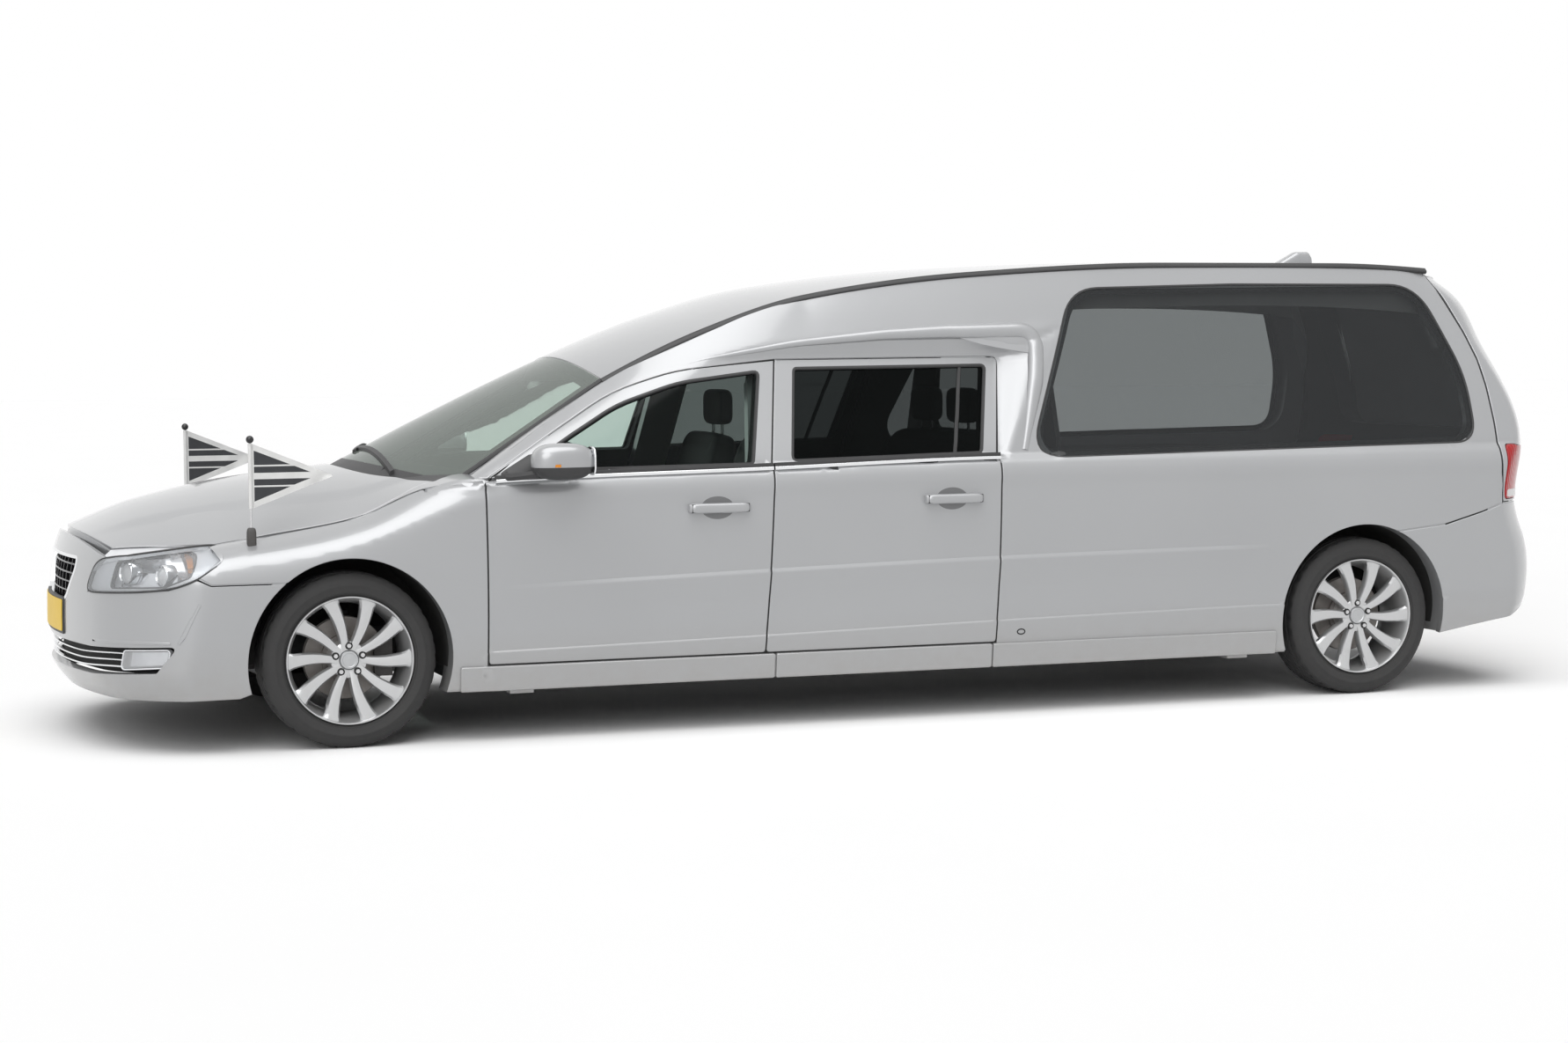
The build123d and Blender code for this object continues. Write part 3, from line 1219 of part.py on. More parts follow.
# Every node, with the wheels and tyres set in their places
nodes = [
    body_side_left,
    body_side_right,
    roof_panel,
    front_fenders,
    front_bumper,
    rear_bumper,
    front_lamps,
    grilles,
    side_skirts,
    windscreen,
    quarter_glass,
    cowl,
    bonnet,
    door_front_left,
    door_front_right,
    door_rear_left,
    door_rear_right,
    glass_front_left,
    glass_front_right,
    glass_rear_left,
    glass_rear_right,
    mirror_left,
    mirror_right,
    tailgate,
    tailgate_glass,
    tail_lamps,
    wheel_liners,
    floor_pan,
    engine_block,
    front_subframe,
    rear_axle,
    exhaust,
    dashboard,
    steering_wheel,
    front_seats,
    rear_bench,
    partition,
    coffin_deck,
    flag_staffs,
    pennants,
    knuckle_left,
    knuckle_right,
]
for end, axle_x in (("front", FRONT_AXLE_X), ("rear", REAR_AXLE_X)):
    place = Plane(origin=(axle_x, WHEEL_Y, AXLE_Z), x_dir=(1, 0, 0), z_dir=(0, 1, 0)).location
    for kind, blank in (("wheel", rim), ("tyre", tyre)):
        placed = blank.part.moved(place)
        for side, piece in (("left", placed), ("right", placed.mirror(Plane.XZ))):
            with BuildPart() as node:
                add(piece)
            node.part.label = f"{kind}_{end}_{side}"
            nodes.append(node)
for node in nodes:
    export_step(node.part, f"parts/{node.part.label}.step")
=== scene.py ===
"""Funeral limousine: the visible car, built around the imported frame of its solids."""
import logging
import math
from dataclasses import dataclass, field
from enum import Enum
from typing import Any, Callable, Optional, Sequence

import bmesh
import bpy
import numpy as np
from mathutils import Matrix, Vector
from mathutils.bvhtree import BVHTree
from mathutils.geometry import delaunay_2d_cdt


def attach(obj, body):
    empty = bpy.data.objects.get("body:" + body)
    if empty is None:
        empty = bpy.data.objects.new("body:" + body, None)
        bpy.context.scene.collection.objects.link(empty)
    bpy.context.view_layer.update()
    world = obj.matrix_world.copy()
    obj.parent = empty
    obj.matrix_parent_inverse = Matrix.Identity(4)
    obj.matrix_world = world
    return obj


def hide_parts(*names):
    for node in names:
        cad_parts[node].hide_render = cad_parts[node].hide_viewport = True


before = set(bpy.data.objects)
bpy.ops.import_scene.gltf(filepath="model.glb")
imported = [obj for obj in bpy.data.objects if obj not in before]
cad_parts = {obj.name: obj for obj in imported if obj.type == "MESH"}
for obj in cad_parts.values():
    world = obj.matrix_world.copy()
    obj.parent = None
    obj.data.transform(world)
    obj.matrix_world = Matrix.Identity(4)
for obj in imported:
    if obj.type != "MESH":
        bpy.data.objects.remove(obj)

LOG = logging.getLogger("limousine")
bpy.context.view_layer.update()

Array = np.ndarray
Pair = tuple[float, float]
Mapping = Callable[[Array, Array], Array]

FRONT_AXLE = 2.090
REAR_AXLE = -2.084
NOSE_X = 3.050
TAIL_X = -3.050
HALF = 0.935
SILL = 0.190
ROOF = 1.777
AXLE_Z = 0.320
WHEEL_Y = 0.789
SEAM = 0.0026


def f(distance: float) -> float:
    """X of a place measured from the front axle."""
    return FRONT_AXLE + distance


def r(distance: float) -> float:
    """X of a place measured from the rear axle."""
    return REAR_AXLE + distance


# Shader nodes


class Sock:
    """A node socket that takes part in Python arithmetic, one Math node for each operation."""

    def __init__(self, tree: Any, socket: Any) -> None:
        """Keep the tree and the output socket."""
        self.tree = tree
        self.socket = socket

    def _math(self, operation: str, first: Any, second: Any = None) -> "Sock":
        """Add a Math node.

        Args:
            operation: Name of the Math node's operation.
            first: First operand, a number or a socket.
            second: Second operand, a number or a socket.

        Returns:
            The result as a socket.
        """
        node = self.tree.nodes.new("ShaderNodeMath")
        node.operation = operation
        for slot, value in zip(node.inputs, (first, second)):
            if isinstance(value, Sock):
                self.tree.links.new(value.socket, slot)
            elif value is not None:
                slot.default_value = value
        return Sock(self.tree, node.outputs[0])

    def __add__(self, other: Any) -> "Sock":
        """Sum."""
        return self._math("ADD", self, other)

    __radd__ = __add__

    def __sub__(self, other: Any) -> "Sock":
        """Difference."""
        return self._math("SUBTRACT", self, other)

    def __rsub__(self, other: Any) -> "Sock":
        """Difference the other way round."""
        return self._math("SUBTRACT", other, self)

    def __mul__(self, other: Any) -> "Sock":
        """Product."""
        return self._math("MULTIPLY", self, other)

    __rmul__ = __mul__

    def __truediv__(self, other: Any) -> "Sock":
        """Quotient."""
        return self._math("DIVIDE", self, other)

    def __gt__(self, other: Any) -> "Sock":
        """One where this is greater, else nought."""
        return self._math("GREATER_THAN", self, other)

    def __lt__(self, other: Any) -> "Sock":
        """One where this is less, else nought."""
        return self._math("LESS_THAN", self, other)

    def __abs__(self) -> "Sock":
        """Size without sign."""
        return self._math("ABSOLUTE", self)

    def sine(self) -> "Sock":
        """Sine of the value in radians."""
        return self._math("SINE", self)


class Dress:
    """A material under construction: its node tree and its main shader."""

    def __init__(self, name: str) -> None:
        """Start a material with one Principled shader."""
        self.material = bpy.data.materials.new(name)
        self.material.use_nodes = True
        self.tree = self.material.node_tree
        self.shader = self.tree.nodes["Principled BSDF"]
        self.output = self.tree.nodes["Material Output"]

    def node(self, kind: str, settings: dict, inputs: dict, out: Any = 0) -> Sock:
        """Add any node.

        Args:
            kind: Node type, such as ShaderNodeTexNoise.
            settings: Attributes set before the sockets; the key stops fills a colour ramp.
            inputs: Values or sockets by input name or index.
            out: Name or index of the output wanted.

        Returns:
            That output as a socket.
        """
        node = self.tree.nodes.new(kind)
        for key, value in settings.items():
            if key == "stops":
                ramp = node.color_ramp
                while len(ramp.elements) < len(value):
                    ramp.elements.new(0.5)
                for element, (position, colour) in zip(ramp.elements, value):
                    element.position = position
                    element.color = (*colour, 1.0)
            else:
                setattr(node, key, value)
        self.feed(node, inputs)
        return Sock(self.tree, node.outputs[out])

    def feed(self, node: Any, inputs: dict) -> None:
        """Set or link a node's inputs.

        Args:
            node: The node.
            inputs: Values or sockets by input name or index.
        """
        for key, value in inputs.items():
            slot = node.inputs[key]
            if isinstance(value, Sock):
                self.tree.links.new(value.socket, slot)
            elif isinstance(value, tuple) and len(value) == 3 and slot.type == "RGBA":
                slot.default_value = (*value, 1.0)
            else:
                slot.default_value = value

    def place(self, part: str = "Object") -> Sock:
        """Texture coordinates fixed to the piece."""
        return self.node("ShaderNodeTexCoord", {}, {}, part)

    def axes(self) -> tuple[Sock, Sock, Sock]:
        """The piece's own x, y and z as three sockets."""
        split = self.node("ShaderNodeSeparateXYZ", {}, {0: self.place()})
        outputs = split.socket.node.outputs
        return tuple(Sock(self.tree, socket) for socket in outputs)

    def noise(self, scale: float, detail: float = 2.0, rough: float = 0.5) -> Sock:
        """Soft noise from nought to one.

        Args:
            scale: Cells for each metre.
            detail: Octaves.
            rough: Weight of the small octaves.

        Returns:
            The noise's value.
        """
        inputs = {"Vector": self.place(), "Scale": scale, "Detail": detail, "Roughness": rough}
        return self.node("ShaderNodeTexNoise", {}, inputs, "Fac")

    def mix(self, share: Any, low: Any, high: Any) -> Sock:
        """A colour between two others.

        Args:
            share: Nought gives low and one gives high.
            low: First colour or socket.
            high: Second colour or socket.

        Returns:
            The mixed colour.
        """
        mixer = self.tree.nodes.new("ShaderNodeMix")
        mixer.data_type = "RGBA"
        colours = [slot for slot in mixer.inputs if slot.type == "RGBA"]
        shares = [slot for slot in mixer.inputs if slot.type == "VALUE"]
        for slot, value in zip((shares[0], *colours), (share, low, high)):
            if isinstance(value, Sock):
                self.tree.links.new(value.socket, slot)
            else:
                slot.default_value = (*value, 1.0) if isinstance(value, tuple) else value
        return Sock(self.tree, [slot for slot in mixer.outputs if slot.type == "RGBA"][0])

    def bump(self, height: Sock, distance: float, strength: float = 1.0) -> None:
        """Feed a height to the main shader's normal.

        Args:
            height: Height from nought to one.
            distance: Depth of the relief in metres.
            strength: Share of it that shows.
        """
        inputs = {"Height": height, "Distance": distance, "Strength": strength}
        self.feed(self.shader, {"Normal": self.node("ShaderNodeBump", {}, inputs, "Normal")})


# Finishes


@dataclass(frozen=True)
class Finish:
    """A surface finish that makes its material once."""

    name: str

    def dress(self, made: Dress) -> None:
        """Lay the nodes of the finish."""
        raise NotImplementedError

    def material(self) -> Any:
        """The material of this finish, made at its first use."""
        kept = bpy.data.materials.get(self.name)
        if kept is None:
            made = Dress(self.name)
            self.dress(made)
            kept = made.material
        return kept


@dataclass(frozen=True)
class Lacquer(Finish):
    """Metallic car paint under clear coat, dusty near the ground."""

    colour: tuple = (0.30, 0.305, 0.314)
    flake: tuple = (0.42, 0.425, 0.434)
    metal: float = 0.40
    rough: float = 0.34

    def dress(self, made: Dress) -> None:
        """Flakes, a slow drift of tone and road dust below the doors."""
        _, _, height = made.axes()
        sparkle = made.noise(2600.0, 1.0)
        drift = made.noise(1.3, 2.0)
        low = made.node("ShaderNodeMapRange", {}, {0: height, 1: 0.42, 2: 0.18, 3: 0.0, 4: 1.0})
        dust = low * made.noise(16.0, 5.0, 0.65) * 0.55
        tone = made.mix(sparkle * 0.75 + drift * 0.25, self.colour, self.flake)
        made.feed(made.shader, {
            "Base Color": made.mix(dust, tone, (0.30, 0.28, 0.25)),
            "Metallic": self.metal,
            "Roughness": self.rough + drift * 0.06 + dust * 0.25,
            "Coat Weight": 1.0 - dust * 0.7,
            "Coat Roughness": 0.10,
        })


@dataclass(frozen=True)
class Chrome(Finish):
    """Bright plated trim."""

    colour: tuple = (0.82, 0.83, 0.84)
    rough: float = 0.07

    def dress(self, made: Dress) -> None:
        """Faint smears in a mirror."""
        smear = made.noise(35.0, 4.0)
        made.feed(made.shader, {
            "Base Color": made.mix(smear * 0.2, self.colour, (0.6, 0.6, 0.61)),
            "Metallic": 1.0,
            "Roughness": self.rough + smear * 0.08,
        })


@dataclass(frozen=True)
class Plastic(Finish):
    """Moulded plastic with a fine grain."""

    colour: tuple = (0.018, 0.018, 0.019)
    worn: tuple = (0.05, 0.05, 0.051)
    rough: float = 0.42
    grain: float = 0.00025
    grain_scale: float = 900.0

    def dress(self, made: Dress) -> None:
        """Grain in the relief and a greyed bloom in the colour."""
        grain = made.noise(self.grain_scale, 2.0)
        bloom = made.noise(9.0, 4.0, 0.6)
        made.feed(made.shader, {
            "Base Color": made.mix(bloom * 0.6, self.colour, self.worn),
            "Roughness": self.rough + bloom * 0.15,
        })
        made.bump(grain, self.grain)


@dataclass(frozen=True)
class Pane(Finish):
    """Window glass: clear or tinted through, glossy at a slant."""

    tint: tuple = (0.80, 0.88, 0.85)
    edge: tuple = (0.02, 0.03, 0.03)
    tint_and_sheen: float = 0.01

    def dress(self, made: Dress) -> None:
        """A tinted see-through shader under a Fresnel gloss with faint dust, plus a fixed share of the solid
        layer: a darker tint on tinted glass, a painted sheen on pale lamp and screen glass.
        """
        haze = made.noise(7.0, 4.0, 0.6)
        made.feed(made.shader, {
            "Base Color": self.edge,
            "Roughness": 0.015 + haze * 0.02,
            "IOR": 1.5,
            "Specular IOR Level": 0.9,
        })
        clear = made.node("ShaderNodeBsdfTransparent", {}, {0: self.tint})
        gloss = made.node("ShaderNodeFresnel", {}, {"IOR": 1.5})
        # A fixed share of the solid layer; where its colour is pale it is a painted sheen.
        share = gloss * (0.97 - self.tint_and_sheen) + haze * 0.03 + self.tint_and_sheen
        solid = Sock(made.tree, made.shader.outputs[0])
        blend = made.node("ShaderNodeMixShader", {}, {0: share, 1: clear, 2: solid})
        made.tree.links.new(blend.socket, made.output.inputs["Surface"])


@dataclass(frozen=True)
class Lens(Finish):
    """Moulded lamp glass, ribbed or plain."""

    colour: tuple = (0.95, 0.96, 0.97)
    ribs: float = 0.0
    clear: float = 0.30

    def dress(self, made: Dress) -> None:
        """Clear plastic with a light haze."""
        haze = made.noise(14.0, 3.0)
        made.feed(made.shader, {
            "Base Color": made.mix(haze * 0.15, self.colour, tuple(0.85 * c for c in self.colour)),
            "Transmission Weight": self.clear,
            "Coat Weight": 0.25,
            "IOR": 1.35,
            "Roughness": 0.01 + haze * 0.03,
        })
        if self.ribs:
            x, y, _ = made.axes()
            made.bump(((x + y) * (2 * math.pi * self.ribs)).sine() * 0.5 + 0.5, 0.0012)


@dataclass(frozen=True)
class Rubber(Finish):
    """Tyre rubber, dusty grey over black."""

    def dress(self, made: Dress) -> None:
        """A dry bloom and a fine pitted relief."""
        bloom = made.noise(24.0, 5.0, 0.65)
        pits = made.noise(700.0, 2.0)
        made.feed(made.shader, {
            "Base Color": made.mix(bloom, (0.012, 0.012, 0.013), (0.040, 0.039, 0.038)),
            "Roughness": 0.62 + bloom * 0.25,
        })
        made.bump(pits, 0.0003)


@dataclass(frozen=True)
class Metal(Finish):
    """Cast, pressed or turned metal."""

    colour: tuple = (0.62, 0.63, 0.64)
    grime: tuple = (0.20, 0.19, 0.18)
    metal: float = 0.85
    rough: float = 0.32
    dirt: float = 0.3
    cast: float = 0.0

    def dress(self, made: Dress) -> None:
        """Patches of grime, and a cast relief where asked for."""
        patch = made.noise(18.0, 5.0, 0.65)
        made.feed(made.shader, {
            "Base Color": made.mix(patch * self.dirt, self.colour, self.grime),
            "Metallic": self.metal - patch * 0.5 * self.dirt,
            "Roughness": self.rough + patch * 0.3 * self.dirt,
        })
        if self.cast:
            made.bump(made.noise(260.0, 3.0), self.cast)


@dataclass(frozen=True)
class Leather(Finish):
    """Grained upholstery leather."""

    colour: tuple = (0.030, 0.030, 0.032)

    def dress(self, made: Dress) -> None:
        """Cell grain and slow wear."""
        cells = made.node("ShaderNodeTexVoronoi", {}, {"Vector": made.place(), "Scale": 420.0}, "Distance")
        wear = made.noise(6.0, 4.0)
        made.feed(made.shader, {
            "Base Color": made.mix(wear * 0.7, self.colour, tuple(2.2 * c for c in self.colour)),
            "Roughness": 0.46 + wear * 0.14,
        })
        made.bump(cells, 0.0005)


@dataclass(frozen=True)
class Carpet(Finish):
    """Short-pile carpet and headlining felt."""

    colour: tuple = (0.035, 0.036, 0.038)

    def dress(self, made: Dress) -> None:
        """Tufts and trodden patches."""
        tuft = made.noise(1500.0, 2.0)
        patch = made.noise(5.0, 3.0)
        made.feed(made.shader, {
            "Base Color": made.mix(tuft * 0.6 + patch * 0.4, self.colour, tuple(2.0 * c for c in self.colour)),
            "Roughness": 0.95 - patch * 0.1,
        })
        made.bump(tuft, 0.0012)


@dataclass(frozen=True)
class Bunting(Finish):
    """Pennant cloth: a dark field, a white hem and stripes across its middle."""

    hoist_x: float = 2.427
    tip_x: float = 2.132
    middle_z: float = 0.993
    half_height: float = 0.117

    def dress(self, made: Dress) -> None:
        """Bands measured on the flat triangle, with a plain weave."""
        x, _, z = made.axes()
        share = (x - self.tip_x) / (self.hoist_x - self.tip_x)
        rise = abs(z - self.middle_z) / self.half_height
        hem = (share - rise) < 0.17
        stripe = (rise * 3.2 * math.pi / 0.62 + math.pi / 2).sine() > 0.0
        band = rise < 0.34
        sleeve = share > 0.955
        pale = hem + sleeve + stripe * band
        weave = (x * 5200.0).sine() * 0.25 + (z * 5200.0).sine() * 0.25 + 0.5
        soft = made.noise(30.0, 3.0)
        made.feed(made.shader, {
            "Base Color": made.mix(pale, made.mix(soft, (0.03, 0.031, 0.035), (0.05, 0.052, 0.056)),
                                   made.mix(soft, (0.76, 0.76, 0.75), (0.66, 0.66, 0.65))),
            "Roughness": 0.80 + soft * 0.12,
        })
        made.bump(weave, 0.0003)


PAINT = Lacquer("silver_lacquer")
# Darker paint for the flat oval behind each door handle: painted shade of the handle's hollow.
SCOOP_SHADE = Lacquer("scoop_shade_lacquer", (0.10, 0.102, 0.106), (0.16, 0.162, 0.166))
CHROME = Chrome("bright_trim")
TRIM = Plastic("black_trim")
GLOSS = Plastic("gloss_black", (0.008, 0.008, 0.009), (0.02, 0.02, 0.021), 0.10, 0.00005, 300.0)
# Near black for panel gaps, bolt wells and behind the grille and intake: painted shadow.
SHADOW = Plastic("painted_shadow", (0.006, 0.006, 0.006), (0.015, 0.015, 0.015), 0.7)
# The windscreen's pale solid share is a painted sheen that lightens the glass.
SCREEN = Pane("screen_glass", (0.70, 0.80, 0.74), (0.30, 0.34, 0.31), 0.40)
CLEAR = Pane("door_glass", (0.70, 0.79, 0.75), (0.03, 0.04, 0.04), 0.04)
DARK = Pane("privacy_glass", (0.13, 0.14, 0.14))
SMOKE = Pane("quarter_tint", (0.50, 0.52, 0.52), (0.07, 0.075, 0.08), 0.20)
# The pale solid share of lamp and fog glass is a painted sheen that lightens the lamps.
LAMP = Pane("lamp_glass", (0.97, 0.98, 0.99), (0.78, 0.80, 0.82), 0.20)
FOG = Pane("fog_glass", (0.95, 0.96, 0.97), (0.82, 0.83, 0.85), 0.35)
RED = Lens("red_lens", (0.42, 0.006, 0.008), 45.0, 0.10)
AMBER = Lens("amber_lens", (0.85, 0.30, 0.02), 60.0)
WHITE = Lens("white_lens", (0.90, 0.90, 0.90), 45.0)
MIRROR = Chrome("mirror_silver", (0.90, 0.91, 0.92), 0.01)
RUBBER = Rubber("tyre_rubber_black")
ALLOY = Metal("wheel_alloy", (0.58, 0.585, 0.59), (0.16, 0.15, 0.14), 0.80, 0.28, 0.18)
DISC = Metal("brake_disc", (0.30, 0.29, 0.28), (0.10, 0.07, 0.05), 0.9, 0.38, 0.6)
IRON = Metal("cast_iron", (0.10, 0.10, 0.10), (0.05, 0.04, 0.035), 0.6, 0.55, 0.8, 0.0008)
STEEL = Metal("bright_steel", (0.66, 0.66, 0.67), (0.25, 0.24, 0.23), 0.95, 0.18, 0.25)
GALV = Metal("deck_metal", (0.52, 0.53, 0.54), (0.22, 0.22, 0.22), 0.85, 0.35, 0.4)
UNDERSEAL = Plastic("underseal", (0.012, 0.012, 0.012), (0.04, 0.038, 0.035), 0.8, 0.0012, 260.0)
HIDE = Leather("seat_hide")
FELT = Carpet("floor_carpet")
LINING = Carpet("head_lining", (0.30, 0.30, 0.295))
DASH = Plastic("dash_skin", (0.020, 0.021, 0.022), (0.045, 0.045, 0.046), 0.55, 0.0006, 500.0)
PLATE = Plastic("plate_yellow", (0.78, 0.52, 0.03), (0.66, 0.44, 0.04), 0.38, 0.00008, 200.0)
SATIN = Metal("lamp_satin", (0.80, 0.81, 0.83), (0.62, 0.63, 0.65), 0.20, 0.25, 0.3)
REFLECT = Metal("lamp_reflector", (0.72, 0.73, 0.75), (0.45, 0.46, 0.48), 0.9, 0.16, 0.3)
CLOTH = Bunting("pennant_bunting")


# Outer form of the car


class Curve:
    """A smooth curve through a table's column that never overshoots its points."""

    def __init__(self, xs: Sequence[float], ys: Sequence[float]) -> None:
        """Sort the points and work out the slopes.

        Args:
            xs: Stations, in any order.
            ys: Values at the stations.
        """
        order = np.argsort(xs)
        self.x = np.asarray(xs, float)[order]
        self.y = np.asarray(ys, float)[order]
        gap = np.diff(self.x)
        rise = np.diff(self.y) / gap
        slope = np.concatenate(([rise[0]], np.zeros(len(gap) - 1), [rise[-1]]))
        for i in range(1, len(gap)):
            if rise[i - 1] * rise[i] > 0:
                near, far = 2 * gap[i] + gap[i - 1], gap[i] + 2 * gap[i - 1]
                slope[i] = (near + far) / (near / rise[i - 1] + far / rise[i])
        self.slope = slope

    def __call__(self, x: Any) -> Array:
        """Values at x, held constant beyond the ends."""
        x = np.clip(np.asarray(x, float), self.x[0], self.x[-1])
        i = np.clip(np.searchsorted(self.x, x) - 1, 0, len(self.x) - 2)
        width = self.x[i + 1] - self.x[i]
        t = (x - self.x[i]) / width
        low, high = self.y[i], self.y[i + 1]
        curl = self.slope[i] * t * (1 - t) ** 2 - self.slope[i + 1] * t**2 * (1 - t)
        return low + (high - low) * t * t * (3 - 2 * t) + width * curl


def smooth_min(a: Array, b: Array, soft: float) -> Array:
    """The lesser of two fields with a rounded join."""
    return 0.5 * (a + b - np.sqrt((a - b) ** 2 + soft**2))


def smooth_max(a: Array, b: Array, soft: float) -> Array:
    """The greater of two fields with a rounded join."""
    return 0.5 * (a + b + np.sqrt((a - b) ** 2 + soft**2))


def ramp(x: Array, low: float, high: float) -> Array:
    """A soft step from nought at low to one at high."""
    t = np.clip((x - low) / (high - low), 0, 1)
    return t * t * (3 - 2 * t)


@dataclass
class End:
    """Plan rounding of the nose or the tail."""

    tip: float
    sign: int
    backs: Curve
    sweep: float
    corner: float
    turn: float

    def shape(self, z: Array, width: Array) -> tuple[Array, Array, Array]:
        """Tip, half width of the bow and start of the flank at a height.

        Args:
            z: Heights.
            width: Half width of the plan at those heights.

        Returns:
            The tip's x, the bow's half width and the corner's end x.
        """
        tip = self.tip - self.sign * self.backs(z)
        bow = width - self.corner * (1 - math.cos(self.turn))
        flank = tip - self.sign * (self.sweep + self.corner * math.sin(self.turn))
        return tip, bow, flank


class Form:
    """The car's outer surface as functions of place, in metres."""

    TUB = [
        # x, sill_in, bulge_in, bulge_z, shoulder_in, shoulder_z, belt_in, belt_z, crown_z
        (f(1.00), 60, 12, 560, 34, 600, 230, 655, 735),
        (f(0.64), 50, 6, 590, 22, 640, 200, 700, 866),
        (f(0.30), 35, 0, 610, 16, 680, 190, 766, 938),
        (f(-0.05), 30, 0, 620, 12, 740, 180, 828, 978),
        (f(-0.33), 30, 0, 600, 12, 840, 125, 938, 1000),
        (f(-0.52), 30, 0, 590, 12, 870, 43, 958, 1000),
        (f(-1.60), 30, 0, 600, 10, 892, 40, 983, 1010),
        (r(1.60), 30, 0, 610, 10, 905, 40, 1005, 1030),
        (r(0.00), 30, 0, 615, 12, 905, 42, 1005, 1030),
        (r(-1.03), 60, 25, 620, 40, 905, 75, 1005, 1030),
    ]
    UPPER = [
        # x, base_in, base_z, bulge, edge_in, edge_drop, crown_drop
        (f(-0.05), 135, 600, 15, 145, 1072, 827),
        (f(-0.48), 63, 900, 30, 213, 812, 609),
        (f(-1.05), 49, 950, 72, 330, 459, 352),
        (f(-1.45), 48, 955, 34, 317, 274, 205),
        (f(-1.85), 47, 962, 18, 313, 149, 101),
        (r(1.624), 46, 980, 14, 313, 59, 29),
        (r(0.774), 46, 985, 14, 313, 21, 1),
        (r(-0.026), 46, 985, 14, 315, 22, 0),
        (r(-1.03), 85, 985, 14, 345, 87, 62),
    ]
    PLAN = [
        # z, side_out, nose_back, tail_back
        (120, 30, 190, 160),
        (200, 30, 55, 95),
        (300, 30, 0, 30),
        (450, 30, 0, 0),
        (600, 30, 6, 13),
        (700, 30, 24, 50),
        (800, 30, 60, 68),
        (1000, 30, 120, 40),
        (1280, -55, 200, 82),
        (1470, -135, 260, 150),
        (1670, -220, 320, 255),
        (1830, -275, 380, 360),
    ]
    PLANE_Y = HALF - 0.046
    PLANE_Z = 0.962
    PLANE_SLOPE = math.tan(math.radians(24.5))
    SOFT = 0.012
    door_start = f(-0.500)

    def __init__(self) -> None:
        """Turn the tables into curves."""
        tub = list(zip(*self.TUB))
        upper = list(zip(*self.UPPER))
        plan = list(zip(*self.PLAN))
        mm = lambda row: [value / 1000 for value in row]
        names = ("sill", "bulge", "bulge_z", "shoulder", "shoulder_z", "belt", "belt_z", "crown")
        self.tub = {name: Curve(tub[0], mm(row)) for name, row in zip(names, tub[1:])}
        names = ("base", "base_z", "bow", "edge", "edge_drop", "crown_drop")
        self.top = {name: Curve(upper[0], mm(row)) for name, row in zip(names, upper[1:])}
        heights = mm(plan[0])
        self.side_out = Curve(heights, mm(plan[1]))
        self.nose = End(NOSE_X, 1, Curve(heights, mm(plan[2])), 0.08, 0.558, math.radians(74.2))
        self.tail = End(TAIL_X, -1, Curve(heights, mm(plan[3])), 0.035, 0.42, math.radians(83.2))

    @staticmethod
    def arc_drop(rise: Array, run: Array, along: Array) -> Array:
        """How far a circle that starts upright has turned away.

        Args:
            rise: Drop at the far end.
            run: Distance to the far end.
            along: Distance wanted.

        Returns:
            The drop there.
        """
        rise = np.maximum(rise, 1e-4)
        radius = (rise**2 + run**2) / (2 * rise)
        return radius - np.sqrt(np.maximum(radius**2 - np.minimum(np.maximum(along, 0), 1.3 * run) ** 2, 0))

    def lower(self, x: Array, z: Array) -> Array:
        """Half width of the lower body."""
        at = {name: curve(x) for name, curve in self.tub.items()}
        sill, bulge = HALF - at["sill"], HALF - at["bulge"]
        shoulder, belt = HALF - at["shoulder"], HALF - at["belt"]
        under = bulge - self.arc_drop(bulge - sill, at["bulge_z"] - SILL, at["bulge_z"] - z)
        run = at["shoulder_z"] - at["bulge_z"]
        over = bulge - self.arc_drop(bulge - shoulder, run, np.minimum(z, at["shoulder_z"]) - at["bulge_z"])
        reach = at["belt_z"] - at["shoulder_z"]
        t = np.clip((z - at["shoulder_z"]) / reach, 0, 1)
        start = np.clip(2 * (bulge - shoulder) / run * reach / np.maximum(shoulder - belt, 1e-4), 0, 1)
        crest = (shoulder - belt) * (start * t + (1 - start) * t * t)
        return np.where(z < at["bulge_z"], under, over - crest)

    def edge_z(self, x: Any) -> Array:
        """Height of the roof edge."""
        return ROOF - self.top["edge_drop"](x)

    def edge_y(self, x: Any) -> Array:
        """Half width at the roof edge."""
        return HALF - self.top["edge"](x)

    def belt_z(self, x: Any) -> Array:
        """Height of the belt line."""
        return self.tub["belt_z"](x)

    def belt_y(self, x: Any) -> Array:
        """Half width at the belt line."""
        return HALF - self.tub["belt"](x)

    def door_plane(self, z: Array) -> Array:
        """Half width of the leaning plane of the door frames."""
        return self.PLANE_Y - self.PLANE_SLOPE * (z - self.PLANE_Z)

    def niche(self, x: Array, z: Array) -> Array:
        """Half width of the recess that the door frames stand in, walls included."""
        flat = self.door_plane(z)
        head = self.door_plane(1.394) + 0.212 * (z - 1.394)
        rise = np.clip((z - 0.973) / 0.421, 0, 1.3)
        foot = r(1.600) - 0.070 * rise
        spread = 0.085 + 0.070 * rise
        wall = flat + (foot - x) * 0.0546 / spread
        opening = flat + np.maximum(x - f(-1.0), 0) * 0.7
        return smooth_max(smooth_max(opening, head, 0.006), wall, 0.006)

    def upper(self, x: Array, z: Array) -> Array:
        """Half width of the upper body, recess included."""
        base_z, edge_z = self.top["base_z"](x), self.edge_z(x)
        base, edge = HALF - self.top["base"](x), self.edge_y(x)
        t = np.clip((z - base_z) / (edge_z - base_z), 0, 1.02)
        outer = base + (edge - base) * t + 4.2 * self.top["bow"](x) * t * (1 - t)
        return smooth_min(outer, self.niche(x, z), 0.006)

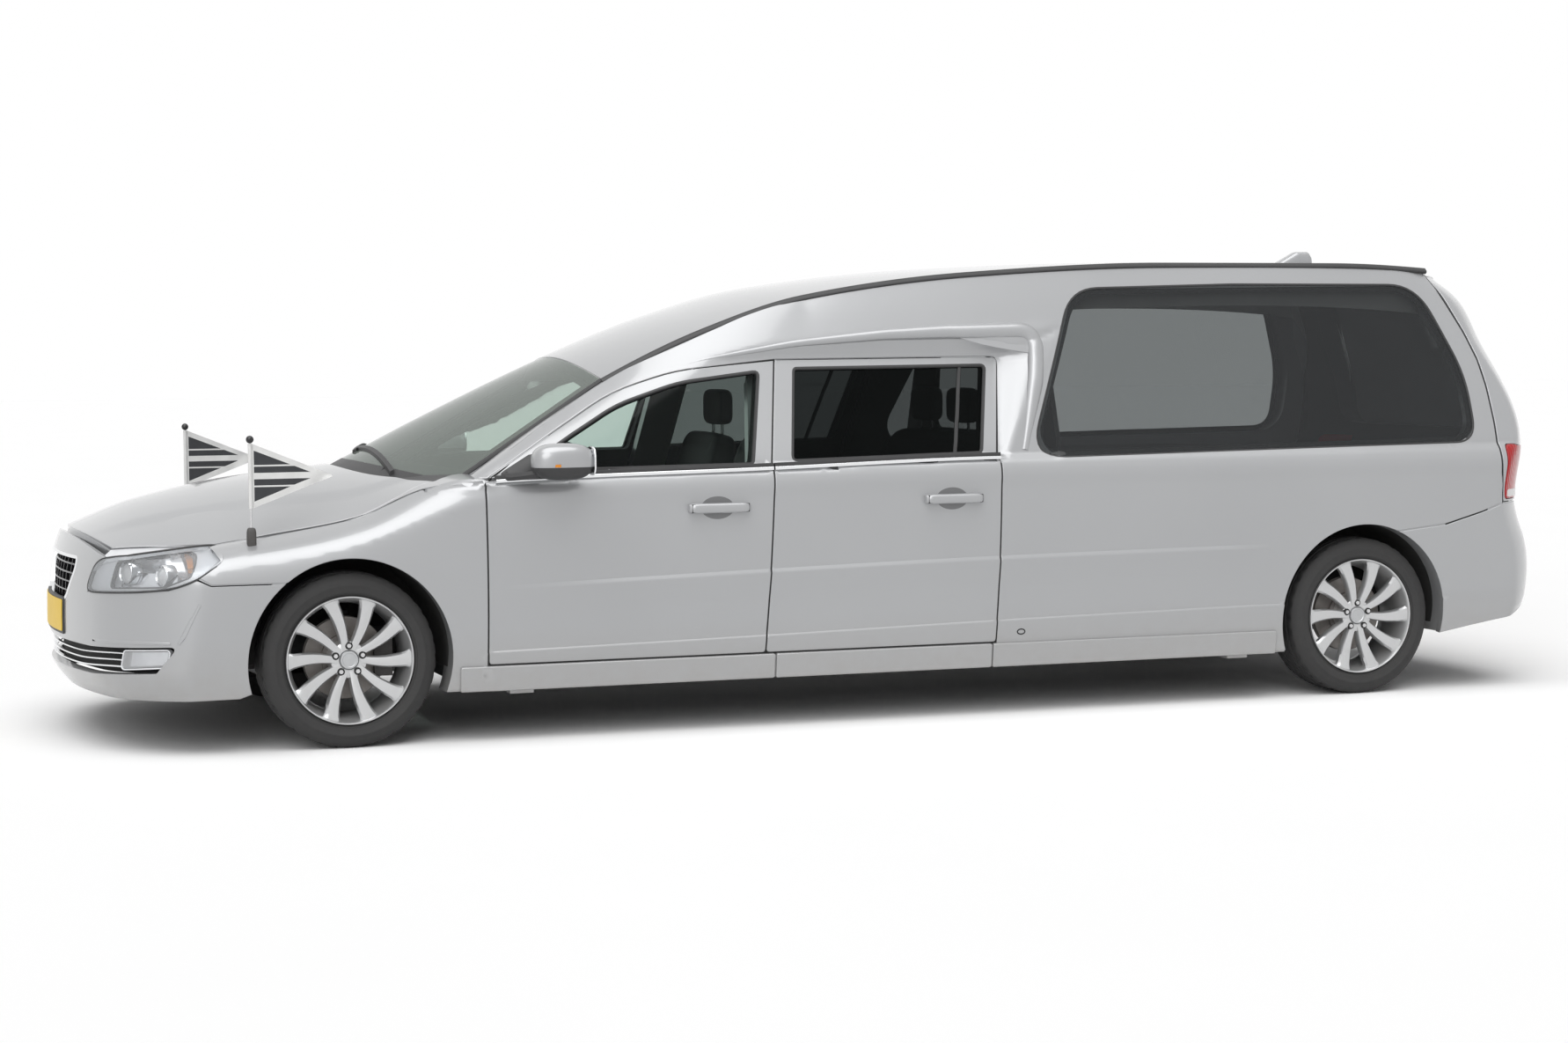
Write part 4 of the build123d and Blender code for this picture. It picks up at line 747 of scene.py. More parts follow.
    def plan_side(self, x: Array, z: Array) -> Array:
        """Half width of the plan outline."""
        width = HALF + self.side_out(z)
        side = width + 0 * x
        for end in (self.nose, self.tail):
            _, _, flank = end.shape(z, width)
            past = np.maximum(end.sign * (x - flank), 0)
            side = np.minimum(side, width - end.corner + np.sqrt(np.maximum(end.corner**2 - past**2, 0)))
        return side

    def raw_side(self, x: Array, z: Array) -> Array:
        """Half width before the plan outline rounds the ends."""
        belt = self.belt_z(x)
        step = ramp(CLAD(x) - z, -0.004, 0.004) * ramp(self.door_start - x, 0.0, 0.002)
        low = self.lower(x, np.minimum(z, belt)) + 0.005 * step
        share = np.clip((z - belt + 0.014) / 0.028, 0, 1)
        high = np.where(x < f(-0.30), self.upper(x, np.maximum(z, belt - 0.02)), low)
        return low + (high - low) * share * share * (3 - 2 * share)

    def side(self, x: Array, z: Array) -> Array:
        """Half width of the whole left side."""
        return smooth_min(self.raw_side(x, z), self.plan_side(x, z), self.SOFT)

    def bonnet(self, x: Array, y: Array) -> Array:
        """Height of the bonnet and of the shoulders beside it."""
        crown, belt_z = self.tub["crown"](x), self.belt_z(x)
        return crown - (crown - belt_z) * (y / self.belt_y(x)) ** 2

    def roof(self, x: Array, y: Array) -> Array:
        """Height of the windscreen and the roof."""
        crown, edge_z = ROOF - self.top["crown_drop"](x), self.edge_z(x)
        return crown - (crown - edge_z) * (y / self.edge_y(x)) ** 2

    def wrap(self, end: End, s: Array, z: Array) -> tuple[Array, Array]:
        """A place on the nose or tail by the distance round it.

        Args:
            end: Which end.
            s: Distance from the middle, to the left positive.
            z: Heights.

        Returns:
            The x and y there.
        """
        width = HALF + self.side_out(z)
        tip, bow, flank = end.shape(z, width)
        away = np.abs(s)
        length = end.corner * end.turn
        turned = np.clip((away - bow) / end.corner, 0, end.turn)
        angle = end.turn - turned
        straight = np.maximum(away - bow - length, 0)
        x_bow = tip - end.sign * end.sweep * (np.minimum(away, bow) / bow) ** 2
        x_round = flank + end.sign * end.corner * np.sin(angle) - end.sign * straight
        y_round = width - end.corner * (1 - np.cos(angle))
        x = np.where(away < bow, x_bow, x_round)
        y = np.where(away < bow, away, y_round)
        y = np.where(away < bow, y, smooth_min(self.raw_side(x, z), y, self.SOFT))
        return x, np.sign(s) * y


FORM = Form()


@dataclass
class Chart:
    """A surface patch: two coordinates in, points out, with the side that faces out."""

    mapping: Mapping
    flip: bool = False

    def points(self, uv: Array, lift: Any = 0.0) -> tuple[Array, Array]:
        """Points and outward normals.

        Args:
            uv: Coordinates, one row each.
            lift: Distance off the surface, a number or one for each row.

        Returns:
            The points and the normals.
        """
        u, v = uv[:, 0], uv[:, 1]
        step = 0.0015
        at = self.mapping(u, v)
        du = self.mapping(u + step, v) - self.mapping(u - step, v)
        dv = self.mapping(u, v + step) - self.mapping(u, v - step)
        normal = np.cross(dv, du) if self.flip else np.cross(du, dv)
        normal /= np.maximum(np.linalg.norm(normal, axis=1, keepdims=True), 1e-12)
        return at + normal * np.reshape(lift, (-1, 1)), normal


SIDE_FORM = Chart(lambda x, z: np.stack((x, FORM.side(x, z), z), 1), True)
ROOFTOP = Chart(lambda x, y: np.stack((x, y, FORM.roof(x, y)), 1))
NOSE = Chart(lambda s, z: np.stack((*FORM.wrap(FORM.nose, s, z), z), 1))
TAIL_FORM = Chart(lambda s, z: np.stack((*FORM.wrap(FORM.tail, s, z), z), 1), True)


def round_to(end: End, x: Optional[float], y: Optional[float], z: float) -> float:
    """Distance round the nose or tail to a place known by its x or y.

    Args:
        end: Which end.
        x: The place's x, or None.
        y: The place's y, or None.
        z: Its height.

    Returns:
        The distance from the middle.
    """
    s = np.linspace(0.0, 2.6, 1301)
    xs, ys = FORM.wrap(end, s, np.full_like(s, z))
    if x is None:
        keep = slice(0, int(np.argmax(ys)) + 1)
        return float(np.interp(y, np.maximum.accumulate(ys[keep]), s[keep]))
    back = np.maximum.accumulate(-end.sign * xs)
    return float(np.interp(-end.sign * x, back, s))


# Meshes


def rounded(points: Sequence[Pair], radii: Any = 0.0, steps: int = 5) -> list[Pair]:
    """A closed outline with its corners rounded.

    Args:
        points: Corners.
        radii: One radius for all, or one each.
        steps: Points on each corner.

    Returns:
        The rounded outline.
    """
    count = len(points)
    values = list(radii) if isinstance(radii, (list, tuple)) else [radii] * count
    made: list[Pair] = []
    for i, radius in enumerate(values):
        here, last, after = (np.asarray(points[j % count], float) for j in (i, i - 1, i + 1))
        back, on = last - here, after - here
        long_back, long_on = np.linalg.norm(back), np.linalg.norm(on)
        turn = math.acos(float(np.clip(back @ on / (long_back * long_on), -1, 1)))
        reach = min(radius / max(math.tan(turn / 2), 1e-6), 0.48 * long_back, 0.48 * long_on)
        if reach < 1e-4:
            made.append(tuple(here))
            continue
        start, stop = here + back / long_back * reach, here + on / long_on * reach
        for t in np.linspace(0, 1, steps):
            made.append(tuple((1 - t) ** 2 * start + 2 * t * (1 - t) * here + t * t * stop))
    return made


def softened(points: Sequence[Pair], rounds: int = 3) -> list[Pair]:
    """A closed outline with its corners cut again and again, until it is a smooth curve."""
    line = np.array(points, float)
    for _ in range(rounds):
        after = np.roll(line, -1, 0)
        line = np.stack((0.75 * line + 0.25 * after, 0.25 * line + 0.75 * after), 1).reshape(-1, 2)
    return [tuple(p) for p in line]


def densify(points: Sequence[Pair], step: float) -> Array:
    """A closed outline with no side longer than step."""
    made = []
    for a, b in zip(points, [*points[1:], points[0]]):
        a, b = np.asarray(a, float), np.asarray(b, float)
        parts = max(1, math.ceil(np.linalg.norm(b - a) / step))
        if np.linalg.norm(b - a) > 1e-6:
            made.extend(a + (b - a) * i / parts for i in range(parts))
    return np.array(made)


def area(points: Array) -> float:
    """Signed area of a closed outline."""
    x, y = points[:, 0], points[:, 1]
    return 0.5 * float(np.sum(x * np.roll(y, -1) - np.roll(x, -1) * y))


def inward(points: Array, amount: float) -> Array:
    """A closed outline moved to its left by amount."""
    ahead = np.roll(points, -1, 0) - points
    ahead /= np.maximum(np.linalg.norm(ahead, axis=1, keepdims=True), 1e-12)
    left = np.stack((-ahead[:, 1], ahead[:, 0]), 1)
    both = left + np.roll(left, 1, 0)
    scale = np.sum(both * both, 1, keepdims=True)
    return points + amount * 2 * both / np.maximum(scale, 1.2)


def inside(points: Array, outline: Array) -> Array:
    """Which points lie within a closed outline."""
    hit = np.zeros(len(points), bool)
    x, y = points[:, 0], points[:, 1]
    for (ax, ay), (bx, by) in zip(outline, np.roll(outline, -1, 0)):
        if ay != by:
            hit ^= ((ay > y) != (by > y)) & (x < (bx - ax) * (y - ay) / (by - ay) + ax)
    return hit


def nearest(points: Array, others: Array) -> Array:
    """Distance from each point to the nearest of some others."""
    return np.min(np.linalg.norm(points[:, None] - others[None], axis=2), 1)


def round_angles(count: int) -> Array:
    """Angles of equal steps round a circle."""
    return np.linspace(0, 2 * math.pi, count, endpoint=False)


def oval(x: float, y: float, wide: float, tall: float, count: int) -> list[Pair]:
    """Points round an oval from its middle and its half sizes."""
    return [(x + wide * math.cos(a), y + tall * math.sin(a)) for a in round_angles(count)]


def clear_of(line: Array, rims: Sequence[Array], margin: float) -> Array:
    """The points of a crease that lie well inside a panel."""
    keep = inside(line, rims[0])
    for index, rim in enumerate(rims):
        if index:
            keep &= ~inside(line, rim)
        keep &= nearest(line, rim) > margin
    return line[keep]


@dataclass
class Shape:
    """A mesh in the making: points, faces and, where known, normals."""

    points: Array
    faces: list
    normals: Optional[Array] = None

    def mirrored(self) -> "Shape":
        """The same shape on the other side of the car."""
        flip = np.array([1.0, -1.0, 1.0])
        normals = None if self.normals is None else self.normals * flip
        return Shape(self.points * flip, [tuple(reversed(face)) for face in self.faces], normals)

    def joined(self, *others: "Shape") -> "Shape":
        """This shape and others as one mesh."""
        points, faces, normals = [self.points], list(self.faces), [self.normals]
        start = len(self.points)
        for other in others:
            points.append(other.points)
            normals.append(other.normals)
            faces.extend(tuple(i + start for i in face) for face in other.faces)
            start += len(other.points)
        whole = None if any(n is None for n in normals) else np.concatenate(normals)
        return Shape(np.concatenate(points), faces, whole)

    def moved(self, matrix: Matrix) -> "Shape":
        """The shape placed by a matrix."""
        m = np.array(matrix)
        normals = None if self.normals is None else self.normals @ m[:3, :3].T
        return Shape(self.points @ m[:3, :3].T + m[:3, 3], list(self.faces), normals)

    def both(self) -> "Shape":
        """This shape and its mirror image as one mesh."""
        return self.joined(self.mirrored())


def merged(parts: Sequence[Shape]) -> Shape:
    """Several shapes as one mesh."""
    return parts[0].joined(*parts[1:])


def stacked(rings: Sequence[Any]) -> Shape:
    """A skin over rings of the same count, closed by flat ends."""
    points = np.array(rings, float)
    rows, sides, _ = points.shape
    faces = []
    for k in range(rows - 1):
        low, high = k * sides, (k + 1) * sides
        for i in range(sides):
            j = (i + 1) % sides
            faces.append((low + i, low + j, high + j, high + i))
    faces += [tuple(reversed(range(sides))), tuple((rows - 1) * sides + i for i in range(sides))]
    return Shape(points.reshape(-1, 3), faces)


def place(name: str, shape: Shape, finish: Finish, body: str, nodes: Sequence[str] = (),
          smooth: float = 40.0) -> Any:
    """Put a shape in the scene as a piece of the car.

    Args:
        name: The piece's name.
        shape: Its mesh.
        finish: Its finish.
        body: The body it rides on.
        nodes: Solids that it stands for.
        smooth: Angle in degrees above which an edge stays sharp, where the shape has no normals.

    Returns:
        The object.
    """
    mesh = bpy.data.meshes.new(name)
    mesh.from_pydata([tuple(p) for p in shape.points], [], shape.faces)
    mesh.validate()
    if shape.normals is None:
        work = bmesh.new()
        work.from_mesh(mesh)
        bmesh.ops.recalc_face_normals(work, faces=work.faces)
        work.to_mesh(mesh)
        work.free()
        mesh.shade_smooth()
        mesh.set_sharp_from_angle(angle=math.radians(smooth))
    else:
        mesh.shade_smooth()
        if len(mesh.vertices) == len(shape.normals):
            mesh.normals_split_custom_set_from_vertices([tuple(n) for n in shape.normals])
    mesh.materials.append(finish.material())
    thing = bpy.data.objects.new(name, mesh)
    bpy.context.scene.collection.objects.link(thing)
    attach(thing, body)
    if nodes:
        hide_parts(*nodes)
    LOG.info("%s on %s: %d faces", name, body, len(mesh.polygons))
    return thing


def skin(chart: Chart, outline: Sequence[Pair], holes: Sequence[Sequence[Pair]] = (), step: float = 0.028,
         lift: float = 0.004, edge: float = 0.003, flange: float = 0.014,
         lines: Sequence[Sequence[Pair]] = ()) -> Shape:
    """A panel cut from a chart, its edges rolled over and turned inward.

    Args:
        chart: The surface.
        outline: Closed outline in the chart's coordinates.
        holes: Closed outlines of openings.
        step: Size of the mesh.
        lift: Height of the panel over the surface.
        edge: Radius of the rolled edge.
        flange: Depth of the turned edge.
        lines: Creases that the mesh follows.

    Returns:
        The panel.
    """
    loops = []
    for index, loop in enumerate((outline, *holes)):
        dense = densify(list(loop), step * 0.6)
        if (area(dense) > 0) == (index > 0):
            dense = dense[::-1]
        loops.append(dense)
    rims = [inward(loop, edge) for loop in loops]
    low, high = rims[0].min(0), rims[0].max(0)
    us, vs = np.arange(low[0], high[0], step), np.arange(low[1], high[1], step * 0.866)
    grid = np.array([(u + (j % 2) * step / 2, v) for j, v in enumerate(vs) for u in us])
    keep = inside(grid, rims[0])
    for rim in rims[1:]:
        keep &= ~inside(grid, rim)
    grid = grid[keep]
    border = np.concatenate(rims)
    near = [nearest(part, border) for part in np.array_split(grid, 12) if len(part)]
    grid = grid[np.concatenate(near) > step * 0.45] if near else grid.reshape(0, 2)
    creases = [clear_of(np.array(line), rims, 0.004) for line in lines]
    for crease in creases:
        grid = grid[nearest(grid, crease) > step * 0.4]
    flat = np.concatenate((border, grid, *creases))
    links, start = [], 0
    for rim in rims:
        links += [(start + i, start + (i + 1) % len(rim)) for i in range(len(rim))]
        start += len(rim)
    start += len(grid)
    for crease in creases:
        links += [(start + i, start + i + 1) for i in range(len(crease) - 1)]
        start += len(crease)
    done = delaunay_2d_cdt([Vector(p) for p in flat], links, [], 0, 1e-7, True)
    origin = {}
    for new, olds in enumerate(done[3]):
        for old in olds:
            origin[old] = new
    uv = np.array([tuple(p) for p in done[0]])
    faces = np.array([face for face in done[2] if len(face) == 3])
    centre = uv[faces].mean(1)
    keep = inside(centre, rims[0])
    for rim in rims[1:]:
        keep &= ~inside(centre, rim)
    top, normal = chart.points(uv, lift)
    points, normals = [top], [normal]
    made = [tuple(face[::-1] if chart.flip else face) for face in faces[keep]]
    count, start = len(uv), 0
    for loop, rim in zip(loops, rims):
        ring = [origin[start + i] for i in range(len(rim))]
        start += len(rim)
        out = chart.points(loop)[0] - chart.points(rim)[0]
        _, up = chart.points(loop)
        out -= up * np.sum(out * up, 1, keepdims=True)
        out /= np.maximum(np.linalg.norm(out, axis=1, keepdims=True), 1e-12)
        bands = [
            (inward(loop, edge * 0.3), lift - edge * 0.3, (up + out) / math.sqrt(2)),
            (loop, lift - edge, out),
            (loop, lift - flange, out),
        ]
        for coords, height, direction in bands:
            points.append(chart.points(coords, height)[0])
            normals.append(direction)
            fresh = list(range(count, count + len(loop)))
            count += len(loop)
            for i in range(len(loop)):
                j = (i + 1) % len(loop)
                quad = (ring[i], fresh[i], fresh[j], ring[j])
                made.append(quad if not chart.flip else quad[::-1])
            ring = fresh
    return Shape(np.concatenate(points), made, np.concatenate(normals))


def sweep(path: Array, up: Array, profile: Sequence[Pair], closed: bool = False) -> Shape:
    """A bar of constant section along a path.

    Args:
        path: Points of the path.
        up: Outward directions at the points.
        profile: Closed section as (across, out) pairs.
        closed: Whether the path joins its own start.

    Returns:
        The bar.
    """
    ahead = np.roll(path, -1, 0) - np.roll(path, 1, 0) if closed else np.gradient(path, axis=0)
    ahead /= np.maximum(np.linalg.norm(ahead, axis=1, keepdims=True), 1e-12)
    across = np.cross(ahead, up)
    across /= np.maximum(np.linalg.norm(across, axis=1, keepdims=True), 1e-12)
    rise = np.cross(across, ahead)
    rings = [path + across * a + rise * b for a, b in profile]
    sides, count = len(profile), len(path)
    points = np.stack(rings, 1).reshape(-1, 3)
    faces = []
    for i in range(count if closed else count - 1):
        j = (i + 1) % count
        for k in range(sides):
            m = (k + 1) % sides
            faces.append((i * sides + k, i * sides + m, j * sides + m, j * sides + k))
    if not closed:
        faces.append(tuple(reversed(range(sides))))
        faces.append(tuple((count - 1) * sides + k for k in range(sides)))
    return Shape(points, faces)


def lathe(profile: Sequence[Pair], turns: int = 72, closed: bool = True) -> Shape:
    """A turned shape about the Y axis from (radius, y) pairs.

    Args:
        profile: Section, drawn so that its left side is the outside.
        turns: Steps round the axis.
        closed: Whether the section joins its own start.

    Returns:
        The turned shape.
    """
    angles = round_angles(turns)
    across, up = np.cos(angles), np.sin(angles)
    rings = [np.stack((across * rad, np.full(turns, y), up * rad), 1) for rad, y in profile]
    count = len(profile)
    faces = []
    for k in range(count if closed else count - 1):
        m = (k + 1) % count
        for i in range(turns):
            j = (i + 1) % turns
            faces.append((k * turns + i, k * turns + j, m * turns + j, m * turns + i))
    return Shape(np.concatenate(rings), faces)


def strip(chart: Chart, line: Sequence[Pair], half: float, low: float, high: float,
          closed: bool = False) -> Shape:
    """A moulding along a line on a chart.

    Args:
        chart: The surface.
        line: Points of the line in the chart's coordinates.
        half: Half width of the moulding.
        low: Height of its foot over the surface.
        high: Height of its crest.
        closed: Whether the line joins its own start.

    Returns:
        The moulding.
    """
    at, up = chart.points(np.array(line, float))
    soft = min(half * 0.45, (high - low) * 0.5)
    return sweep(at, up, bead(half, low, high, half - soft, high - soft), closed)


def bead(half: float, low: float, high: float, crest: float, edge: float) -> list[Pair]:
    """Section of a moulding: upright sides to the edge's height, then slopes to a flat crest."""
    return [(-half, low), (half, low), (half, edge), (crest, high), (-crest, high), (-half, edge)]


def pebble(centre: Sequence[float], half: Sequence[float], square: float = 0.45, turns: int = 40,
           rows: int = 24) -> Shape:
    """A rounded box.

    Args:
        centre: Its middle.
        half: Its half sizes.
        square: One gives an ellipsoid, nearer nought a box.
        turns: Steps round it.
        rows: Steps up it.

    Returns:
        The closed shape.
    """
    bend = lambda value: np.sign(value) * np.abs(value) ** square
    up = np.linspace(-math.pi / 2, math.pi / 2, rows + 1)[1:-1]
    round_ = round_angles(turns)
    points = [(0, 0, -1), (0, 0, 1)]
    for a in up:
        ring = np.stack((bend(np.cos(a)) * bend(np.cos(round_)), bend(np.cos(a)) * bend(np.sin(round_)),
                         np.full(turns, bend(np.sin(a)))), 1)
        points.extend(map(tuple, ring))
    faces = []
    for k in range(len(up) - 1):
        for i in range(turns):
            j = (i + 1) % turns
            a, b = 2 + k * turns, 2 + (k + 1) * turns
            faces.append((a + i, a + j, b + j, b + i))
    last = 2 + (len(up) - 1) * turns
    for i in range(turns):
        j = (i + 1) % turns
        faces += [(0, 2 + j, 2 + i), (1, last + i, last + j)]
    return Shape(np.array(points, float) * np.array(half) + np.array(centre), faces)


def aim(direction: Sequence[float], at: Sequence[float]) -> Matrix:
    """A placing that turns the Y axis to a direction."""
    turn = Vector((0, 1, 0)).rotation_difference(Vector(direction))
    return Matrix.Translation(Vector(at)) @ turn.to_matrix().to_4x4()


class Hand(Enum):
    """The two sides of the car."""

    LEFT = "left"
    RIGHT = "right"


def pair(name: str, shape: Shape, finish: Finish, body: str, node: str = "") -> list:
    """Place a left shape and its mirror image.

    Args:
        name: Name of the pieces before their side.
        shape: The left shape.
        finish: Their finish.
        body: Body, with {side} where it differs.
        node: Solid that each stands for, with {side}, or nothing.

    Returns:
        The two objects.
    """
    made = []
    for hand in Hand:
        turned = shape if hand is Hand.LEFT else shape.mirrored()
        nodes = [node.format(side=hand.value)] if node else []
        made.append(place(f"{name}_{hand.value}", turned, finish, body.format(side=hand.value), nodes))
    return made


def arch(x: float, radius: float, first: Pair, last: Pair, count: int = 40) -> list[Pair]:
    """Points over a wheel arch between two heights.

    Args:
        x: The axle's x.
        radius: Radius of the arch.
        first: Side (1 ahead, -1 behind) and height where it starts.
        last: Side and height where it ends.
        count: Number of points.

    Returns:
        The points in side view.
    """
    angles = []
    for side, z in (first, last):
        rise = math.asin((z - AXLE_Z) / radius)
        angles.append(rise if side > 0 else math.pi - rise)
    return [(x + radius * math.cos(a), AXLE_Z + radius * math.sin(a)) for a in np.linspace(*angles, count)]


def pillar_x(z: float) -> float:
    """X of the seam between the doors."""
    return f(-1.581) - 0.046 * (z - 0.283) / 0.702 - max(z - 0.985, 0) * 0.122


def tail_x(z: float) -> float:
    """X of the seam ahead of the tailgate."""
    return float(np.interp(z, [0.77, 1.10, 1.25, 1.36, 1.47, 1.60, 1.80],
                           [r(-0.661), r(-0.662), r(-0.652), r(-0.632), r(-0.592), r(-0.529), r(-0.426)]))


CREASE = Curve([f(-0.554), f(-1.578), f(-2.531), f(-3.739)], [0.561, 0.588, 0.607, 0.617])
CLAD = Curve([f(-0.512), f(-1.583), f(-2.532), f(-3.656)], [0.331, 0.349, 0.368, 0.384])
COWL = Chart(lambda x, y: np.stack((x, y, np.maximum(FORM.bonnet(x, y), FORM.roof(x, y))), 1))


def hood_height(x: Array, y: Array) -> Array:
    """Height of the bonnet with its raised middle."""
    ridge = np.interp(x, [f(-0.3), f(0.9)], [0.60, 0.34])
    lift = 1 - ramp(np.abs(y) - ridge, -0.03, 0.055)
    return FORM.bonnet(x, y) + 0.009 * lift * ramp(f(0.90) - x, 0.0, 0.25)


HOOD = Chart(lambda x, y: np.stack((x, y, hood_height(x, y)), 1))


def blur(field_: Array, sigma: float) -> Array:
    """A grid smoothed by a bell of sigma cells."""
    reach = int(3 * sigma) + 1
    bell = np.exp(-0.5 * (np.arange(-reach, reach + 1) / sigma) ** 2)
    bell /= bell.sum()
    for axis in (0, 1):
        field_ = np.apply_along_axis(np.convolve, axis, field_, bell)
        field_ = np.take(field_, range(reach, field_.shape[axis] - reach), axis)
    return field_


def solids(names: Sequence[str]) -> BVHTree:
    """The surface of some solids, ready for rays."""
    points: list = []
    faces: list = []
    for name in names:
        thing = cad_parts[name]
        start = len(points)
        points.extend(thing.matrix_world @ corner.co for corner in thing.data.vertices)
        faces.extend(tuple(start + i for i in face.vertices) for face in thing.data.polygons)
    return BVHTree.FromPolygons(points, faces)


@dataclass
class Relief:
    """How far the solids stand off a chart, smoothed on a grid."""

    low: Pair
    step: float
    heights: Array

    @classmethod
    def measure(cls, chart: Chart, names: Sequence[str], low: Pair, high: Pair, shun: Sequence[tuple] = (),
                along: Optional[Sequence[float]] = None, step: float = 0.008) -> "Relief":
        """Probe the solids from outside.

        Args:
            chart: The surface that the solids follow.
            names: The solids.
            low: Lowest coordinates of the grid.
            high: Highest coordinates of the grid.
            shun: Boxes (u, v, half u, half v) to leave out.
            along: Direction of the probes, or None for the chart's normals.
            step: Cell of the grid.

        Returns:
            The relief.
        """
        us, vs = (np.arange(a, b, step) for a, b in zip(low, high))
        uv = np.stack(np.meshgrid(us, vs, indexing="ij"), -1).reshape(-1, 2)
        at, out = chart.points(uv)
        out = out if along is None else np.tile(np.array(along, float), (len(uv), 1))
        tree, reach = solids(names), 0.10
        found = np.full(len(uv), np.nan)
        for k, (point, normal) in enumerate(zip(at, out)):
            hit, face, _, far = tree.ray_cast(Vector(point + normal * reach), Vector(-normal), 2 * reach)
            if hit is not None and face.dot(Vector(normal)) > 0.35 and reach - far > -0.03:
                found[k] = reach - far
        for u, v, wide, tall in shun:
            found[(np.abs(uv[:, 0] - u) < wide) & (np.abs(uv[:, 1] - v) < tall)] = np.nan
        heights = found.reshape(len(us), len(vs))
        known = (~np.isnan(heights)).astype(float)
        heights = np.where(known > 0, heights, 0.0)
        made, left = np.zeros_like(heights), np.ones_like(heights, bool)
        for sigma in (2.0, 6.0, 20.0, 60.0):
            weight = blur(known, sigma)
            fill = left & (weight > 0.02)
            made[fill] = (blur(heights, sigma) / np.maximum(weight, 1e-9))[fill]
            left &= ~fill
        return cls(low, step, made)

    def __call__(self, u: Array, v: Array) -> Array:
        """Heights at places, by a cubic spline."""
        cells, weights = [], []
        for value, low, count in zip((u, v), self.low, self.heights.shape):
            at = (np.asarray(value, float) - low) / self.step
            cell = np.clip(np.floor(at).astype(int), 1, count - 3)
            t = np.clip(at - cell, 0, 1)
            cells.append(cell)
            weights.append(((1 - t) ** 3 / 6, (3 * t**3 - 6 * t**2 + 4) / 6,
                            (-3 * t**3 + 3 * t**2 + 3 * t + 1) / 6, t**3 / 6))
        total = np.zeros(np.shape(u))
        for i, wide in enumerate(weights[0]):
            for j, tall in enumerate(weights[1]):
                total = total + wide * tall * self.heights[cells[0] + i - 1, cells[1] + j - 1]
        return total


def fitted_side(relief: Relief) -> Chart:
    """The left side's chart, moved out or in to the solids."""
    def mapping(x: Array, z: Array) -> Array:
        """Points of the fitted side."""
        over = z - CREASE(x)
        fold = np.maximum(1 - np.where(over > 0, over / 0.015, -over / 0.10), 0)
        fold *= ramp(f(-0.45) - x, 0.0, 0.60) * ramp(x - r(0.36), 0.0, 0.30)
        out = relief(x, z) + 0.0070 * fold
        return SIDE_FORM.mapping(x, z) + out[:, None] * np.array(OUTWARD)
    return Chart(mapping, SIDE_FORM.flip)


def fitted_tail(relief: Relief) -> Chart:
    """The tail's chart, moved out or in to the solids."""
    def mapping(s: Array, z: Array) -> Array:
        """Points of the fitted tail."""
        at, out = TAIL_FORM.points(np.stack((s, z), 1))
        return at + out * relief(np.abs(s), z)[:, None]
    return Chart(mapping, TAIL_FORM.flip)


def fitted_top(relief: Relief) -> Chart:
    """The roof's chart over the tailgate's upper edge, moved up or down to the solids."""
    def mapping(x: Array, y: Array) -> Array:
        """Points of the fitted edge."""
        return ROOFTOP.mapping(x, y) + relief(x, y)[:, None] * np.array(UPWARD)
    return Chart(mapping, ROOFTOP.flip)


OUTWARD = (0.0, 1.0, 0.0)
UPWARD = (0.0, 0.0, 1.0)
FRONT_HANDLE = (f(-1.396), 0.840)
REAR_HANDLE = (r(1.823), 0.851)
HANDLE_SPOTS = [(x, z, 0.135, 0.034) for x, z in (FRONT_HANDLE, REAR_HANDLE)]
SKIRT_SPOT = (-0.70, 0.20, 2.30, 0.22)
HINGE_SPOTS = [(x, z, 0.045, 0.050) for z in (0.42, 0.80) for x in (f(-0.505), pillar_x(z))]
SIDE = fitted_side(Relief.measure(
    SIDE_FORM, ("body_side_left", "door_front_left", "door_rear_left", "front_fenders"),
    (-3.06, 0.16), (2.64, 1.80), (*HANDLE_SPOTS, SKIRT_SPOT, *HINGE_SPOTS), OUTWARD))
EAVES = fitted_top(Relief.measure(
    ROOFTOP, ("tailgate", "roof_panel"), (-2.84, -0.70), (-2.40, 0.70), (), UPWARD))
TAIL = fitted_tail(Relief.measure(
    TAIL_FORM, ("tailgate", "rear_bumper", "tail_lamps", "tailgate_glass", "body_side_left"),
    (-0.10, 0.18), (2.10, 1.79)))


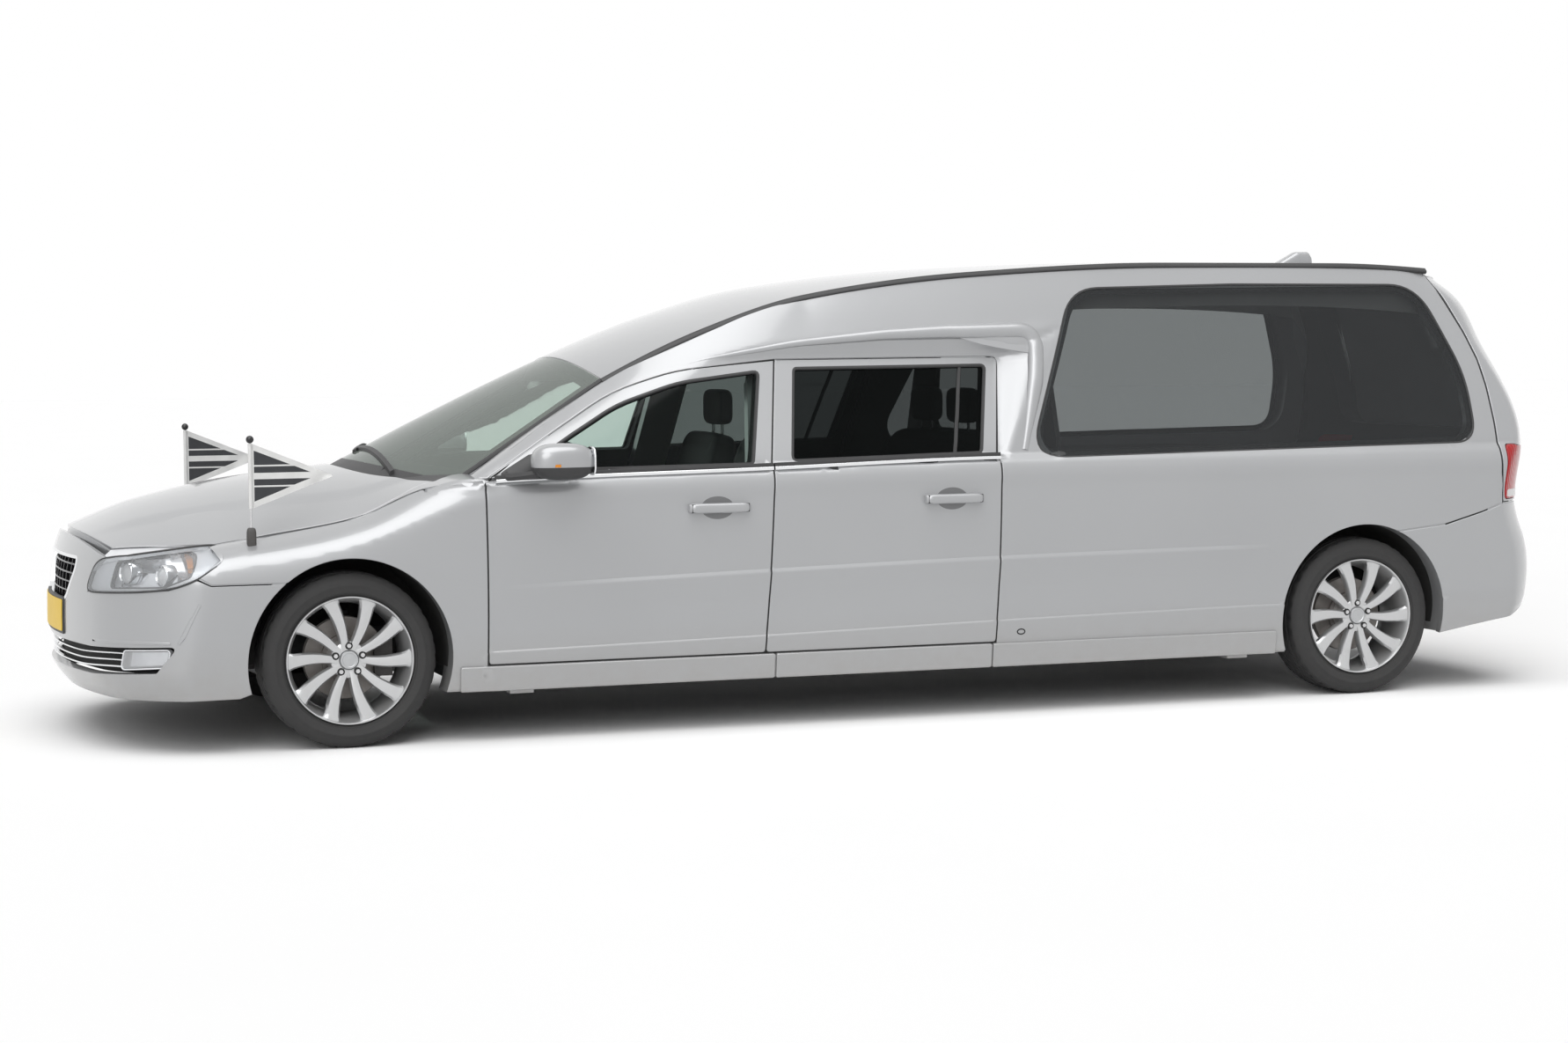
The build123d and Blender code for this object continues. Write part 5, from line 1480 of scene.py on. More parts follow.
@dataclass
class Bodywork:
    """Painted panels of the sides, the roof and the bonnet."""

    front_arch: float = 0.373
    rear_arch: float = 0.378
    foot: float = 0.196
    door_foot: float = 0.2862
    door_turn: float = 0.32
    seam_front: float = f(-0.505)
    screen_line: tuple = ((f(-0.530), 0.962), (f(-0.803), 1.130), (f(-1.049), 1.273), (f(-1.300), 1.350))
    door_head: tuple = ((f(-1.703), 1.390), (r(1.534), 1.395))
    quarter_window: tuple = ((r(1.480), 0.996), (r(-0.562), 1.022), (r(-0.556), 1.300), (r(-0.400), 1.676),
                             (r(0.470), 1.679), (r(1.200), 1.662))
    quarter_radii: tuple = (0.10, 0.10, 0.55, 0.20, 1.5, 0.19)
    front_window: tuple = ((f(-0.640), 0.990), (f(-0.860), 1.122), (f(-1.049), 1.228), (f(-1.300), 1.308),
                           (f(-1.634), 1.348), (f(-1.556), 0.998))
    front_radii: tuple = (0.01, 0.5, 0.7, 0.7, 0.018, 0.018)
    rear_window: tuple = ((f(-1.713), 1.006), (f(-1.776), 1.357), (r(1.592), 1.362), (r(1.672), 1.022))

    def belt(self, start: float, stop: float, drop: float = 0.002, count: int = 24) -> list[Pair]:
        """Points along the belt line in side view."""
        return [(x, float(FORM.belt_z(x)) - drop) for x in np.linspace(start, stop, count)]

    def fender(self) -> Shape:
        """The left front fender's side."""
        back = self.seam_front + SEAM
        outline = [
            (back, self.foot),
            *self.belt(back, f(0.478), 0.003),
            (f(0.458), 0.731),
            (f(0.448), 0.716),
            (f(0.449), 0.702),
            (f(0.462), 0.687),
            (f(0.495), 0.666),
            (f(0.538), 0.6385),
            (f(0.500), 0.6145),
            *arch(FRONT_AXLE, self.front_arch, (1, 0.6145), (-1, self.foot)),
        ]
        return skin(SIDE, outline, step=0.022)

    def crest(self) -> Shape:
        """The fender's top beside the bonnet's rear corner."""
        gap = [(f(-0.08), 0.757), (f(-0.22), 0.768), (f(-0.352), 0.742), (f(-0.438), 0.712)]
        rim = [(x, float(FORM.belt_y(x)) + 0.004) for x in np.linspace(f(-0.50), f(-0.08), 16)]
        return skin(COWL, [*gap, (f(-0.50), 0.735), *rim], step=0.02, edge=0.001)

    def door_edge(self, start: Callable[[float], float], stop: Callable[[float], float]) -> list[Pair]:
        """The lower edge of a door between two seams, its corners rounded."""
        low, high = self.door_foot, self.door_turn
        corners = [(start(high), high), (start(low), low), (stop(low), low), (stop(high), high)]
        return rounded(corners, [0, 0.012, 0.012, 0])

    def front_door(self) -> Shape:
        """The left front door's outer panel below the belt."""
        ahead = self.seam_front - SEAM
        high = float(FORM.belt_z(f(-1.62)))
        outline = [
            *self.door_edge(lambda z: pillar_x(z) + SEAM, lambda z: ahead),
            *self.belt(ahead, pillar_x(high) + SEAM),
        ]
        return skin(SIDE, outline, step=0.024, lines=self.cladding(ahead, pillar_x(0.35)))

    def rear_door(self) -> Shape:
        """The left rear door's outer panel below the belt."""
        high = float(FORM.belt_z(r(1.611)))
        back = lambda z: float(np.interp(z, [0.283, 1.0], [r(1.641), r(1.611)])) + SEAM
        outline = [
            *self.door_edge(back, lambda z: pillar_x(z) - SEAM),
            *self.belt(pillar_x(float(FORM.belt_z(f(-1.62)))) - SEAM, back(high)),
        ]
        return skin(SIDE, outline, step=0.024, lines=self.cladding(pillar_x(0.35), r(1.64)))

    @staticmethod
    def cladding(start: float, stop: float) -> list:
        """Lines along the step of the lower cladding and along the crease above it."""
        xs = np.linspace(start, stop, 60)
        steps = [[(x, float(CLAD(x)) + d) for x in xs] for d in (-0.005, -0.002, 0.002, 0.005)]
        rises = (-0.003, 0.0, 0.004, 0.009, 0.0135, 0.0165)
        return steps + [[(x, float(CREASE(x)) + d) for x in xs] for d in rises]

    def front_frame(self) -> Shape:
        """The left front door's window frame."""
        rise = float(FORM.belt_z(f(-1.62))) + 0.004
        head = rounded([*self.screen_line, self.door_head[0]], [0.0, 0.9, 0.9, 0.9, 0.0])
        outline = [
            (f(-0.535), 0.966),
            *head[1:-1],
            (pillar_x(1.386) + SEAM, 1.386),
            (pillar_x(rise) + SEAM, rise),
        ]
        return skin(SIDE, outline, [rounded(self.front_window, self.front_radii)], step=0.02, flange=0.02)

    def rear_frame(self) -> Shape:
        """The left rear door's window frame."""
        low = float(FORM.belt_z(f(-1.64))) + 0.004
        outline = rounded([
            (pillar_x(low) - SEAM, low),
            (pillar_x(1.388) - SEAM, 1.388),
            (r(1.536), 1.392),
            (r(1.611) + SEAM, 1.010),
        ], [0.0, 0.01, 0.02, 0.0])
        return skin(SIDE, outline, [rounded(self.rear_window, 0.018)], step=0.02, flange=0.02)

    def side_frame(self) -> Shape:
        """The fixed left side: screen pillar, roof rail and rear quarter in one pressing."""
        door_edge = rounded([
            (f(-0.506), 0.964),
            *[(x, z + SEAM) for x, z in self.screen_line],
            *[(x, z + SEAM) for x, z in self.door_head],
            (r(1.611) - SEAM, 1.000),
            (r(1.641) - SEAM, self.door_foot),
        ], [0, 0.03, 0.9, 0.9, 0.9, 0.05, 0.03, 0.06, 0])
        tail = [(tail_x(z) + SEAM, z) for z in np.linspace(0.772, 1.722, 40)]
        roof = [(x, float(FORM.edge_z(x)) - 0.001) for x in np.linspace(r(-0.464), f(-0.495), 110)]
        outline = [
            *door_edge,
            (r(1.641) - SEAM, self.foot),
            *arch(REAR_AXLE, self.rear_arch, (1, self.foot), (-1, 0.668)),
            (r(-0.384), 0.692),
            (r(-0.56), 0.738),
            *tail,
            *roof,
        ]
        window = rounded(self.quarter_window, self.quarter_radii, 9)
        return skin(SIDE, outline, [window], step=0.018, flange=0.012, lines=self.cladding(r(1.62), r(0.40)))

    def seams(self) -> Shape:
        """Black strips in the gaps of the left side and round the jack cover: painted shadow in the gaps."""
        back = lambda z: float(np.interp(z, [0.283, 1.0, 1.395], [r(1.641), r(1.611), r(1.534)]))
        heights = np.linspace(0.20, 0.958, 40)
        lines = [
            [(self.seam_front, z) for z in heights],
            [(pillar_x(z), z) for z in np.linspace(0.284, 1.388, 60)],
            [(back(z), z) for z in np.linspace(0.284, 1.392, 60)],
            [(tail_x(z), z) for z in np.linspace(0.772, 1.720, 60)],
            [(x, 0.2838) for x in np.linspace(f(-0.508), r(0.40), 90)],
            [(r(-0.3655), 0.668), (r(-0.384), 0.6890), (r(-0.47), 0.7120), (r(-0.56), 0.7355),
             (r(-0.661), 0.769)],
        ]
        head = [(f(-0.506), 0.960), *self.screen_line, *self.door_head]
        lines.append(rounded(head, [0, 0.03, 0.9, 0.9, 0.9, 0.05, 0])[:-1])
        made = [strip(SIDE, line, 0.0040, -0.012, 0.0016) for line in lines]
        jack_cover = oval(f(-2.638), 0.322, 0.016, 0.010, 28)
        return merged([*made, strip(SIDE, jack_cover, 0.0024, -0.004, 0.0056, True)])

    def brow(self) -> Shape:
        """The rounded lip over the left doors, turning down behind them."""
        corners = [(f(-1.067), 1.306), (f(-1.428), 1.395), (f(-1.790), 1.453), (f(-2.159), 1.485),
                   (f(-2.533), 1.497), (f(-2.800), 1.500), (f(-2.765), 1.300), (f(-2.680), 1.030)]
        line = rounded(corners, [0, 1.2, 1.2, 1.2, 1.2, 0.075, 0.9, 0], 9)
        path = densify(line, 0.012)
        path = path[:int(np.argmin(np.linalg.norm(path - np.array(line[-1]), axis=1))) + 1]
        at, up = SIDE.points(path)
        gone = np.concatenate(([0.0], np.cumsum(np.linalg.norm(np.diff(path, axis=0), axis=1))))
        size = 0.15 + 0.85 * ramp(gone, 0.0, 0.9 * gone[-1])
        size *= 1 - 0.55 * ramp(gone, gone[-1] - 0.30, gone[-1])
        across = np.cross(np.gradient(at, axis=0), up)
        across /= np.linalg.norm(across, axis=1, keepdims=True)
        turn = round_angles(24)[:, None]
        wide, tall = 0.036 * np.cos(turn), 0.030 * np.sin(turn) - 0.010
        return stacked([p + k * (wide * a + tall * u) for p, a, u, k in zip(at, across, up, size)])

    def fin(self) -> Shape:
        """The aerial's cover on the roof: a low fin with a rounded back."""
        rings = []
        turn = round_angles(24)
        across, up = (np.sign(part) * np.abs(part) ** 0.5 for part in (np.cos(turn), np.sin(turn)))
        for t in np.linspace(0, 1, 25):
            rise = min(max(0.115 * t - 0.020, 0.002), 0.0585) * (1 - 0.30 * t ** 40)
            wide = 0.033 * min(0.45 + 2.5 * t, 1.0)
            along = np.full(24, -2.128 - 0.216 * t)
            rings.append(np.stack((along, wide * across, 1.752 + (rise + 0.021) * up), 1))
        return stacked(rings)

    def skirt(self, start: float, stop: float) -> Shape:
        """A length of the sill cover between two stations."""
        outline = rounded([(start, 0.188), (stop, 0.188), (stop, 0.2815), (start, 0.2815)], 0.008)
        return skin(SIDE, outline, step=0.03, lift=0.0165, edge=0.006, flange=0.016)

    def roof(self) -> Shape:
        """The roof between its edge strips."""
        ys = np.linspace(-1, 1, 31)
        head = [(f(-0.993) - 0.05 * t * t, 0.588 * t) for t in ys]
        xs = np.linspace(f(-1.05), r(-0.456), 60)
        left = [(x, float(FORM.edge_y(x)) - 0.002) for x in xs]
        stern = [(r(-0.4465) - 0.013 * t * t, 0.61 * t) for t in ys[::-1]]
        right = [(x, -y) for x, y in left[::-1]]
        return skin(ROOFTOP, [*head, *left, *stern[1:-1], *right], step=0.035)

    def bonnet(self) -> Shape:
        """The bonnet with its raised middle."""
        ys = np.linspace(-1, 1, 41)
        lip = [(f(0.890) - 0.09 * t * t, 0.570 * t) for t in ys]
        edge = [(f(0.80), 0.570), (f(0.47), 0.735), (f(-0.04), 0.754), (f(-0.22), 0.765), (f(-0.35), 0.738)]
        flank = rounded(edge, [0, 0.25, 0.6, 0.06, 0])[1:]
        stern = [(f(-0.10) - 0.25 * t * t, 0.738 * t) for t in ys[::-1]]
        far = [(x, -y) for x, y in flank[::-1]]
        return skin(HOOD, [*lip, *flank, *stern[1:-1], *far], step=0.026, flange=0.02)

    def build(self) -> None:
        """Make and place every painted panel."""
        pair("fender", self.fender(), PAINT, "body")
        pair("fender_crest", self.crest(), PAINT, "body")
        pair("side_frame", self.side_frame(), PAINT, "body")
        pair("door_skin_front", self.front_door(), PAINT, "door_front_{side}")
        pair("door_skin_rear", self.rear_door(), PAINT, "door_rear_{side}")
        pair("window_frame_front", self.front_frame(), PAINT, "door_front_{side}")
        pair("window_frame_rear", self.rear_frame(), PAINT, "door_rear_{side}")
        joint, gap = f(-1.62), 0.002
        spans = ((f(-0.40), joint + gap), (joint - gap, r(1.66)), (r(1.656), r(0.408)))
        pair("sill_cover", merged([self.skirt(*span) for span in spans]), PAINT, "body")
        # Black strips in the panel gaps: painted shadow.
        pair("seam_shadow", self.seams(), SHADOW, "body")
        pair("door_brow", self.brow(), PAINT, "body")
        place("roof_skin", self.roof(), PAINT, "body")
        place("aerial_fin", self.fin(), PAINT, "body")
        place("bonnet_skin", self.bonnet(), PAINT, "bonnet")


@dataclass
class Glazing:
    """Every pane of glass, with the printed borders behind the fixed ones."""

    work: Bodywork = field(default_factory=Bodywork)
    quarter_clear: tuple = ((r(1.445), 1.022), (r(-0.534), 1.048), (r(-0.530), 1.300), (r(-0.380), 1.652),
                            (r(0.470), 1.655), (r(1.178), 1.638))
    clear_radii: tuple = (0.08, 0.08, 0.55, 0.18, 1.5, 0.17)

    def screen(self, grow: float) -> list[Pair]:
        """Outline of the windscreen in plan, grown at its edges."""
        ys = np.linspace(-1, 1, 31)
        foot = [(f(-0.172) + grow - 0.26 * t * t, (0.706 + grow) * t) for t in ys]
        head = [(f(-0.990) - grow - 0.05 * t * t, (0.588 + grow) * t) for t in ys[::-1]]
        return rounded([*foot, *head], [0.0] * 30 + [0.03, 0.03] + [0.0] * 29 + [0.03])

    def build(self) -> None:
        """Make and place the panes."""
        work = self.work
        pane = skin(ROOFTOP, self.screen(0.002), step=0.04, lift=0.002, flange=0.006)
        place("windscreen_pane", pane, SCREEN, "body", ["windscreen"])
        print_depth = {"step": 0.03, "lift": -0.004, "edge": 0.0005, "flange": 0.002}
        border = skin(ROOFTOP, self.screen(0.0), [self.screen(-0.045)], **print_depth)
        place("windscreen_border", border, GLOSS, "body")
        quarter = rounded(work.quarter_window, work.quarter_radii, 9)
        solid = rounded(self.quarter_clear, self.clear_radii, 9)
        pane = skin(SIDE, quarter, step=0.04, lift=0.0005, flange=0.006)
        place("quarter_panes", pane.both(), SMOKE, "body", ["quarter_glass"])
        place("quarter_borders", skin(SIDE, quarter, [solid], **print_depth).both(), GLOSS, "body")
        lines = {
            "front": rounded(work.front_window, work.front_radii),
            "rear": rounded(work.rear_window, 0.018),
        }
        for name, tint in (("front", CLEAR), ("rear", DARK)):
            pane = skin(SIDE, lines[name], step=0.03, lift=-0.006, flange=0.005)
            pair(f"{name}_pane", pane, tint, f"door_{name}_{{side}}", f"glass_{name}_{{side}}")
        for name, line in lines.items():
            seal = strip(SIDE, densify(line, 0.02), 0.0075, -0.012, 0.0045, True)
            pair(f"window_seal_{name}", seal, TRIM, f"door_{name}_{{side}}")
        upright = [(r(1.672) + 0.110 - 0.082 * t, 1.024 + 0.333 * t) for t in np.linspace(0, 1, 16)]
        pair("window_bar", strip(SIDE, upright, 0.008, -0.010, -0.001), TRIM, "door_rear_{side}")
        rim = strip(SIDE, densify(quarter, 0.02), 0.005, -0.004, 0.0045, True)
        place("quarter_seals", rim.both(), TRIM, "body")


@dataclass
class Brightwork:
    """Belt mouldings, roof strips, handles and door mirrors."""

    handle_half: float = 0.114
    front_handle: Pair = FRONT_HANDLE
    rear_handle: Pair = REAR_HANDLE
    mirror_mid: tuple = (f(-0.768), 1.016, 1.029)
    mirror_half: tuple = (0.114, 0.070, 0.068)

    @staticmethod
    def belt(start: float, stop: float, rise: float, half: float, proud: float) -> Shape:
        """A moulding along the belt, on a smooth line through the door's upper edge.

        Args:
            start: Where it begins.
            stop: Where it ends.
            rise: Height over the belt.
            half: Half its width.
            proud: How far it stands out.

        Returns:
            The moulding.
        """
        xs = np.linspace(start, stop, 60)
        level = FORM.belt_z(xs)
        at, _ = SIDE.points(np.stack((xs, level - 0.016), 1))
        flush = np.polyval(np.polyfit(xs - start, at[:, 1], 4), xs - start)
        path = np.stack((xs, flush, level + rise), 1)
        section = bead(half, -0.02, proud, 0.6 * half, proud - 0.001)
        return sweep(path, np.tile([0.0, 0.98, 0.20], (60, 1)), section)

    def roof_line(self) -> Shape:
        """The black strip along the left roof edge."""
        xs = np.linspace(f(-1.04), r(-0.470), 90)
        path = np.stack((xs, FORM.edge_y(xs), FORM.edge_z(xs)), 1)
        up = np.tile(np.array([0.0, 0.66, 0.75]), (len(xs), 1))
        return sweep(path, up, bead(0.013, -0.006, 0.008, 0.009, 0.005))

    def screen_line(self) -> Shape:
        """The black strip down the left edge of the windscreen."""
        line = [(f(-0.44) - t * 0.60, 0.712 - t * 0.118) for t in np.linspace(0, 1, 40)]
        return strip(ROOFTOP, line, 0.011, -0.006, 0.009)

    def handle(self, x: float, z: float) -> Shape:
        """A pull handle standing off a left door."""
        turn = round_angles(20)
        across, tall = (np.sign(part) * np.abs(part) ** 0.6 for part in (np.cos(turn), np.sin(turn)))
        rings = []
        for t in np.linspace(-1, 1, 21):
            full = (1 - abs(t) ** 14) ** 0.5
            out = 0.955 + 0.013 * full
            mid, deep = (out + 0.920) / 2, (out - 0.920) / 2
            along = np.full(20, x + t * (self.handle_half + 0.006))
            rings.append(np.stack((along, mid + deep * across, z + (0.0145 + 0.0050 * full) * tall), 1))
        return stacked(rings)

    def scoop(self, x: float, z: float) -> Shape:
        """The hollow behind a handle as a flat oval in darker paint: painted shade."""
        hollow = oval(x + 0.004, z, 0.066, 0.043, 40)
        return skin(SIDE, hollow, step=0.02, lift=0.0048, edge=0.0006, flange=0.002)

    def mirrors(self) -> None:
        """Door mirrors: dark housings on arms, painted caps, glass and lamp strips."""
        x, y, z = self.mirror_mid
        a, b, c = self.mirror_half
        housing = pebble(self.mirror_mid, (a - 0.002, b - 0.001, c - 0.001), 0.70)
        arm_line = np.array([(f(-0.60), 0.868, 0.972), (f(-0.63), 0.905, 0.972), (f(-0.67), 0.945, 0.980),
                             (f(-0.73), 0.985, 0.990)])
        section = [(-0.042, -0.012), (0.042, -0.012), (0.046, 0.0), (0.036, 0.014), (-0.036, 0.014),
                   (-0.046, 0.0)]
        arm = sweep(arm_line, np.tile(UPWARD, (4, 1)), section)
        corner = [(f(-0.560), 0.972), (f(-0.735), 0.976), (f(-0.735), 1.052), (f(-0.69), 1.046)]
        sail = skin(SIDE, rounded(corner, 0.01), step=0.02, lift=0.008, edge=0.003, flange=0.012)
        housing = housing.joined(arm, Shape(sail.points, sail.faces))
        pair("mirror_housing", housing, TRIM, "door_front_{side}", "mirror_{side}")
        shell = pebble(self.mirror_mid, (a, b, c), 0.70, 56, 40)
        foot, back = z - 0.022, x - a * 0.90
        keep = [face for face in shell.faces
                if shell.points[list(face), 2].min() > foot and shell.points[list(face), 0].max() > back]
        pair("mirror_cap", Shape(shell.points, keep), PAINT, "door_front_{side}")
        glass = pebble((x - a + 0.003, y, z + 0.002), (0.006, b * 0.80, c * 0.78), 0.6)
        pair("mirror_glass", glass, MIRROR, "door_front_{side}")
        turns = np.linspace(0.35, 1.35, 16)
        line = [(x + a * 0.93 * math.cos(t), y + b * 1.005 * math.sin(t), z - 0.012) for t in turns]
        out = np.array([(math.cos(t), math.sin(t), 0.0) for t in turns])
        lamp = sweep(np.array(line), out, [(-0.006, -0.004), (0.006, -0.004), (0.005, 0.004), (-0.005, 0.004)])
        pair("mirror_lamp", lamp, AMBER, "door_front_{side}")

    def build(self) -> None:
        """Make and place the trim."""
        spans = (("front", f(-0.545), pillar_x(0.98) + SEAM), ("rear", pillar_x(0.985) - SEAM, r(1.613)))
        for name, start, stop in spans:
            body = f"door_{name}_{{side}}"
            pair(f"belt_bright_{name}", self.belt(start, stop, -0.002, 0.0060, 0.0065), CHROME, body)
            pair(f"belt_black_{name}", self.belt(start, stop, 0.011, 0.0085, 0.0035), TRIM, body)
        pair("roof_strip", self.roof_line(), TRIM, "body")
        pair("screen_strip", self.screen_line(), TRIM, "body")
        for name, (x, z) in (("front", self.front_handle), ("rear", self.rear_handle)):
            pair(f"handle_{name}", self.handle(x, z), PAINT, f"door_{name}_{{side}}")
            # The flat oval behind each handle is darker paint, painted shade of the hollow.
            pair(f"handle_hollow_{name}", self.scoop(x, z), SCOOP_SHADE, f"door_{name}_{{side}}")
        self.mirrors()


def nose(z: float, y: Optional[float] = None, x: Optional[float] = None) -> Pair:
    """A place on the nose's chart from its height and its y or x."""
    return (round_to(FORM.nose, x, y, z), z)


def tail(z: float, y: Optional[float] = None, x: Optional[float] = None) -> Pair:
    """A place on the tail's chart from its height and its y or x."""
    return (round_to(FORM.tail, x, y, z), z)


def opposite(line: Sequence[Pair]) -> list[Pair]:
    """A half outline mirrored across the car's middle, in reverse order."""
    return [(-s, z) for s, z in reversed(line)]


def nose_lip(y: float) -> float:
    """Height where the bonnet's surface meets the nose."""
    z = 0.75
    for _ in range(30):
        x, _ = FORM.wrap(FORM.nose, np.array([y]), np.array([z]))
        z = 0.5 * z + 0.5 * float(FORM.bonnet(x, np.array([y]))[0])
    return z


@dataclass
class FrontEnd:
    """Bumper, grille, intake, lamps and number plate."""

    lamp: tuple = ((f(0.850), 0.578), (f(0.884), 0.577), (f(0.874), 0.625), (f(0.850), 0.690),
                   (f(0.800), 0.708), (f(0.640), 0.726), (f(0.500), 0.743), (f(0.440), 0.742),
                   (f(0.436), 0.690), (f(0.500), 0.664), (f(0.560), 0.626), (f(0.650), 0.594))
    chamber: tuple = ((f(0.826), 0.596), (f(0.800), 0.692), (f(0.520), 0.722), (f(0.572), 0.642),
                      (f(0.655), 0.606))
    grille: tuple = ((0.385, 0.692), (0.385, 0.640), (0.300, 0.545), (0.200, 0.485))
    intake: tuple = ((0.560, 0.378), (0.893, 0.394), (0.846, 0.298), (0.560, 0.280))
    fog: tuple = ((f(0.790), 0.372), (f(0.645), 0.380), (f(0.658), 0.322), (f(0.800), 0.308))
    turn_lamp: tuple = ((f(0.565), 0.716), (f(0.540), 0.718), (f(0.553), 0.684), (f(0.572), 0.682))
    upright_fold: tuple = ((f(0.540), 0.545), (f(0.562), 0.500), (f(0.590), 0.436), (f(0.612), 0.404))
    cross_fold: tuple = ((0.80, 0.407), (0.70, 0.405), (0.58, 0.402))
    rows: tuple = (0.524, 0.558, 0.592, 0.626, 0.660)
    columns: int = 11
    pitch: float = 0.066

    def grille_line(self, grow: float = 0.0) -> list[Pair]:
        """Outline of the grille on the nose's chart."""
        half = [nose(z, y=y) for y, z in self.grille]
        line = rounded([*opposite(half), *half][::-1], [0.05, 0.06, 0.06, 0.025, 0.025, 0.06, 0.06, 0.05])
        return [tuple(p) for p in self.grown(line, grow)]

    def intake_line(self, grow: float = 0.0) -> list[Pair]:
        """Outline of the lower intake on the nose's chart."""
        half = [nose(z, y=y) for y, z in self.intake]
        line = rounded([*half, *opposite(half)], [0.06, 0.015, 0.015, 0.06, 0.06, 0.015, 0.015, 0.06])
        return [tuple(p) for p in self.grown(line, grow)]

    @staticmethod
    def grown(line: Sequence[Pair], grow: float) -> Array:
        """A closed outline grown outward."""
        dense = densify(list(line), 0.02)
        if area(dense) < 0:
            dense = dense[::-1]
        return inward(dense, -grow) if grow else dense

    def lamp_line(self, grow: float = 0.0) -> list[Pair]:
        """Outline of the left headlamp on the nose's chart."""
        line = softened([nose(z, x=x) for x, z in self.lamp])
        return [tuple(p) for p in self.grown(line, grow)]

    def bumper(self) -> Shape:
        """The painted bumper with its openings."""
        half = [nose(nose_lip(y) - 0.004, y=y) for y in (0.001, 0.1, 0.2, 0.3, 0.4, 0.5, 0.55)]
        half += [nose(0.700, x=f(0.822)), nose(0.640, x=f(0.872)), nose(0.574, x=f(0.886)),
                 nose(0.596, x=f(0.640)), nose(0.6315, x=f(0.548)), nose(0.6085, x=f(0.500))]
        half += [nose(z, x=x) for x, z in arch(FRONT_AXLE, 0.373, (1, 0.6085), (1, 0.215), 24)]
        half += [nose(0.200, x=f(0.40)), nose(0.192, y=0.60), nose(0.192, y=0.30), nose(0.192, y=0.001)]
        holes = [self.grille_line(), self.intake_line()]
        return skin(NOSE, [*half, *opposite(half)], holes, step=0.026, flange=0.03)

    def crate(self) -> Shape:
        """The egg-crate bars of the grille."""
        line = np.array(self.grille_line(-0.004))
        bars = []
        columns = [(n - (self.columns - 1) / 2) * self.pitch for n in range(self.columns)]
        for z in self.rows:
            s = np.linspace(-0.45, 0.45, 61)
            run = np.stack((s, np.full_like(s, z)), 1)
            run = run[inside(run, line)]
            bars.append(strip(NOSE, run, 0.003, -0.045, -0.012))
        for y in columns:
            z = np.linspace(0.47, 0.70, 40)
            run = np.stack((np.full_like(z, y), z), 1)
            run = run[inside(run, line)]
            if len(run) > 2:
                bars.append(strip(NOSE, run, 0.0028, -0.045, -0.014))
        return merged(bars)

    def shelf(self) -> Shape:
        """The left headlamp's upper edge, which closes it up to the bonnet."""
        count = 24
        share = np.linspace(0, 1, count)
        ahead = np.interp(share, [0, 0.12, 0.55, 1], [f(0.852), f(0.800), f(0.640), f(0.462)])
        level = np.interp(share, [0, 0.12, 0.55, 1], [0.684, 0.707, 0.727, 0.742])
        rim, _ = NOSE.points(np.array([nose(float(z), x=float(x)) for x, z in zip(ahead, level)]), 0.003)
        x = np.linspace(f(0.806), f(0.455), count)
        y = np.interp(-x, [-f(0.81), -f(0.50), -f(0.47), -f(0.44)], [0.570, 0.725, 0.7365, 0.741])
        edge = np.stack((x, y, hood_height(x, y) - 0.002), 1)
        drop = np.array([0.0, 0.0, 0.012])
        rows = [edge, rim, rim - drop, edge - drop]
        faces = [(a * count + k, a * count + k + 1, b * count + k + 1, b * count + k)
                 for a, b in ((0, 1), (1, 2), (2, 3), (3, 0)) for k in range(count - 1)]
        faces += [(0, count, 2 * count, 3 * count), tuple(n * count - 1 for n in (4, 3, 2, 1))]
        return Shape(np.concatenate(rows), faces)

    def lamps(self) -> None:
        """Headlamps with bowls, projectors and turn lamps, and the fog lamps."""
        lens = skin(NOSE, self.lamp_line(), step=0.02, lift=0.0085, edge=0.004, flange=0.014)
        seal = strip(NOSE, self.lamp_line(0.002), 0.0026, -0.02, 0.0082, True)
        bowl = skin(NOSE, self.lamp_line(-0.003), step=0.03, lift=-0.055, edge=0.001, flange=-0.054)
        inner = rounded([nose(z, x=x) for x, z in self.chamber], [0.012, 0.02, 0.012, 0.02, 0.03])
        bezel = skin(NOSE, self.lamp_line(-0.004), [inner], step=0.02, lift=-0.006, edge=0.002, flange=0.045)
        edge = strip(NOSE, densify(inner, 0.02), 0.0028, -0.02, -0.003, True)
        domes: list[Shape] = []
        rings: list[Shape] = []
        for x, z, size in ((f(0.785), 0.655, 0.044), (f(0.655), 0.672, 0.040)):
            at, _ = NOSE.points(np.array([nose(z, x=x)]), -0.030)
            turn = aim((0.90, 0.42, 0.05), at[0])
            ring = [(size, -0.03), (size, 0.010), (size - 0.003, 0.014), (size - 0.008, 0.010),
                    (size - 0.012, -0.03)]
            rings.append(lathe(ring, 40).moved(turn))
            wide, tall = size * 0.80, size * 0.35
            dome = [(wide * math.cos(t), tall * math.sin(t)) for t in np.linspace(0, math.pi / 2, 8)[:-1]]
            domes.append(lathe([*dome, (0.0008, tall), (0.0008, -0.01), (wide, -0.01)], 40).moved(turn))
        turn_line = rounded([nose(z, x=x) for x, z in self.turn_lamp], 0.005)
        fog_line = rounded([nose(z, x=x) for x, z in self.fog], 0.012)
        cup = self.grown(fog_line, -0.004)
        fog_rim = strip(NOSE, self.grown(fog_line, 0.003), 0.0025, -0.03, -0.005, True)
        place("headlamp_shelves", self.shelf().both(), SATIN, "body")
        place("headlamp_lenses", lens.both(), LAMP, "body", ["front_lamps"])
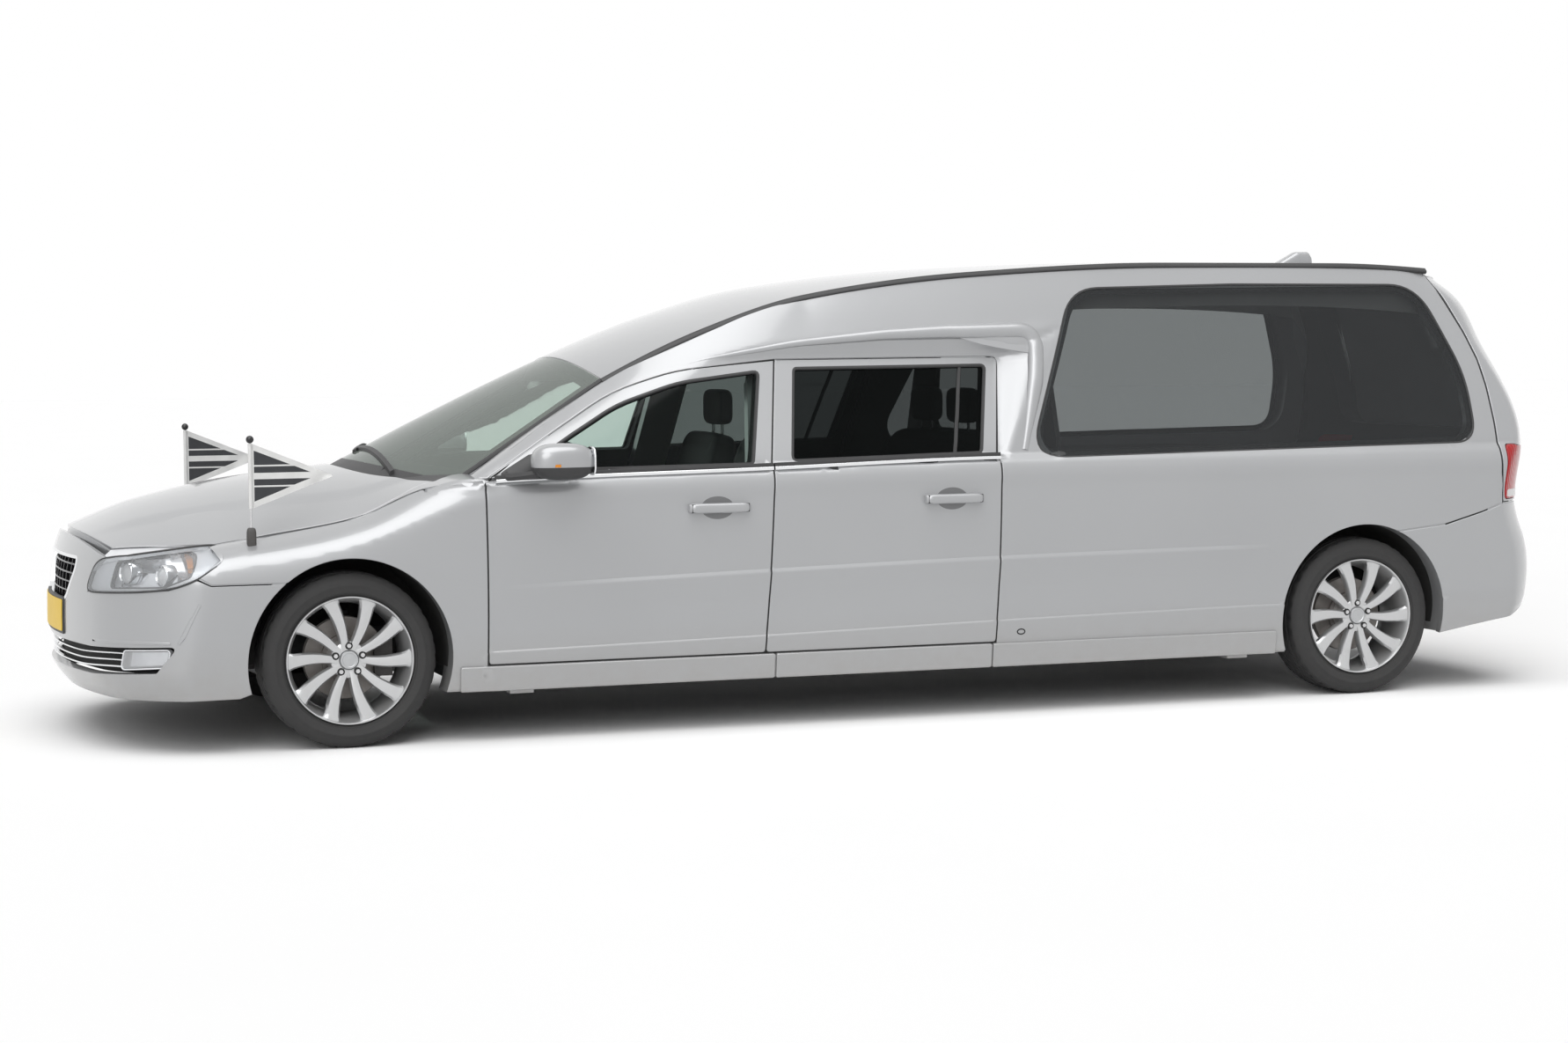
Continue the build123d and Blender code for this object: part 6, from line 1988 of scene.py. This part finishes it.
        for name, shape, finish in (
            ("headlamp_seals", seal, TRIM),
            ("headlamp_bowls", bowl, REFLECT),
            ("headlamp_bezels", bezel, SATIN),
            ("headlamp_edges", edge, GLOSS),
            ("headlamp_projectors", merged(domes), WHITE),
            ("headlamp_rings", merged(rings), CHROME),
            ("turn_lamps", skin(NOSE, turn_line, step=0.01, lift=-0.012, edge=0.003, flange=0.02), AMBER),
            ("fog_lenses", skin(NOSE, fog_line, step=0.015, lift=-0.006, edge=0.004, flange=0.02), FOG),
            ("fog_bowls", skin(NOSE, cup, step=0.015, lift=-0.030, edge=0.001, flange=-0.016), REFLECT),
            ("fog_rims", fog_rim, SATIN),
        ):
            place(name, shape.both(), finish, "body")

    def build(self) -> None:
        """Make and place the front end."""
        place("front_bumper_skin", self.bumper(), PAINT, "body", ["front_bumper"])
        upright = [nose(z, x=x) for x, z in self.upright_fold]
        across = [nose(0.406, x=f(0.640)), *[nose(z, y=y) for y, z in self.cross_fold]]
        folds = [strip(NOSE, densify(line, 0.03)[:-1], 0.006, -0.004, 0.0062) for line in (upright, across)]
        folds += [fold.mirrored() for fold in folds]
        place("bumper_folds", merged(folds), PAINT, "body")
        place("grille_bars", self.crate(), GLOSS, "body", ["grilles"])
        place("grille_rim", strip(NOSE, self.grille_line(-0.004), 0.006, -0.020, 0.006, True), CHROME, "body")
        # Near-black sheets behind the grille and the intake: painted shadow in the openings.
        backs = (("grille", self.grille_line(0.01), 0.050), ("intake", self.intake_line(0.01), 0.045))
        for name, line, depth in backs:
            shadow_backing = skin(NOSE, line, step=0.05, lift=-depth, flange=0.004)
            place(f"{name}_backing", shadow_backing, SHADOW, "body")
        bars = []
        share = np.linspace(0.0005, 1, 30)
        for z in (0.304, 0.328, 0.352):
            line = [nose(z + 0.012 * ramp(t, 0.55, 1.0), y=0.735 * t) for t in share]
            half = strip(NOSE, line, 0.0030, -0.020, -0.008)
            bars += [half, half.mirrored()]
        place("intake_bars", merged(bars), CHROME, "body")
        self.lamps()
        frame_line = rounded([(-0.268, 0.396), (0.268, 0.396), (0.268, 0.534), (-0.268, 0.534)], 0.012)
        plate_line = rounded([(-0.258, 0.407), (0.258, 0.407), (0.258, 0.524), (-0.258, 0.524)], 0.008)
        place("plate_holder", skin(NOSE, frame_line, step=0.05, lift=0.010, flange=0.012), TRIM, "body")
        plate = skin(NOSE, plate_line, step=0.05, lift=0.0135, edge=0.001, flange=0.003)
        place("number_plate", plate, PLATE, "body")


@dataclass
class RearEnd:
    """Tailgate, its glass and lamps, and the rear bumper."""

    window: tuple = ((0.640, 1.060), (0.500, 1.640))
    lamp_z: Pair = (0.784, 1.003)
    lamp_inner: float = 0.56

    def window_line(self, grow: float = 0.0) -> list[Pair]:
        """Outline of the tailgate's window on the tail's chart."""
        (low_y, low_z), (high_y, high_z) = self.window
        half = [tail(low_z - grow, y=low_y + grow), tail(high_z + grow, y=high_y + grow)]
        return rounded([*half, *opposite(half)], 0.07)

    def lamp_line(self, grow: float = 0.0) -> list[Pair]:
        """Outline of the left tail lamp on the tail's chart."""
        low, high = self.lamp_z
        low, high, inner = low - grow, high + grow, self.lamp_inner - grow
        return rounded([tail(low, y=inner), tail(low, x=r(-0.674) + grow), tail(high, x=r(-0.690) + grow),
                        tail(high, y=inner)], 0.02)

    def gate(self) -> Shape:
        """The painted tailgate."""
        half = [tail(z, x=tail_x(z) - SEAM) for z in np.linspace(0.774, 1.715, 44)]
        lamps = self.lamp_line(0.002)
        top = [tail(1.728, y=0.50), tail(1.737, y=0.30), tail(1.740, y=0.001)]
        outline = [*half, *top, *opposite([*half, *top])]
        holes = [self.window_line(0.002), lamps, opposite(lamps)]
        return skin(TAIL, outline, holes, step=0.024, lift=0.0065, flange=0.022)

    def cap(self) -> Shape:
        """The tailgate's upper edge, in line with the roof."""
        ys = np.linspace(-1, 1, 31)
        lead = [(r(-0.4515) - 0.013 * t * t, 0.595 * t) for t in ys]
        stern = [(-2.736 + 0.022 * t * t + 0.160 * abs(t) ** 6, 0.59 * t) for t in ys[::-1]]
        return skin(EAVES, [*lead, *stern], step=0.03, edge=0.004, flange=0.012)

    def bumper(self) -> Shape:
        """The painted rear bumper."""
        half = [tail(0.766, y=0.001), tail(0.766, y=0.3), tail(0.766, y=0.6), tail(0.766, x=r(-0.70)),
                tail(0.7655, x=r(-0.661)), tail(0.733, x=r(-0.56)), tail(0.686, x=r(-0.384))]
        half += [tail(z, x=x) for x, z in arch(REAR_AXLE, 0.378, (-1, 0.664), (-1, 0.236), 24)]
        half += [tail(0.262, x=r(-0.52)), tail(0.292, x=r(-0.70)), tail(0.335, x=r(-0.83)), tail(0.372, y=0.55),
                 tail(0.380, y=0.001)]
        return skin(TAIL, [*half, *opposite(half)], step=0.03, flange=0.03)

    def build(self) -> None:
        """Make and place the rear end."""
        place("tailgate_skin", self.gate(), PAINT, "tailgate")
        place("tailgate_cap", self.cap(), PAINT, "tailgate")
        pane = skin(TAIL, self.window_line(), step=0.04, lift=0.001, flange=0.006)
        place("tailgate_pane", pane, SMOKE, "tailgate", ["tailgate_glass"])
        lens = skin(TAIL, self.lamp_line(), step=0.02, lift=0.009, edge=0.005, flange=0.03)
        place("tail_lenses", lens.both(), RED, "tailgate")
        inner = self.lamp_inner + 0.012
        mid = rounded([tail(0.791, y=inner), tail(0.791, x=r(-0.683)), tail(0.824, x=r(-0.686)),
                       tail(0.824, y=inner)], 0.010)
        clear = skin(TAIL, mid, step=0.02, lift=0.0112, edge=0.003, flange=0.006)
        place("tail_clear_lenses", clear.both(), WHITE, "tailgate")
        place("rear_bumper_skin", self.bumper(), PAINT, "body")
        plate = rounded([(-0.26, 0.82), (0.26, 0.82), (0.26, 0.935), (-0.26, 0.935)], 0.008)
        holder = rounded([(-0.272, 0.808), (0.272, 0.808), (0.272, 0.947), (-0.272, 0.947)], 0.012)
        place("rear_plate_holder", skin(TAIL, holder, step=0.05, lift=0.009, flange=0.008), TRIM, "tailgate")
        plate_skin = skin(TAIL, plate, step=0.05, lift=0.0125, edge=0.001, flange=0.003)
        place("rear_plate", plate_skin, PLATE, "tailgate")
        grip = rounded([(-0.32, 0.975), (0.32, 0.975), (0.31, 1.01), (-0.31, 1.01)], 0.015)
        grip_skin = skin(TAIL, grip, step=0.05, lift=0.016, edge=0.008, flange=0.016)
        place("tailgate_grip", grip_skin, CHROME, "tailgate")
        pad = [tail(0.44, y=0.001), tail(0.44, y=0.4), tail(0.455, y=0.72), tail(0.50, y=0.72),
               tail(0.515, y=0.4), tail(0.515, y=0.001)]
        pad_line = rounded([*pad, *opposite(pad)], 0.006)
        pad_skin = skin(TAIL, pad_line, step=0.04, lift=0.009, edge=0.004, flange=0.01)
        place("rear_bumper_pad", pad_skin, TRIM, "body")


@dataclass
class Wheels:
    """Alloy wheels, brake discs and tyres, drawn about the Y axis with the outer face to the left."""

    spokes: int = 10
    bolts: int = 5
    tread: tuple = ((0.3175, 0.088), (0.3188, 0.074), (0.3192, 0.063), (0.3125, 0.062), (0.3125, 0.054),
                    (0.3197, 0.053), (0.3200, 0.030), (0.3130, 0.029), (0.3130, 0.021), (0.3200, 0.020))
    wall: tuple = ((0.224, 0.095), (0.2365, 0.096), (0.2400, 0.102), (0.2460, 0.1045), (0.2475, 0.1080),
                   (0.2560, 0.1105), (0.2700, 0.1122), (0.2716, 0.1132), (0.2770, 0.1132), (0.2786, 0.1120),
                   (0.2900, 0.1098), (0.3000, 0.1050), (0.3080, 0.0985), (0.3140, 0.0935))
    rim: tuple = ((0.206, -0.070), (0.216, -0.106), (0.230, -0.108), (0.233, -0.104), (0.233, -0.097),
                  (0.224, -0.096), (0.222, -0.070), (0.212, -0.050), (0.212, 0.060), (0.222, 0.075),
                  (0.224, 0.096), (0.2335, 0.098), (0.2345, 0.103), (0.2325, 0.1075), (0.2290, 0.1075),
                  (0.2265, 0.104), (0.2235, 0.0960), (0.2170, 0.078), (0.2090, 0.050), (0.2030, 0.000),
                  (0.2000, -0.040))
    hub: tuple = ((0.070, -0.043), (0.068, 0.062), (0.066, 0.074), (0.062, 0.0770), (0.037, 0.0780),
                  (0.034, 0.072), (0.0008, 0.072), (0.0008, -0.043))
    cap: tuple = ((0.0335, 0.070), (0.0335, 0.083), (0.0315, 0.0855), (0.026, 0.0862), (0.024, 0.0846),
                  (0.0008, 0.0860), (0.0008, 0.070))
    disc: tuple = ((0.066, -0.036), (0.150, -0.036), (0.152, -0.034), (0.152, -0.026), (0.148, -0.024),
                   (0.148, -0.018), (0.152, -0.016), (0.152, -0.011), (0.150, -0.0085), (0.088, -0.0085),
                   (0.086, 0.002), (0.066, 0.002))
    bolt: tuple = ((0.0095, 0.070), (0.0095, 0.0840), (0.0080, 0.0870), (0.0006, 0.0880), (0.0006, 0.070))
    well: tuple = ((0.0140, 0.070), (0.0140, 0.0815), (0.0128, 0.0822), (0.0006, 0.0822), (0.0006, 0.070))

    def tyre(self) -> Shape:
        """A tyre with grooved tread and blocked shoulders."""
        half = [*self.wall, *self.tread]
        turns = 144
        shape = lathe([*half, *[(rad, -y) for rad, y in reversed(half)]], turns)
        step = np.arange(len(shape.points)) % turns
        radius = np.hypot(shape.points[:, 0], shape.points[:, 2])
        notch = (np.abs(shape.points[:, 1]) > 0.0615) & (radius > 0.3165) & (step % 4 == 0)
        scale = np.where(notch, (radius - 0.005) / radius, 1.0)
        shape.points[:, 0] *= scale
        shape.points[:, 2] *= scale
        return shape

    def spoke(self, turn: float) -> Shape:
        """One spoke, crowned and widening to the rim."""
        rows = np.linspace(0.040, 0.2255, 18)
        rings = []
        for rad in rows:
            t = (rad - 0.040) / 0.1855
            half = 0.0140 + 0.0140 * t**1.2 + 0.005 * max(0.0, t - 0.88) / 0.12
            top = 0.0795 + 0.0120 * math.sin(math.pi * min(1.0, t * 0.62)) + 0.009 * t * t
            low = top - 0.036 + 0.004 * t
            lean = 0.010 * math.sin(math.pi * t)
            flank = [(half, low), (half * 1.05, top - 0.010), (half * 0.78, top - 0.0015), (half * 0.3, top)]
            section = [*[(-z, y) for z, y in flank], *reversed(flank)]
            rings.append([(rad, y, z + lean) for z, y in section])
        return stacked(rings).moved(Matrix.Rotation(turn, 4, "Y"))

    def build(self) -> None:
        """Make the four wheels and place them on their bodies."""
        spokes = [self.spoke(2 * math.pi * n / self.spokes) for n in range(self.spokes)]
        alloy = lathe(self.rim, 120).joined(lathe(self.hub, 60), *spokes)
        spots = [Matrix.Translation((x, 0.0, z)) for x, z in self.bolt_circle()]
        pieces = {
            "alloy": (alloy, ALLOY, "wheel"),
            "hub_cap": (lathe(self.cap, 48), GALV, ""),
            "wheel_bolts": (merged([lathe(self.bolt, 6).moved(spot) for spot in spots]), STEEL, ""),
            # Black cups round the wheel bolts: painted shadow of the bolt holes.
            "bolt_well_shadows": (merged([lathe(self.well, 24).moved(spot) for spot in spots]), SHADOW, ""),
            "disc": (lathe(self.disc, 96), DISC, ""),
            "rubber": (self.tyre(), RUBBER, "tyre"),
        }
        for end, x in (("front", FRONT_AXLE), ("rear", REAR_AXLE)):
            spot = Matrix.Translation((x, WHEEL_Y, AXLE_Z))
            for name, (shape, finish, solid) in pieces.items():
                node = f"{solid}_{end}_{{side}}" if solid else ""
                pair(f"{name}_{end}", shape.moved(spot), finish, f"wheel_{end}_{{side}}", node)

    def bolt_circle(self) -> list[Pair]:
        """Places of the wheel bolts about the axle."""
        angles = [2 * math.pi * n / self.bolts + 0.31 for n in range(self.bolts)]
        return [(0.052 * math.cos(a), 0.052 * math.sin(a)) for a in angles]


@dataclass
class Flags:
    """Fender staffs with their pennants."""

    x: float = f(0.337)
    y: float = 0.820
    top: float = 1.125
    hoist: Pair = (0.876, 1.110)
    tip: Pair = (f(0.042), 0.989)

    def tube(self, low: float, high: float, radius: float, sides: int = 20) -> Shape:
        """An upright rod."""
        path = np.array([(self.x, self.y, z) for z in np.linspace(low, high, 6)])
        return sweep(path, np.tile([0.0, 1.0, 0.0], (6, 1)), oval(0.0, 0.0, radius, radius, sides))

    def pennant(self) -> Shape:
        """A three-cornered sheet that ripples away from its staff."""
        low, high = self.hoist
        start = self.x - 0.006
        points, across, along = [], 24, 34
        for i in range(along + 1):
            u = i / along
            span = (high - low) / 2 * (1 - 0.975 * u)
            middle = (low + high) / 2 * (1 - u) + self.tip[1] * u
            for j in range(across + 1):
                v = 2 * j / across - 1
                wave = 0.0075 * u * math.sin(9.5 * u + 1.2 * v) + 0.003 * u * math.sin(19 * u - 2 * v)
                points.append((start - u * (start - self.tip[0]), self.y + wave, middle + v * span))
        step = across + 1
        faces = [(i * step + j, i * step + j + 1, (i + 1) * step + j + 1, (i + 1) * step + j)
                 for i in range(along) for j in range(across)]
        return Shape(np.array(points), faces)

    def build(self) -> None:
        """Make and place the staffs and pennants."""
        rod = self.tube(0.70, self.top, 0.004)
        knob = pebble((self.x, self.y, 0.764), (0.0165, 0.0165, 0.044), 0.45)
        clamp = self.tube(0.705, 0.795, 0.0105).joined(knob)
        place("flag_rods", rod.both(), STEEL, "body", ["flag_staffs"])
        place("flag_clamps", clamp.both(), IRON, "body")
        ball = pebble((self.x, self.y, self.top), (0.014, 0.014, 0.014), 1.0)
        place("flag_balls", ball.both(), GLOSS, "body")
        sleeve = self.tube(self.hoist[0], self.hoist[1], 0.0075, 24)
        sleeves = pair("pennant_sleeve", sleeve, CLOTH, "body")
        cloth = self.pennant()
        width, length = self.hoist[1] - self.hoist[0], self.x - self.tip[0]
        for hand, tube in zip(Hand, sleeves):
            shape = cloth if hand is Hand.LEFT else cloth.mirrored()
            nodes = ["pennants"] if hand is Hand.LEFT else []
            sheet = place(f"pennant_{hand.value}", shape, CLOTH, "body", nodes)
            0.5 * width * length


@dataclass
class Cabin:
    """Seats, and the finishes of the solids that stay in view."""

    seat_x: float = f(-1.420)
    bench_x: float = r(1.790)
    seat_y: float = 0.370

    def seat(self, name: str, x: float, y: float, width: float, rests: Sequence[float],
             nodes: Sequence[str]) -> None:
        """A seat of padded pieces on a plinth.

        Args:
            name: Name of the seat.
            x: Station of its hip line.
            y: Its middle.
            width: Its width.
            rests: Y of each head restraint.
            nodes: Solids it stands for.
        """
        half = width / 2
        seat = Matrix.Translation((x + 0.020, y, 0.462))
        tilt = Matrix.Translation((x - 0.300, y, 0.775)) @ Matrix.Rotation(math.radians(-14.5), 4, "Y")
        pads = {
            "cushion": self.quilt((0.275, half - 0.004, 0.062), 0.32, 4).moved(seat),
            "back": self.quilt((0.058, half - 0.004, 0.310), 0.32, 5).moved(tilt),
        }
        for n, rest in enumerate(rests):
            spot = Matrix.Translation((x - 0.405, rest, 1.185))
            pads[f"rest_{n + 1}"] = self.quilt((0.034, 0.128, 0.074), 0.45, 0).moved(spot)
        for part, shape in pads.items():
            thing = place(f"{name}_{part}", shape, HIDE, "body", nodes if part == "cushion" else [], 180.0)
        posts = []
        for post_y in (rest + side for rest in rests for side in (-0.06, 0.06)):
            path = np.array([(x - 0.405, post_y, z) for z in (1.04, 1.08, 1.13)])
            posts.append(sweep(path, np.tile([1.0, 0.0, 0.0], (3, 1)), oval(0.0, 0.0, 0.006, 0.006, 12)))
        place(f"{name}_posts", merged(posts), STEEL, "body")
        place(f"{name}_plinth", pebble((x, y, 0.345), (0.215, half - 0.045, 0.068), 0.2), FELT, "body")

    @staticmethod
    def quilt(size: Sequence[float], square: float, channels: int) -> Shape:
        """A crowned pad with sewn channels across it."""
        shape = pebble((0, 0, 0), size, square, 72, 48)
        share = shape.points / np.array(size)
        long = 2 if size[2] > size[0] else 0
        if channels:
            groove = np.abs(np.sin(share[:, long] * math.pi * channels / 2)) ** 0.35
            inner = (np.abs(share[:, 1]) < 0.72).astype(float)
            face = 0 if long == 2 else 2
            depth = 0.010 * (1 - groove) * inner * (np.abs(share[:, face]) > 0.5)
            shape.points[:, face] -= np.sign(share[:, face]) * depth
        return shape

    def build(self) -> None:
        """Make the seats and dress the solids."""
        self.seat("driver_seat", self.seat_x, self.seat_y, 0.50, [self.seat_y], ["front_seats"])
        self.seat("mate_seat", self.seat_x, -self.seat_y, 0.50, [-self.seat_y], [])
        self.seat("bench", self.bench_x, 0.0, 1.36, [-0.40, 0.0, 0.40], ["rear_bench"])
        finishes = {
            PAINT: ["body_side_left", "body_side_right", "front_fenders", "side_skirts", "bonnet",
                    "rear_bumper"],
            LINING: ["roof_panel"],
            TRIM: ["cowl", "partition"],
            DASH: ["dashboard", "door_front_left", "door_front_right", "door_rear_left", "door_rear_right",
                   "tailgate"],
            HIDE: ["steering_wheel"],
            RED: ["tail_lamps"],
            UNDERSEAL: ["wheel_liners", "front_subframe"],
            FELT: ["floor_pan"],
            IRON: ["engine_block", "rear_axle", "knuckle_left", "knuckle_right"],
            STEEL: ["exhaust"],
            GALV: ["coffin_deck"],
        }
        for finish, names in finishes.items():
            for name in names:
                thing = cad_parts[name]
                thing.data.materials.clear()
                thing.data.materials.append(finish.material())
        place("aerial_fin", self.fin_core(), PAINT, "body")

    @staticmethod
    def fin_core() -> Shape:
        """The painted core under the aerial's cover."""
        rings = []
        angle = round_angles(32)
        for rise in np.linspace(0, 1, 9):
            front, back = r(-0.055) - 0.150 * rise, r(-0.255)
            wide = 0.032 * (1 - 0.35 * rise) * (1.0 if rise < 1 else 0.5)
            along = (front + back) / 2 + (front - back) / 2 * np.cos(angle)
            rings.append(np.stack((along, wide * np.sin(angle), np.full(32, 1.752 + 0.079 * rise)), 1))
        return stacked(rings)


@dataclass
class Studio:
    """Floor, light and camera."""

    width: int = 1782
    focal: float = 3314.26
    place_at: tuple = (4.12215, 11.32314, 1.49225)
    yaw: float = 19.5415
    pitch: float = 3.6924
    roll: float = -0.3975

    def camera(self) -> None:
        """The photograph's camera."""
        yaw, pitch, roll = (math.radians(v) for v in (self.yaw, self.pitch, self.roll))
        ahead = Vector((-math.sin(yaw) * math.cos(pitch), -math.cos(yaw) * math.cos(pitch), -math.sin(pitch)))
        right = ahead.cross(Vector((0, 0, 1))).normalized()
        up = right.cross(ahead)
        turned = math.cos(roll) * right + math.sin(roll) * up
        upright = -math.sin(roll) * right + math.cos(roll) * up
        data = bpy.data.cameras.new("photo_camera")
        data.sensor_width = 36.0
        data.lens = self.focal / self.width * 36.0
        data.clip_end = 200.0
        thing = bpy.data.objects.new("photo_camera", data)
        basis = Matrix((turned, upright, -ahead)).transposed().to_4x4()
        thing.matrix_world = Matrix.Translation(self.place_at) @ basis
        bpy.context.scene.collection.objects.link(thing)
        bpy.context.scene.camera = thing

    def lamp(self, name: str, at: Sequence[float], spread: float, power: float) -> None:
        """A soft light from far off, so that it falls evenly on the floor.

        Args:
            name: Name of the light.
            at: Where it stands as seen from the car.
            spread: Its width in degrees.
            power: Its strength.
        """
        data = bpy.data.lights.new(name, "SUN")
        data.angle = math.radians(spread)
        data.energy = power
        thing = bpy.data.objects.new(name, data)
        thing.location = at
        thing.rotation_euler = (-Vector(at)).to_track_quat("-Z", "Y").to_euler()
        bpy.context.scene.collection.objects.link(thing)

    def floor(self) -> None:
        """A pale floor that keeps the car's shadow."""
        mesh = bpy.data.meshes.new("studio_floor")
        mesh.from_pydata([(-60, -60, 0), (60, -60, 0), (60, 60, 0), (-60, 60, 0)], [], [(0, 1, 2, 3)])
        made = Dress("pale_floor")
        soft = made.noise(0.8, 3.0)
        made.feed(made.shader, {
            "Base Color": made.mix(soft, (0.965, 0.965, 0.965), (0.985, 0.985, 0.985)),
            "Roughness": 0.85 + soft * 0.1,
            "Specular IOR Level": 0.1,
        })
        mesh.materials.append(made.material)
        thing = bpy.data.objects.new("studio_floor", mesh)
        bpy.context.scene.collection.objects.link(thing)

    def world(self) -> None:
        """An even sky that looks white to the camera, in gloss and through glass."""
        world = bpy.data.worlds.new("studio_world")
        world.use_nodes = True
        tree = world.node_tree
        shade = tree.nodes["Background"]
        shade.inputs["Color"].default_value = (1.0, 1.0, 1.0, 1.0)
        ray = tree.nodes.new("ShaderNodeLightPath")
        seen = Sock(tree, ray.outputs["Is Camera Ray"]) + Sock(tree, ray.outputs["Is Glossy Ray"])
        seen = seen + Sock(tree, ray.outputs["Is Transmission Ray"])
        strength = (seen > 0.5) * 0.78 + 0.22
        tree.links.new(strength.socket, shade.inputs["Strength"])
        bpy.context.scene.world = world

    def build(self) -> None:
        """Set the stage."""
        self.camera()
        self.floor()
        self.world()
        self.lamp("overhead", (0.8, 1.8, 6.5), 60.0, 2.15)
        self.lamp("key", (5.0, 8.0, 4.5), 40.0, 1.05)
        bpy.context.scene.view_settings.view_transform = "Standard"


def main() -> None:
    """Build the car piece by piece and set the stage."""
    logging.basicConfig(level=logging.INFO, format="%(message)s")
    parts = (Studio, Bodywork, Glazing, Brightwork, FrontEnd, RearEnd, Wheels, Flags, Cabin)
    for part in parts:
        LOG.info("Building %s", part.__name__)
        part().build()


if __name__ == "__main__":
    main()
